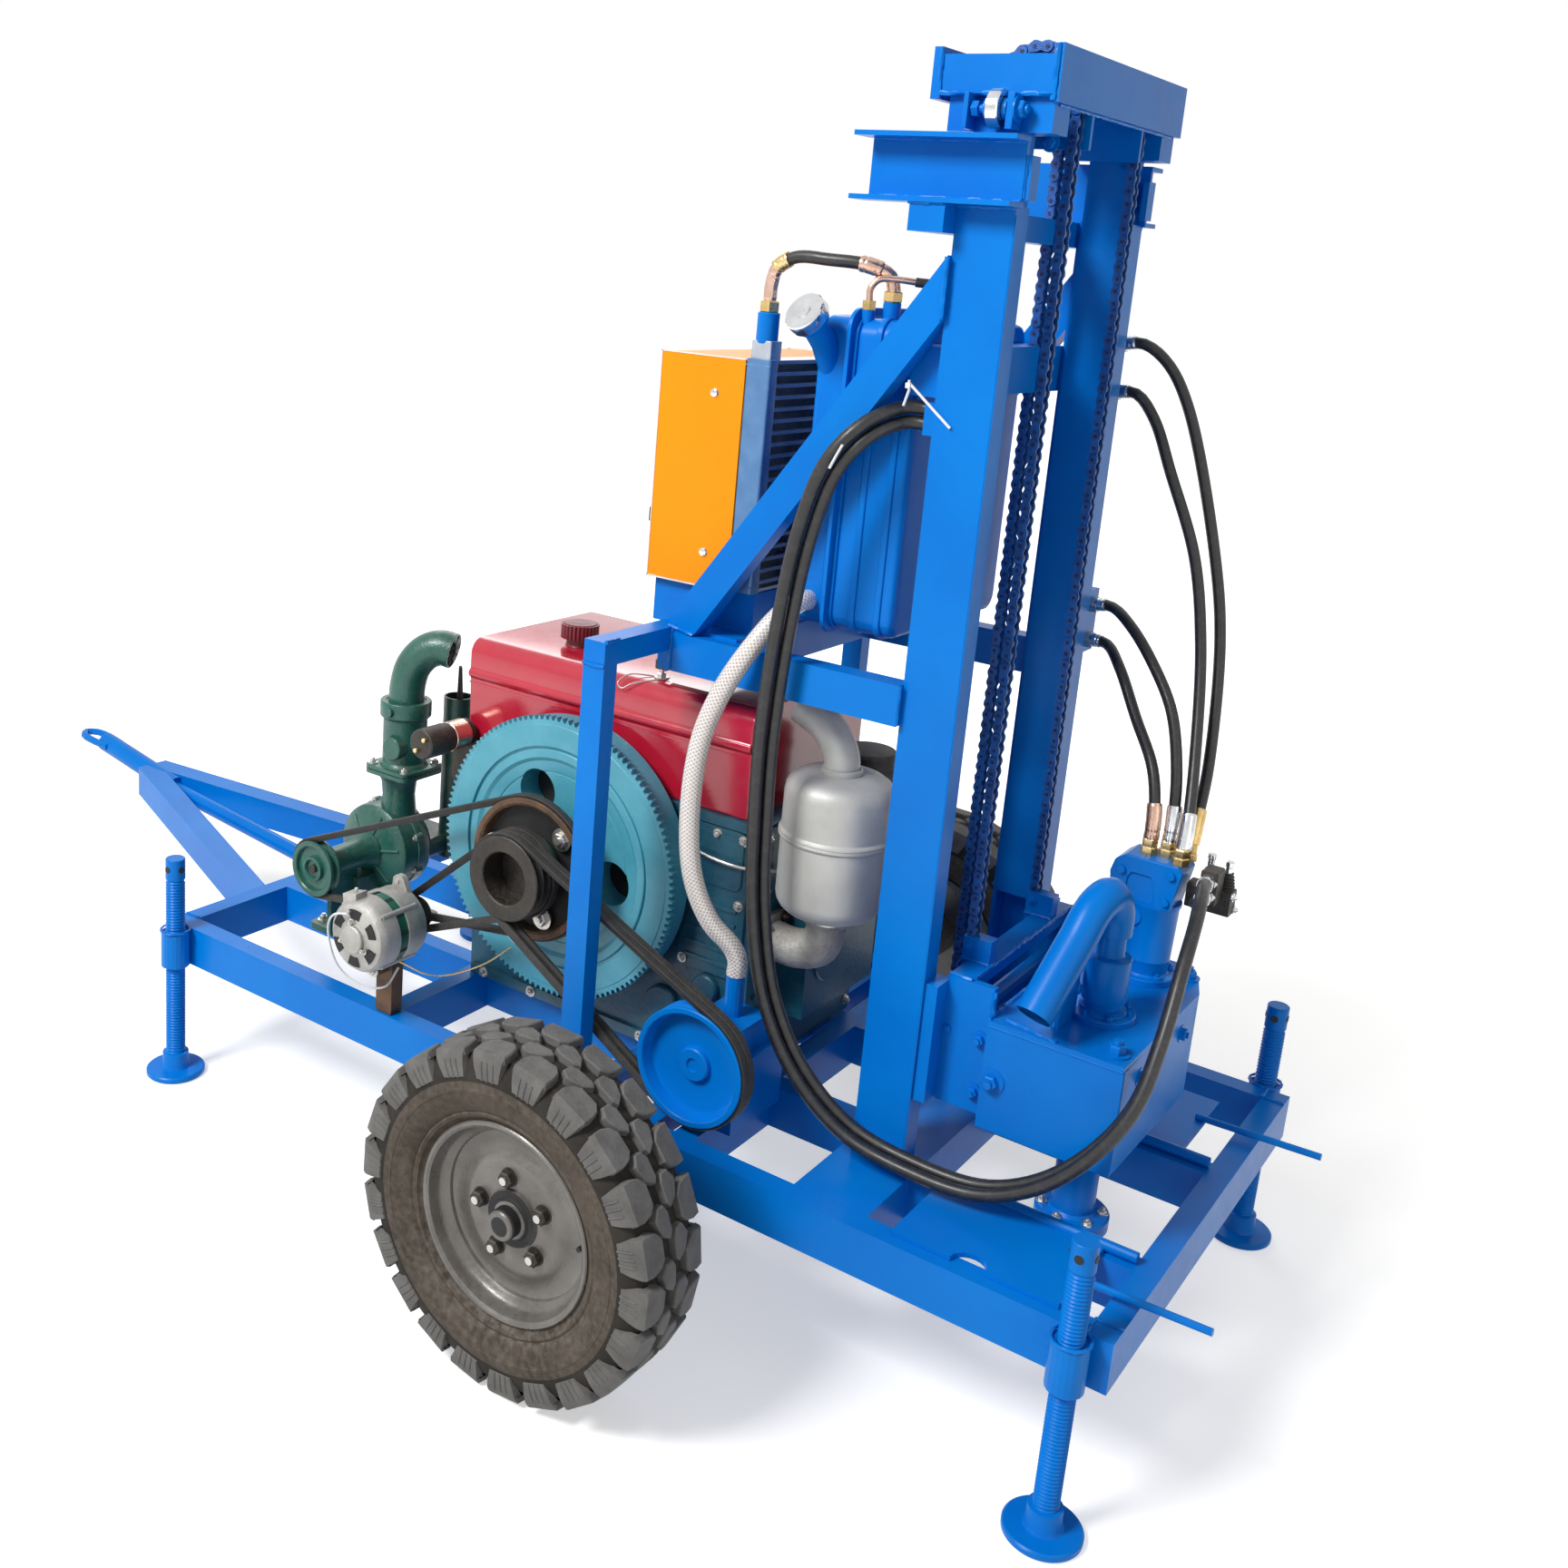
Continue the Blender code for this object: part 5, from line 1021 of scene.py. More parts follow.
for x, z in ((BX0 + 0.018, BZ0 + 0.022), (BX1 - 0.02, BZ0 + 0.016), (BX1 - 0.016, BZ1 - 0.016),
    (BX0 + 0.02, BZ1 - 0.026)):
    heads.append(turned("y", (x, z), [(0.0055, BY0 - 0.007), (0.0065, BY0 - 0.006), (0.0065, BY0)], 24))
    heads.append(lathe("y", (x, z), [(0.0, BY0 - 0.0072), (0.0032, BY0 - 0.0072), (0.0, BY0 - 0.0072)], 6))
make("motor_bolts", heads, BLUE, "carriage")
nuts = []
for name, pts in FAR_ROUTES:
    port = pts[-1][:2]
    nuts.append(turned("z", port, [(0.0145, BZ1), (0.0145, BZ1 + 0.012), (0.013, BZ1 + 0.0135)], 6))
    nuts.append(turned("z", port, [(0.012, BZ1 + 0.0135), (0.0128, BZ1 + 0.015), (0.0128, BZ1 + 0.026),
        (0.011, BZ1 + 0.028)], 6))
make("port_nuts", nuts, BRASS, "carriage")

# Control valve: two-lever block with bellows under chrome knobs
VX, VY = 0.896, 0.076
make("valve_block", [round_box(BX1 + 0.0003, 0.925, 0.112, 0.146, 0.744, 0.786, 0.005, "x"),
    round_box(VX - 0.014, VX + 0.014, VY, 0.113, 0.768, 0.826, 0.004, "y"),
    cyl("x", (0.129, 0.765), 0.013, 0.8535, 0.865, 24), cyl("y", (0.87, 0.756), 0.009, 0.104, 0.112, 20)],
    DARK, "carriage", 30, ("control_valve",), bevel=0.0012)
boots = []
knobs = []
for x, y, top in ((0.882, 0.13, 0.838), (0.911, 0.132, 0.832)):
    prof = [(0.0, 0.782), (0.013, 0.782)]
    for k in range(5):
        z = 0.786 + 0.0052 * k
        prof += [(0.0138 - 0.0009 * k, z), (0.0108 - 0.0009 * k, z + 0.0026)]
    boots.append(lathe("z", (x, y), prof + [(0.0085, 0.813), (0.0, 0.813)], 28))
    knobs.append(turned("z", (x, y), [(0.0058, 0.812), (0.0058, top - 0.01), (0.007, top - 0.0085),
        (0.007, top - 0.001), (0.006, top)], 24))
make("valve_boots", boots, BELT, "carriage")
make("valve_knobs", knobs, CHROME, "carriage")
make("valve_nuts", [turned("y", (VX, z),
    [(0.0135, VY - 0.0095), (0.0145, VY - 0.008), (0.0145, VY + 0.0005)], 6) for z in (0.7858, 0.8082)]
    + bolts("x", 0.9252, 1, 0.0045, 0.004, (0.12, 0.778), (0.138, 0.752)), CHROME, "carriage")

# Swivel with the open gooseneck
body_prof = [(0.0, 0.6043), (0.052, 0.6043), (0.052, 0.613), (0.0505, 0.6145), (0.0375, 0.615),
    (0.036, 0.6165), (0.036, 0.622), (0.03, 0.624), (0.03, 0.632), (0.0345, 0.6335), (0.035, 0.635),
    (0.035, 0.7045), (0.0335, 0.7065), (0.0235, 0.709), (0.022, 0.712), (0.022, 0.748), (0.0, 0.748)]
NECK = ((0, 0, 0.745), (0, -0.003, 0.782), (-0.005, -0.022, 0.81), (-0.014, -0.056, 0.8),
    (-0.024, -0.098, 0.75), (-0.034, -0.14, 0.7), (-0.043, -0.18, 0.653))
goose = smooth_path([(SW[0] + x, SW[1] + y, z) for x, y, z in NECK], 0.009)
make("swivel_body", [lathe("z", SW, body_prof, 64), tube(goose, 0.029, 0.0262, 10, 40),
    box(SW[0] - 0.038, SW[0] - 0.031, SW[1] - 0.1, SW[1] - 0.03, 0.6043, 0.69)], BLUE, "carriage", 34,
    ("swivel",))
make("swivel_grease", [cyl("z", (SW[0] + 0.043, SW[1] + 0.004), 0.0035, 0.6145, 0.6225, 12),
    cyl("z", (SW[0] - 0.012, SW[1] - 0.043), 0.0035, 0.6145, 0.6225, 12)]
    + bolts("z", 0.6145, 1, 0.0052, 0.005, *near(SW, (0.03, 0.031), (0.025, -0.035), (-0.034, 0.026))),
    BLUE, "carriage")
make("spindle_tube", [turned("z", SW, [(0.057, 0.236), (0.06, 0.239), (0.06, 0.2595), (0.0575, 0.262),
    (0.04, 0.2625), (0.035, 0.268), (0.035, 0.4227)], 64)], BLUE, "drill_spindle", 34, ("spindle",))
make("spindle_nuts", bolts("z", 0.2622, 1, 0.0055, 0.006, *circle(SW, 0.0485, 6, 20)), STEEL, "drill_spindle")

# Silencer: pressed drum with its seam, cast elbow to the engine, bent outlet
MX, MY = 0.345, -0.15
drum = [(0.0, 0.655), (0.046, 0.655), (0.06, 0.657), (0.074, 0.6625), (0.0835, 0.67), (0.0895, 0.68),
    (0.0915, 0.69), (0.092, 0.79), (0.0945, 0.7925), (0.0962, 0.7945), (0.0965, 0.7975), (0.095, 0.799),
    (0.0965, 0.8005), (0.0962, 0.8035), (0.094, 0.8055), (0.092, 0.808), (0.092, 0.87), (0.09, 0.882),
    (0.084, 0.892), (0.074, 0.899), (0.06, 0.904), (0.048, 0.905), (0.0, 0.905)]
elbow = smooth_path([(MX, MY, 0.662), (MX, MY, 0.625), (MX - 0.012, MY, 0.59), (MX - 0.05, MY, 0.575),
    (0.24, MY, 0.575)], 0.006)
outlet = smooth_path([(MX, MY, 0.89), (MX - 0.005, MY, 0.935), (MX - 0.035, MY, 0.975),
    (MX - 0.085, MY, 1.0)], 0.006)
make("silencer", [lathe("z", (MX, MY), drum, 96), tube(outlet, 0.03, 0.0265, 8, 40)], SILVER, "chassis", 34,
    ("muffler",))
CAST = material("cast_grey", (0.3, 0.29, 0.27), (0.46, 0.45, 0.42), 26, (0.5, 0.75), 0.3, 1.0, 160, 0, 0.25,
    (0.22, 0.14, 0.08))
make("cast_elbow", [sweep(elbow, 0.034, 36, lambda i, k: 1.0 + 0.02 * sin(k * 0.9 + i * 0.3)),
    lathe("z", (MX, MY), [(0.034, 0.64), (0.041, 0.641), (0.043, 0.644), (0.043, 0.6535), (0.0, 0.656)],
    48), round_box(0.2303, 0.244, MY - 0.04, MY + 0.04, 0.531, 0.619, 0.01, "x")], CAST, "chassis", 40,
    bevel=0.0015)
make("elbow_band", [lathe("z", (MX, MY),
    [(0.0435, 0.6465), (0.0445, 0.6475), (0.0445, 0.652), (0.0435, 0.653)], 48)], STEEL)
make("elbow_bolts", bolts("x", 0.244, 1, 0.0062, 0.006,
    *[(MY + dy, 0.575 + dz) for dy in (-0.03, 0.03) for dz in (-0.034, 0.034)]), RUST)
make("outlet_band", [lathe("z", (MX, MY), [(0.03, 0.904), (0.034, 0.905), (0.0345, 0.907), (0.034, 0.913),
    (0.0305, 0.915)], 48)], SILVER)

# Air cleaner and intake
make("intake_can", [turned("z", (0.305, 0.02), [(0.044, 0.76), (0.05, 0.764), (0.05, 0.858), (0.0525, 0.86),
    (0.0525, 0.868), (0.05, 0.87), (0.05, 0.893), (0.046, 0.8985), (0.02, 0.9)], 64),
    cyl("z", (0.268, 0.02), 0.018, 0.6403, 0.78, 28)], DARK, "chassis", 34, ("air_cleaner",))

# Fuel and water hood: pressed crimson box with rolled edges, lid lip and ribbed cap
hood = [(-0.194, 0.79), (0.184, 0.79), (0.189, 0.94)]
hood += [(0.159 + 0.03 * cos(radians(a)), 0.955 + 0.03 * sin(radians(a))) for a in (0, 22, 45, 68, 90)]
hood += [(-0.17 + 0.03 * cos(radians(a)), 0.955 + 0.03 * sin(radians(a)))
    for a in (90, 108, 126, 144, 162, 176)]
hood += [(-0.2, 0.927), (-0.2045, 0.9235), (-0.2055, 0.918), (-0.204, 0.9125), (-0.1985, 0.909)]
make("hood_shell", [prism(hood, "x", -0.436, 0.198)], RED, "chassis", 24, ("engine_hood",), bevel=0.006)
make("hood_seam", [box(-0.4362, 0.1982, -0.1996, -0.196, 0.8985, 0.9015)], RED)
CAP, STUD = (-0.272, -0.08), (-0.03, -0.15)
HOODCAP = material("cap_plastic", (0.12, 0.004, 0.012), (0.16, 0.006, 0.016), 20, (0.3, 0.45), 0, 0.1, 300)
ribs = []
for i in range(28):
    for frac, r in ((0.0, 0.0335), (0.25, 0.0358), (0.75, 0.0358)):
        a = 2 * pi * (i + frac) / 28
        ribs.append((CAP[0] + r * cos(a), CAP[1] + r * sin(a)))
make("hood_cap", [prism(ribs, "z", 1.0005, 1.027),
    turned("z", CAP, [(0.027, 0.9855), (0.025, 0.988), (0.024, 1.001)], 48),
    lathe("z", CAP, [(0.0335, 1.0265), (0.03, 1.029), (0.018, 1.0297), (0.015, 1.0285), (0.0, 1.0285)],
    48)], HOODCAP)
make("hood_gasket", [sweep([(0.01, -0.172, 0.9862), (0.19, -0.172, 0.9862)], 0.0032, 10),
    sweep([(0.014, 0.02, 0.9862), (0.19, 0.02, 0.9862)], 0.0032, 10),
    box(0.006, 0.192, -0.175, -0.1685, 0.9845, 0.987)], HOODCAP)
wire = smooth_path([(-0.045, -0.15, 0.9862), (-0.075, -0.19, 0.989), (-0.083, -0.2075, 0.975),
    (-0.074, -0.208, 0.968), (-0.058, -0.2, 0.978), (-0.012, -0.15, 0.9895)], 0.004)
make("hood_wire", [sweep(wire, 0.0013, 8)], STEEL)
make("hood_stud", hexbolt("z", STUD, 0.9855, 1, 0.008, 0.008) + [cyl("z", STUD, 0.004, 0.985, 1.006, 14)],
    STEEL)
make("hood_stud_rubber",
    [turned("z", STUD, [(0.0125, 1.004), (0.0125, 1.018), (0.01, 1.021), (0.0095, 1.036)], 28)], BELT)

# Engine block: cast side with covers, ribs, bolts and pipes
castings = [
    round_box(0.085, 0.215, -0.2055, -0.199, 0.5, 0.77, 0.02, "y"),
    round_box(0.095, 0.205, -0.2085, -0.205, 0.665, 0.76, 0.014, "y"),
    *[box(0.1, 0.2, -0.209, -0.205, 0.52 + 0.026 * k, 0.526 + 0.026 * k) for k in range(5)],
    round_box(-0.398, 0.228, -0.205, -0.1995, 0.772, 0.7893, 0.004, "y"),
    round_box(-0.395, 0.226, -0.206, -0.1995, 0.32, 0.34, 0.006, "y"),
    cyl("y", (0.15, 0.47), 0.026, -0.214, -0.199, 36, 0.003),
    cyl("y", (0.06, 0.41), 0.034, -0.212, -0.199, 36, 0.003),
    cyl("x", (-0.02, 0.53), 0.06, 0.2895, 0.296, 44, 0.003),
    round_box(0.2295, 0.2345, -0.19, 0.18, 0.33, 0.42, 0.012, "x"),
    round_box(0.2295, 0.2345, -0.19, 0.18, 0.655, 0.78, 0.012, "x"),
    *[box(0.2295, 0.235, -0.18, -0.11, 0.345 + 0.03 * k, 0.352 + 0.03 * k) for k in range(6)]]
make("engine_castings", castings, TEAL, bevel=0.0015)
heads = bolts("y", -0.2058, -1, 0.0058, 0.005, (0.097, 0.512), (0.203, 0.512), (0.097, 0.64), (0.203, 0.64),
    (0.097, 0.758), (0.203, 0.758), (0.15, 0.758))
heads += bolts("y", -0.2062, -1, 0.0066, 0.006, *[(x, 0.33) for x in (-0.36, -0.24, -0.1, 0.02, 0.12, 0.215)])
heads += bolts("x", 0.2346, 1, 0.0062, 0.0055, (-0.175, 0.345), (-0.175, 0.405), (0.165, 0.345),
    (0.165, 0.405), (-0.175, 0.67), (-0.175, 0.765), (0.0, 0.765), (0.165, 0.765))
make("engine_bolts", heads, STEEL)
make("fuel_pipe", [pipe([(0.06, -0.2075, 0.735), (0.12, -0.22, 0.722), (0.2, -0.218, 0.715),
    (0.24, -0.19, 0.712), (0.262, -0.14, 0.7)], 0.01, 0.0032, 12)], STEEL)
make("fuel_pipe_nuts",
    [cyl("y", (0.06, 0.735), 0.0085, -0.2135, -0.2055, 6), cyl("x", (-0.14, 0.7), 0.0085, 0.245, 0.266, 6)],
    BRASS)

# Water pump: volute, bearing housing, bolted flange on the axis of its outlet, collar and smooth elbow
TOP = (PX + 0.037, -0.138)
FOREST = material("pump_dark", (0.003, 0.04, 0.032), (0.005, 0.055, 0.042), 20, (0.3, 0.5), 0, 0.4, 260,
    0.1, 0.12)
volute = [(0.0, -0.2), (0.034, -0.2), (0.04, -0.196), (0.066, -0.19), (0.082, -0.185), (0.09, -0.179),
    (0.092, -0.168), (0.092, -0.145), (0.0945, -0.144), (0.0945, -0.134), (0.092, -0.133), (0.092, -0.113),
    (0.086, -0.102), (0.078, -0.098), (0.0, -0.0955)]
housing = [(0.0, -0.32), (0.031, -0.32), (0.0325, -0.318), (0.0325, -0.298), (0.029, -0.295),
    (0.0285, -0.235), (0.033, -0.215), (0.04, -0.199), (0.0, -0.199)]
neck = [(0.034, 0.5), (0.037, 0.56), (0.033, 0.6), (0.036, 0.63), (0.046, 0.65)]
elbow_path = smooth_path([(*TOP, 0.79), (TOP[0] + 0.002, -0.137, 0.836), (TOP[0] + 0.012, -0.132, 0.876),
    (TOP[0] + 0.034, -0.12, 0.906), (TOP[0] + 0.062, -0.107, 0.918), (TOP[0] + 0.086, -0.097, 0.914)], 0.008)
body = [lathe("y", PUMP, volute, 72), lathe("y", PUMP, housing, 48),
    lathe("z", (TOP[0] - 0.012, TOP[1]), neck, 48),
    *[round_box(TOP[0] - 0.058, TOP[0] + 0.058, TOP[1] - 0.058, TOP[1] + 0.058, z0, z1, 0.016)
    for z0, z1 in ((0.65, 0.6585), (0.66, 0.668))],
    turned("z", TOP, [(0.05, 0.665), (0.048, 0.672), (0.0445, 0.676), (0.0445, 0.764), (0.0455, 0.7665),
    (0.044, 0.7685), (0.049, 0.77), (0.0515, 0.773), (0.0515, 0.801), (0.05, 0.8035), (0.04, 0.8035),
    (0.039, 0.801)], 64), cyl("y", (TOP[0] + 0.006, 0.786), 0.0095, -0.196, -0.18, 24, 0.0015),
    cyl("y", (TOP[0] + 0.012, 0.712), 0.024, -0.19, -0.15, 36, 0.002),
    round_box(PX - 0.08, PX + 0.08, -0.28, -0.06, RAIL_TOP + 0.0003, 0.33, 0.012, "z"),
    box(PX - 0.02, PX + 0.02, -0.24, -0.11, 0.329, 0.44),
    box(PX - 0.006, PX + 0.006, -0.3, -0.23, 0.329, PZ - 0.02)]
rim_places = circle(PUMP, 0.0905, 8, 22.5)
body += [cyl("y", c, 0.0085, -0.148, -0.13, 16) for c in rim_places]
for p, q in zip(circle(PUMP, 0.034, 6, 10), circle(PUMP, 0.078, 6, 10)):
    body.append(sweep([(p[0], -0.1975, p[1]), (q[0], -0.1865, q[1])], 0.0035, 8))
make("pump_casting", body + [tube(elbow_path, 0.036, 0.031, 6, 40)], GREEN, "chassis", 34, ("water_pump",),
    bevel=0.001)
heads = bolts("z", 0.668, 1, 0.0062, 0.006,
    *[(TOP[0] + dx, TOP[1] + dy) for dx in (-0.044, 0.044) for dy in (-0.044, 0.044)])
heads += bolts("z", 0.33, 1, 0.0075, 0.008,
    *[(PX + dx, y) for y in (-0.255, -0.085) for dx in (-0.062, 0.062)])
make("pump_bolts", heads + bolts("y", -0.148, -1, 0.0045, 0.004, *rim_places), STEEL)
make("intake_pipe", [tube([(PX + 0.08, -0.03, 0.456 + 0.0344 * k) for k in range(11)], 0.03, 0.0262, 5, 40),
    round_box(PX - 0.02, PX + 0.09, -0.14, -0.02, PZ - 0.02, PZ + 0.02, 0.012, "y")], FOREST, "chassis", 34)
make("intake_rods", [sweep([(PX + 0.088, -0.04, 0.77), (PX + 0.104, -0.055, 0.872)], 0.0035, 10),
    sweep([(PX + 0.096, -0.036, 0.77), (PX + 0.11, -0.06, 0.872)], 0.003, 10)], BELT)

# Starter: drawn can with end cover, terminals and copper link, on its bolted bracket
SA = (-0.432, 0.803)
make("starter_can", [turned("y", SA, [(0.026, -0.33), (0.0285, -0.328), (0.029, -0.325), (0.029, -0.27)],
    56), cyl("y", SA, 0.027, -0.2705, -0.2086, 48),
    round_box(-0.46, -0.4003, -0.212, -0.14, 0.7, 0.7895, 0.01, "y")], DARK, "chassis", 34, ("starter",))
make("starter_link", [lathe("y", SA, [(0.027, -0.26), (0.0282, -0.259), (0.0282, -0.22), (0.027, -0.219)],
    56)], COPPER, "chassis", 34)
make("starter_terminals", [cyl("y", (SA[0] + 0.012, SA[1] + 0.012), 0.0046, -0.338, -0.33, 16, 0.001),
    cyl("y", (SA[0] - 0.008, SA[1] - 0.012), 0.0046, -0.338, -0.33, 16, 0.001)], BRASS)
make("starter_bracket",
    [prism([(-0.405, 0.765), (-0.372, 0.77), (-0.372, 0.64), (-0.395, 0.64), (-0.418, 0.69), (-0.42, 0.74)],
    "y", -0.211, -0.2022)], FLY, bevel=0.001)
make("starter_bolts", hexbolt("y", (-0.398, 0.738), -0.211, -1, 0.0075, 0.008)
    + hexbolt("y", (-0.404, 0.672), -0.211, -1, 0.0085, 0.012), RUST)

# Alternator: ribbed cast shells round the stator, end with black vent marks (painted shade), mounting ear and
# foot
STATOR = material("stator_green", (0.004, 0.085, 0.055), (0.008, 0.12, 0.08), 40, (0.35, 0.5), 0.2, 0.2, 300)
shell = [(0.0, -0.529), (0.024, -0.529), (0.026, -0.527), (0.0265, -0.521), (0.03, -0.519), (0.052, -0.518),
    (0.061, -0.514), (0.066, -0.507), (0.068, -0.498), (0.068, -0.47), (0.064, -0.469), (0.0, -0.469)]
front = [(0.0, -0.449), (0.064, -0.449), (0.068, -0.448), (0.068, -0.41), (0.064, -0.401), (0.052, -0.394),
    (0.03, -0.392), (0.0, -0.392)]
make("alternator_shells", [lathe("y", ALT, shell, 80), lathe("y", ALT, front, 80)], ALLOY,
    replaces=("alternator",))
make("alternator_stator", [cyl("y", ALT, 0.0655, -0.4695, -0.4485, 80)], STATOR)
# Thin black bars on the stator band stand for its slots: painted shade.
fins = []
for start in (8, 12):
    fins += [sweep([(x, -0.476, z), (x, -0.444, z)], 0.001, 6) for x, z in circle(ALT, 0.0658, 12, start)]
make("alternator_slot_shade", fins, BLACK_AND_HOLLOW_SHADE)
# Black pieces on the end face stand for its vents: painted shade, no opening is cut.
vents = []
for k in range(6):
    a0 = radians(60 * k + 14)
    arc = []
    for r, rng in ((0.054, range(6)), (0.036, range(5, -1, -1))):
        arc += [(ALT_X + r * cos(a0 + radians(6.4 * i)), ALT_Z + r * sin(a0 + radians(6.4 * i))) for i in rng]
    vents.append(prism(arc, "y", -0.5192, -0.516))
make("alternator_vent_shade", vents, BLACK_AND_HOLLOW_SHADE)
bits = []
for c in circle(ALT, 0.0665, 4, 45):
    bits.append(cyl("y", c, 0.0052, -0.5, -0.415, 16, 0.001))
    bits.append(cyl("y", c, 0.003, -0.504, -0.5, 12))
ear = near(ALT, (-0.014, 0.06), (0.03, 0.052), (0.014, 0.086), (0.008, 0.0905), (-0.004, 0.0905),
    (-0.011, 0.085))
bits.append(prism(ear, "y", -0.415, -0.402))
bits.append(prism(near(ALT, (-0.04, 0.04), (-0.01, 0.062), (-0.01, 0.078), (-0.044, 0.07)), "y", -0.508,
    -0.48))
make("alternator_foot",
    [round_box(ALT_X - 0.02, ALT_X + 0.02, -0.4415, -0.4128, 0.3163, ALT_Z - 0.05, 0.006, "y"),
    cyl("y", (ALT_X, ALT_Z - 0.078), 0.013, -0.47, -0.4128, 28, 0.0015)], RUST, bevel=0.0012)
make("alternator_lugs", bits, ALLOY, bevel=0.0012)
make("alternator_hardware", hexbolt("y", (ALT_X, ALT_Z - 0.078), -0.47, -1, 0.008, 0.007)
    + [cyl("y", (ALT_X, ALT_Z + 0.079), 0.0045, -0.418, -0.401, 14)]
    + bolts("y", -0.5195, -1, 0.0045, 0.005, *[circle(ALT, 0.03, 1, a)[0] for a in (100, 200, 330)])
    + [cyl("z", (ALT_X - 0.024, -0.494), 0.003, ALT_Z + 0.07, ALT_Z + 0.082, 12),
    cyl("y", (ALT_X - 0.012, ALT_Z + 0.046), 0.0042, -0.526, -0.516, 14)], STEEL)
LEAD_WIRE = ((-0.012, -0.5262, 0.046), (-0.036, -0.534, 0.04), (-0.06, -0.526, 0.004),
    (-0.05, -0.508, -0.075), (-0.012, -0.486, -0.106), (0.026, -0.464, -0.104), (0.034, -0.44, -0.072))
make("alternator_lead", [pipe([(ALT_X + x, y, ALT_Z + z) for x, y, z in LEAD_WIRE], 0.008, 0.0021, 12)],
    WHITE)
make("fine_wires", [pipe([(ALT_X + 0.036, -0.44, ALT_Z - 0.06), (ALT_X + 0.085, -0.4, 0.405),
    (ALT_X + 0.135, -0.33, 0.418), (ALT_X + 0.16, -0.27, 0.445)], 0.01, 0.0015, 8)], BRASS)

# Oil cooler: bars and fins between two side tanks, ports and pipe fittings
TANKBLUE = material("cooler_tank", (0.075, 0.185, 0.38), (0.105, 0.23, 0.44), 30, (0.3, 0.45), 0.35, 0.35,
    300, 0, 0.05)
BAR_TOPS = [1.56 - i * 0.01895 for i in range(20)]
bars = [box(0.1275, 0.1698, -0.1796, 0.1746, top - 0.006, top)
    for top in BAR_TOPS] + [box(0.1275, 0.1698, -0.1796, 0.1746, 1.181, 1.1862)]
make("cooler_core", [box(0.1275, 0.16, -0.1797, 0.1747, 1.182, 1.559)], CORE, replaces=("oil_cooler",))
make("cooler_bars", bars, PLATE)
make("cooler_edges", [box(0.169, 0.1704, -0.1796, 0.1746, top - 0.0054, top - 0.0004) for top in BAR_TOPS],
    TANKBLUE)
fin = []
for top in BAR_TOPS:
    z0, z1 = top - 0.01875, top - 0.006
    pts = [(0.164, -0.178 + 0.352 * k / 88, z0 if k % 2 else z1) for k in range(89)]
    v = []
    for x in (0.16, 0.165):
        v += [(x, p[1], p[2]) for p in pts]
    fin.append((v, [(k, k + 1, 90 + k, 89 + k) for k in range(88)]))
make("cooler_fins", fin, PLATE, "chassis", 20)
make("cooler_tanks",
    [round_box(0.127, 0.173, y0, y1, 1.18, 1.561, 0.005, "z") for y0, y1 in ((-0.206, -0.1795), (0.1745, 0.2))]
    + [box(0.1268, 0.1732, y0, y1, z, z + 0.0025)
    for y0, y1 in ((-0.2062, -0.1793), (0.1743, 0.2002)) for z in (1.19, 1.549)], TANKBLUE, bevel=0.001)
make("cooler_boss", [round_box(0.13, 0.168, -0.2, -0.165, 1.555, 1.59, 0.004, "z")], PLATE, bevel=0.001)
make("cooler_port", [turned("z", COOLER_PORT,
    [(0.0165, 1.585), (0.018, 1.588), (0.018, 1.632), (0.0165, 1.634)], 48)], BLUE)


def slice_of(path, t0, t1):
    """Points on a path between two lengths measured from its start (or from its end when negative)."""
    pts = [Vector(p) for p in path]
    total = length_of(pts)
    t0, t1 = (t0 + total if t0 < 0 else t0), (t1 + total if t1 <= 0 else t1)
    out = []
    run = 0.0
    for a, b in zip(pts, pts[1:]):
        d = (b - a).length
        n = max(1, int(d / 0.002))
        for i in range(n):
            s = run + d * i / n
            if t0 <= s <= t1:
                out.append(a.lerp(b, i / n))
        run += d
    return out


def collar(name, path, t0, t1, r, mat, body, rings=False):
    pts = slice_of(path, t0, t1)
    n = len(pts)

    def wall(i, k):
        t = i / (n - 1)
        if t < 0.04 or t > 0.96:
            return 0.94
        groove_here = (rings and abs(t - 0.25) < 0.03) or abs(t - 0.75) < 0.03
        return 0.95 if groove_here else 1.0
    return make(name, [sweep(pts, r, 32, wall)], mat, body)


make("cooler_nuts", [turned("z", COOLER_PORT,
    [(0.0155, 1.634), (0.0168, 1.6355), (0.0168, 1.65), (0.015, 1.652)], 6),
    turned("z", TANK_PORT, [(0.015, 1.6655), (0.016, 1.667), (0.016, 1.68), (0.0145, 1.6815)], 6)], BRASS)
collar("cooler_elbow_a", cooler_path, 0.006, 0.062, 0.0108, COPPER, "chassis")
collar("cooler_crimp_a", cooler_path, 0.06, 0.088, 0.0128, BRASS, "chassis", True)
collar("cooler_elbow_b", cooler_path, -0.058, -0.014, 0.0108, COPPER, "chassis")
collar("cooler_crimp_b", cooler_path, -0.092, -0.056, 0.013, COPPER, "chassis", True)
make("shroud_screws",
    [turned("y", c, [(0.0035, -0.2105), (0.0065, -0.2092), (0.0078, -0.207), (0.0078, -0.206)], 28)
    for c in ((0.072, 1.499), (0.074, 1.236))], CHROME)
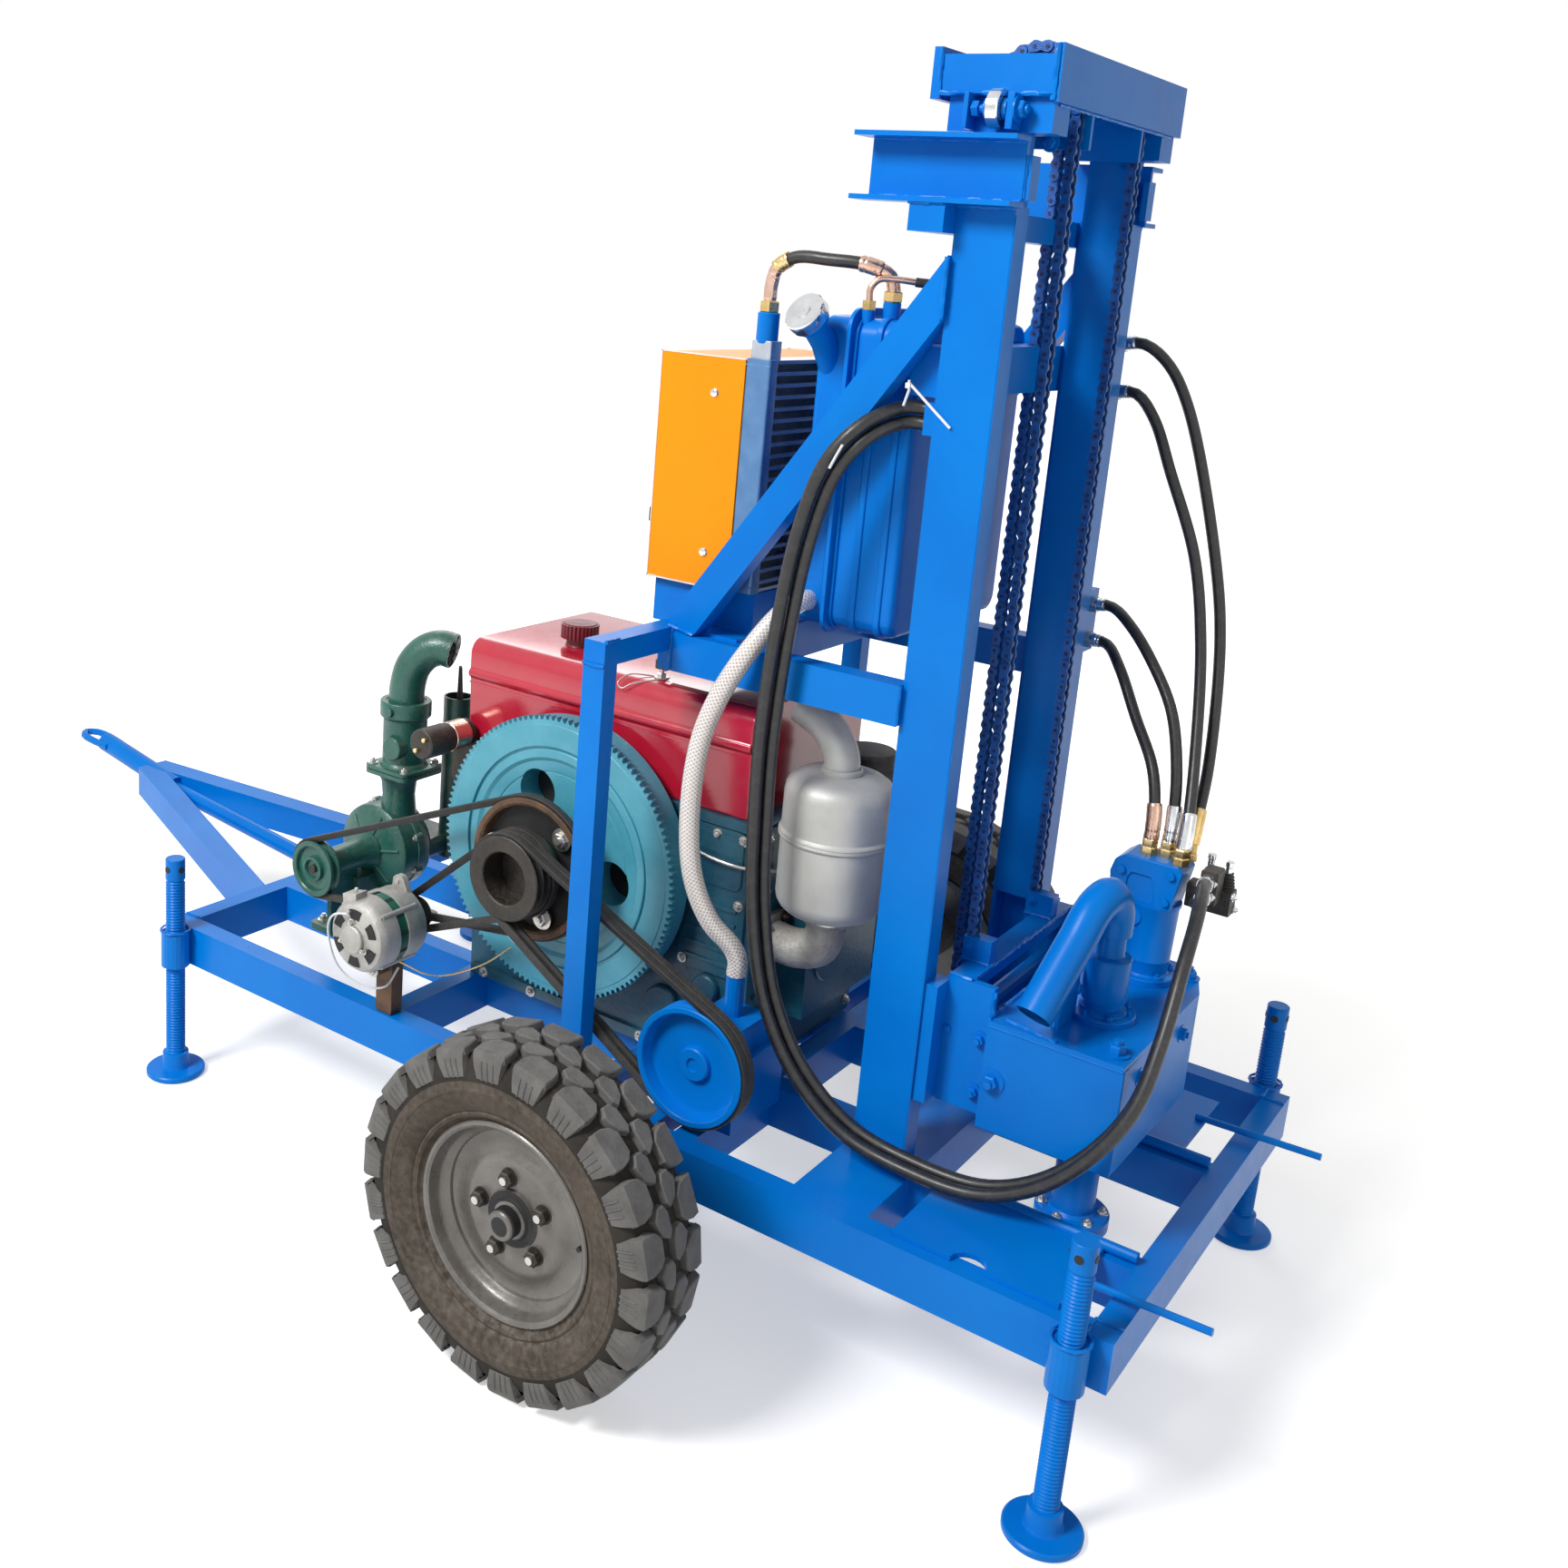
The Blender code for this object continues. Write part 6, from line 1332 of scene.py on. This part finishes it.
# Pale pink strips along the shroud's edges: painted highlight on its rim.
RIM_HIGHLIGHT = material("shroud_edge_painted_highlight", (0.8, 0.66, 0.56), (0.86, 0.74, 0.66), 30, (0.4, 0.6), 0, 0.1, 300)
make("shroud_highlight_lip", [box(x0, x1, y0, y1, z0, z1) for y0, y1 in ((-0.2072, -0.205), (0.194, 0.1962))
    for x0, x1, z0, z1 in ((-0.0385, 0.1268, 1.177, 1.1795), (-0.0385, -0.0366, 1.177, 1.559),
    (-0.0385, 0.1268, 1.5566, 1.559))], RIM_HIGHLIGHT)
FAN = (-0.005, 1.369)
blades = []
for k in range(7):
    a = 2 * pi * k / 7
    quad = []
    for r, w, tilt in ((0.034, 0.016, 0.014), (0.15, 0.04, 0.01)):
        for s in (-1, 1):
            b = a + s * w / r
            quad.append((0.052 + s * tilt, FAN[0] + r * cos(b), FAN[1] + r * sin(b)))
    top = [(x + 0.0016, y, z) for x, y, z in quad]
    blades.append((quad + top, [(0, 1, 3, 2), (4, 6, 7, 5), (0, 4, 5, 1), (2, 3, 7, 6), (0, 2, 6, 4),
        (1, 5, 7, 3)]))
make("fan_blades", blades + [cyl("x", FAN, 0.04, 0.03, 0.075, 40, 0.003)], BLACK_AND_HOLLOW_SHADE)
guard = []
for r in (0.045, 0.07, 0.095, 0.12, 0.145, 0.168):
    ring = circle(FAN, r, 60)
    guard.append(sweep([(-0.0405, *c) for c in ring + ring[:1]], 0.0016, 6))
for p, q in zip(circle(FAN, 0.04, 6, 30), circle(FAN, 0.178, 6, 30)):
    guard.append(sweep([(-0.0425, *p), (-0.0425, *q)], 0.002, 6))
make("fan_guard", guard, DARK, "chassis", 40)
make("fan_terminals",
    [box(-0.052, -0.037, -0.192, -0.16, 1.268, 1.292),
    cyl("z", (-0.045, -0.18), 0.0075, 1.225, 1.262, 20, 0.001)], DARK)
make("fan_clip", [cyl("z", (-0.045, -0.18), 0.008, 1.262, 1.269, 20, 0.001)], BRASS)

# Oil tank: two pressed halves with rounded corners, the welded seam flange, filler and ports
make("tank_halves", [round_box(0.248, 0.307, -0.195, 0.195, 1.15, 1.64, 0.03, "x", 8),
    round_box(0.313, 0.4282, -0.195, 0.195, 1.15, 1.64, 0.03, "x", 8)], BLUE, replaces=("oil_tank",),
    bevel=0.012)
make("tank_seam", [round_box(0.3062, 0.3138, -0.2095, 0.2095, 1.1405, 1.6545, 0.034, "x", 8),
    round_box(0.3, 0.32, -0.1975, 0.1975, 1.1475, 1.6425, 0.031, "x", 8)], BLUE, bevel=0.0015)
ribs = [round_box(x, x + 0.012, -0.1985, 0.1985, 1.1465, 1.6435, 0.031, "x", 8) for x in (0.35, 0.395)]
make("tank_ribs", ribs, BLUE, bevel=0.003)
cap0, cap1 = Vector((0.259, -0.24, 1.632)), Vector((0.252, -0.268, 1.652))
axis = (cap1 - cap0).normalized()
make("filler_neck", [sweep([(0.268, -0.178, 1.56), (0.2655, -0.205, 1.598), tuple(cap0)], 0.0205, 32),
    sweep([tuple(cap0 - axis * 0.01), tuple(cap0)], 0.027, 36)], BLUE, "chassis", 34)
make("filler_cap", [sweep([tuple(cap0), tuple(cap0 + axis * 0.003), tuple(cap0 + axis * 0.0195),
    tuple(cap0 + axis * 0.0215)], 0.034, 48, lambda i, k: 0.955 if i in (0, 3) else 1.0),
    sweep([tuple(cap0 + axis * 0.0215), tuple(cap0 + axis * 0.0235)], 0.012, 32),
    sweep([tuple(cap0 + axis * 0.0235), tuple(cap0 + axis * 0.0245)], 0.0035, 16)], CHROME)
make("tank_port", [turned("z", TANK_PORT, [(0.014, 1.635), (0.014, 1.664), (0.013, 1.6652)], 32),
    cyl("z", (0.322, -0.176), 0.0105, 1.63, 1.652, 28, 0.001)], BLUE)
make("small_port", [cyl("z", (0.322, -0.176), 0.0115, 1.652, 1.666, 6)], BRASS)
make("small_pipe", [pipe([(0.322, -0.176, 1.664), (0.322, -0.176, 1.684), (0.332, -0.17, 1.698),
    (0.352, -0.158, 1.7), (0.392, -0.136, 1.697)], 0.005, 0.0052, 20)], COPPER, "chassis", 34)
make("small_hose", [pipe([(0.38, -0.142, 1.698), (0.42, -0.124, 1.694), (0.455, -0.11, 1.672),
    (0.468, -0.104, 1.64), (0.47, -0.104, 1.611)], 0.008, 0.0072, 20)], RUBBER, "chassis", 34)
make("tank_clip", [sweep([(0.4452, -0.2583, 1.56), (0.447, -0.259, 1.545), (0.441, -0.26, 1.522)], 0.0022,
    8), sweep([(0.4452, -0.2583, 1.556), (0.48, -0.2575, 1.528), (0.518, -0.2572, 1.498)], 0.0022, 8),
    box(0.4415, 0.449, -0.262, -0.257, 1.548, 1.556),
    sweep([(0.38, -0.321, 1.46), (0.37, -0.3215, 1.44), (0.362, -0.3215, 1.423)], 0.0022, 8)], WHITE)

# Crimped collars at the hose ends
for i, (name, path) in enumerate(far_lines):
    collar(name + "_collar", path, -0.086, -0.024, 0.0128, (BRASS, CHROME, CHROME, COPPER)[i], "carriage")
    collar(name + "_mast_collar", path, 0.0, 0.03, 0.012, CHROME, "chassis")
    make(name + "_mast_nut",
        [cyl("x", (path[0][1], path[0][2]), 0.0145, path[0][0], path[0][0] + 0.012, 6)], STEEL)
for key, path in (("a", line_a), ("b", line_b)):
    collar("pair_collar_" + key, path, -0.036, 0, 0.0128, CHROME, "carriage", True)

# Drilling head: plugs, washers, welded guide and bracket
heads = hexbolt("y", (0.698, 0.506), -0.2252, -1, 0.012, 0.01)
for x, y, r, h in ((0.872, -0.19, 0.0125, 0.014), (0.868, 0.16, 0.011, 0.012), (0.71, 0.19, 0.01, 0.01)):
    heads += hexbolt("z", (x, y), 0.6042, 1, r, h)
heads += bolts("y", -0.2102, -1, 0.0085, 0.008, (0.665, 0.56), (0.665, 0.47))
heads += bolts("x", 0.8982, 1, 0.009, 0.008, (-0.15, 0.56)) + bolts("x", 0.9002, 1, 0.009, 0.008,
    (0.04, 0.56))
heads.append(cyl("y", (0.698, 0.506), 0.0215, -0.2268, -0.225, 36))
make("head_bolts", heads, BLUE, "carriage")
make("head_lid", [box(0.6812, 0.897, -0.2262, 0.105, 0.5935, 0.5965),
    box(0.8975, 0.8992, -0.224, 0.1, 0.43, 0.597)], BLUE, "carriage", bevel=0.0008)
make("bracket_bolt", hexbolt("x", (SW[1] - 0.044, 0.655), SW[0] - 0.038, -1, 0.008, 0.006)
    + hexbolt("x", (SW[1] - 0.044, 0.655), SW[0] - 0.031, 1, 0.008, 0.006), BLUE, "carriage")
HEAD_BEADS = (
    (0.702, -0.205, 0.6046, 0.79, -0.222, 0.6046, 0.0042),
    (0.768, -0.182, 0.605, 0.768, -0.108, 0.605, 0.0036),
    (0.681, -0.224, 0.6046, 0.681, 0.208, 0.6046, 0.004),
    (0.68, -0.2105, 0.44, 0.68, -0.2105, 0.645, 0.0042),
    (0.601, -0.206, 0.6505, 0.639, -0.206, 0.6505, 0.0036),
    (0.64, -0.2, 0.6505, 0.64, 0.2, 0.6505, 0.0036),
    (0.588, -0.14, 0.6515, 0.636, -0.14, 0.6515, 0.0032),
    (0.588, 0.113, 0.6515, 0.636, 0.113, 0.6515, 0.0032),
    (0.637, -0.1395, 0.6515, 0.637, -0.1135, 0.6515, 0.0032),
)
make("head_welds", beads(HEAD_BEADS), BLUE, "carriage", 50)

# Crosshead: guide roller on its pin, uprights, welds
GUIDE = (-0.26, 1.939)
make("roller_pin", [cyl("x", GUIDE, 0.0065, 0.498, 0.582, 20, 0.001),
    *hexbolt("x", GUIDE, 0.566, 1, 0.0115, 0.009), cyl("x", GUIDE, 0.0115, 0.5, 0.51, 6),
    cyl("x", GUIDE, 0.015, 0.52, 0.5265, 28), cyl("x", GUIDE, 0.015, 0.5475, 0.554, 28)], BLUE, "inner_mast")
make("roller_wheel", [lathe("x", GUIDE, [(0.007, 0.5275), (0.0255, 0.5275), (0.027, 0.529), (0.027, 0.545),
    (0.0255, 0.5465), (0.007, 0.5465)], 48, True)], CHROME, "inner_mast")
make("roller_cheeks",
    [box(0.49, 0.4975, -0.274, -0.2443, 1.9115, 1.96), box(0.555, 0.5655, -0.274, -0.2443, 1.9115, 1.96)],
    BLUE, "inner_mast", bevel=0.001)
PAIRED_BEADS = (
    (0.442, 0.2545, 1.96, 0.612, 0.2545, 1.96, 0.0036),
    (0.6125, 0.2545, 1.952, 0.6125, 0.2545, 2.025, 0.004),
)
MIDDLE_BEADS = (
    (0.612, -0.23, 1.949, 0.612, 0.23, 1.949, 0.003),
    (0.441, -0.2545, 1.953, 0.441, -0.2545, 2.02, 0.0036),
)
make("crosshead_welds", beads(PAIRED_BEADS, (-1, 1)) + beads(MIDDLE_BEADS), BLUE, "inner_mast", 50)
make("hanger_bolts", sum([hexbolt("y", (0.575, 1.905), sy * 0.1547, sy, 0.008, 0.006) for sy in (-1, 1)],
    []), BLUE, "inner_mast")

# Frame: weld beads where tubes meet, a thin bar along a channel edge, and bolts
FRAME_BEADS = (
    (0.0215, 0.447, 1.0755, 0.0645, 0.447, 1.0755, 0.003),
    (0.064, 0.412, 1.1155, 0.064, 0.446, 1.1155, 0.0036),
    (0.064, 0.266, 1.042, 0.064, 0.266, 1.112, 0.0036),
    (0.056, 0.265, 1.116, 0.105, 0.265, 1.1075, 0.0036),
    (0.4876, 0.264, 1.65, 0.4876, 0.264, 1.738, 0.0038),
    (0.4876, 0.263, 1.042, 0.4876, 0.263, 1.104, 0.0034),
    (0.43, 0.29, 1.8098, 0.486, 0.29, 1.8098, 0.0034),
    (0.346, 0.254, 1.818, 0.583, 0.254, 1.818, 0.0026),
    (0.346, 0.254, 1.8975, 0.583, 0.254, 1.8975, 0.0026),
    (0.585, 0.25, 1.822, 0.585, 0.25, 1.879, 0.0028),
    (0.4885, 0.255, 1.809, 0.5775, 0.255, 1.809, 0.0032),
    (0.4885, 0.255, 0.3178, 0.5775, 0.255, 0.3178, 0.0036),
    (0.0225, 0.4475, 0.3175, 0.064, 0.4475, 0.3175, 0.0034),
    (-1.002, 0.405, 0.3168, -0.965, 0.405, 0.3168, 0.0028),
    (0.964, 0.407, 0.3168, 1.004, 0.407, 0.3168, 0.0028),
    (0.9645, 0.4075, 0.3168, 0.9645, 0.445, 0.3168, 0.0028),
)
make("frame_welds", beads(FRAME_BEADS, (-1, 1)), BLUE, "chassis", 50)
for corner, sx, sy in JACKS:
    ring = circle((sx * JACK_X, sy * JACK_Y), 0.0285, 18)
    bead = sweep([(*c, 0.3165) for c in ring + ring[:1]], 0.0026, 6, lambda i,
        k: 0.7 + 0.6 * hashed(i * 5 + k))
    make("collar_weld_" + corner, [bead], BLUE, "chassis", 50)
make("channel_edge", [sweep([(0.579, -0.2525, 0.33), (0.579, -0.2525, 1.8)], 0.0012, 6)], BLUE, "chassis", 50)
make("axle_nuts", bolts("z", 0.3165, 1, 0.0085, 0.008,
    *[(WX + dx, sy * 0.4265) for dx in (-0.05, 0.05) for sy in (-1, 1)]), STEEL)
make("post_bolts", sum([hexbolt("y", (0.61, 0.56), sy * 0.2003, sy, 0.01, 0.008) for sy in (-1, 1)], []),
    BLUE, "carriage")

# Engine, far side and front: covers, pump housing, ribs and bolts
far_cover = (-0.21, 0.5)
front_cover = (0.02, 0.5)
casts = [turned("y", far_cover, [(0.03, 0.1998), (0.034, 0.198), (0.07, 0.1975), (0.074, 0.1955),
    (0.095, 0.195), (0.097, 0.193), (0.097, 0.1898)], 64),
    round_box(-0.05, 0.2, 0.1898, 0.196, 0.56, 0.75, 0.022, "y"),
    round_box(-0.03, 0.18, 0.1955, 0.199, 0.58, 0.73, 0.018, "y"),
    round_box(-0.37, -0.3, 0.1898, 0.208, 0.64, 0.76, 0.014, "y"),
    cyl("z", (-0.335, 0.2), 0.012, 0.755, 0.785, 24, 0.001),
    round_box(-0.39, 0.22, 0.1898, 0.1935, 0.33, 0.372, 0.01, "y"),
    round_box(-0.392, 0.222, 0.1898, 0.1935, 0.768, 0.788, 0.006, "y"),
    turned("x", front_cover, [(0.04, -0.409), (0.044, -0.407), (0.088, -0.406), (0.098, -0.404),
    (0.098, -0.3998)], 64), round_box(-0.404, -0.3998, -0.12, 0.16, 0.64, 0.76, 0.016, "x"),
    round_box(-0.406, -0.3998, -0.18, 0.18, 0.33, 0.372, 0.008, "x")]
for x in (0.01, 0.06, 0.11, 0.16):
    casts.append(box(x - 0.003, x + 0.003, 0.1985, 0.201, 0.59, 0.72))
make("engine_covers", casts, TEAL, "chassis", 32, bevel=0.0015)
fixings = []
for c, d in zip(circle(far_cover, 0.085, 6, 15), circle(front_cover, 0.087, 6, 15)):
    fixings += hexbolt("y", c, 0.1952, 1, 0.006, 0.005) + hexbolt("x", d, -0.4058, -1, 0.006, 0.005)
fixings += bolts("y", 0.1958, 1, 0.0058, 0.005, (-0.04, 0.57), (0.19, 0.57), (-0.04, 0.74), (0.19, 0.74),
    (0.075, 0.57), (0.075, 0.74), (-0.3, 0.351), (-0.1, 0.351), (0.1, 0.351))
fixings += bolts("x", -0.4038, -1, 0.0058, 0.005, (-0.105, 0.655), (0.145, 0.655), (-0.105, 0.745),
    (0.145, 0.745))
make("engine_cover_bolts", fixings, STEEL)
make("injection_line",
    [pipe([(-0.335, 0.2, 0.783), (-0.335, 0.204, 0.806), (-0.322, 0.208, 0.812), (-0.3, 0.208, 0.8),
    (-0.286, 0.205, 0.74), (-0.27, 0.203, 0.66), (-0.24, 0.202, 0.61)], 0.006, 0.003, 10)], STEEL)

# Floor and light
def area(name, pos, target, size, power):
    d = bpy.data.lights.new(name, "AREA")
    d.shape = "RECTANGLE"
    d.size, d.size_y = size
    d.energy = power
    o = bpy.data.objects.new(name, d)
    scene.collection.objects.link(o)
    o.location = pos
    o.rotation_euler = (Vector(target) - Vector(pos)).to_track_quat("-Z", "Y").to_euler()


area("key", (-0.9, -4.3, 4.8), (0.1, 0, 0.8), (1.7, 1.7), 330)
area("fill", (4.6, -1.6, 2.0), (0.4, 0, 0.8), (2.5, 2.5), 16)
area("rim", (-3.0, 3.4, 3.8), (0, 0, 0.8), (3.0, 2.0), 60)


def seen_directly(nt):
    """1 for rays that look straight at a surface, mirror it or pass through glass."""
    rays = node(nt, "LightPath").outputs
    out = rays["Is Camera Ray"]
    for other in ("Is Glossy Ray", "Is Transmission Ray"):
        out = node(nt, "Math", {}, {0: out, 1: rays[other]}, operation="MAXIMUM").outputs["Value"]
    return out


world = bpy.data.worlds.new("studio")
scene.world = world
world.use_nodes = True
wt = world.node_tree
bg = wt.nodes["Background"]
bg.inputs["Color"].default_value = (1, 1, 1, 1)
strength = node(wt, "MapRange", {"To Min": 0.3, "To Max": 1.0}, {"Value": seen_directly(wt)})
wt.links.new(strength.outputs["Result"], bg.inputs["Strength"])
# The floor is a little below the feet, and glows white towards its edge
fm = bpy.data.meshes.new("floor")
fm.from_pydata([(-40, -40, -0.0006), (40, -40, -0.0006), (40, 40, -0.0006), (-40, 40, -0.0006)], [],
    [(0, 1, 2, 3)])
floor = bpy.data.objects.new("floor", fm)
scene.collection.objects.link(floor)
FLOOR = material("pale_floor", (0.8, 0.79, 0.77), (0.84, 0.83, 0.81), 2, (0.8, 0.9), 0, 0.0, 40, spec=0.1)
ft = FLOOR.node_tree
coords = node(ft, "TexCoord")
far = node(ft, "VectorMath", {}, {0: coords.outputs["Object"]}, operation="LENGTH").outputs["Value"]
ramp = node(ft, "MapRange", {"From Min": 1.2, "From Max": 4.0, "To Min": 0.48, "To Max": 1.0}, {"Value": far})
both = {0: seen_directly(ft), 1: ramp.outputs["Result"]}
glow = node(ft, "Math", {}, both, operation="MULTIPLY")
ft.nodes["Principled BSDF"].inputs["Emission Color"].default_value = (1, 1, 1, 1)
ft.links.new(glow.outputs["Value"], ft.nodes["Principled BSDF"].inputs["Emission Strength"])
fm.materials.append(FLOOR)
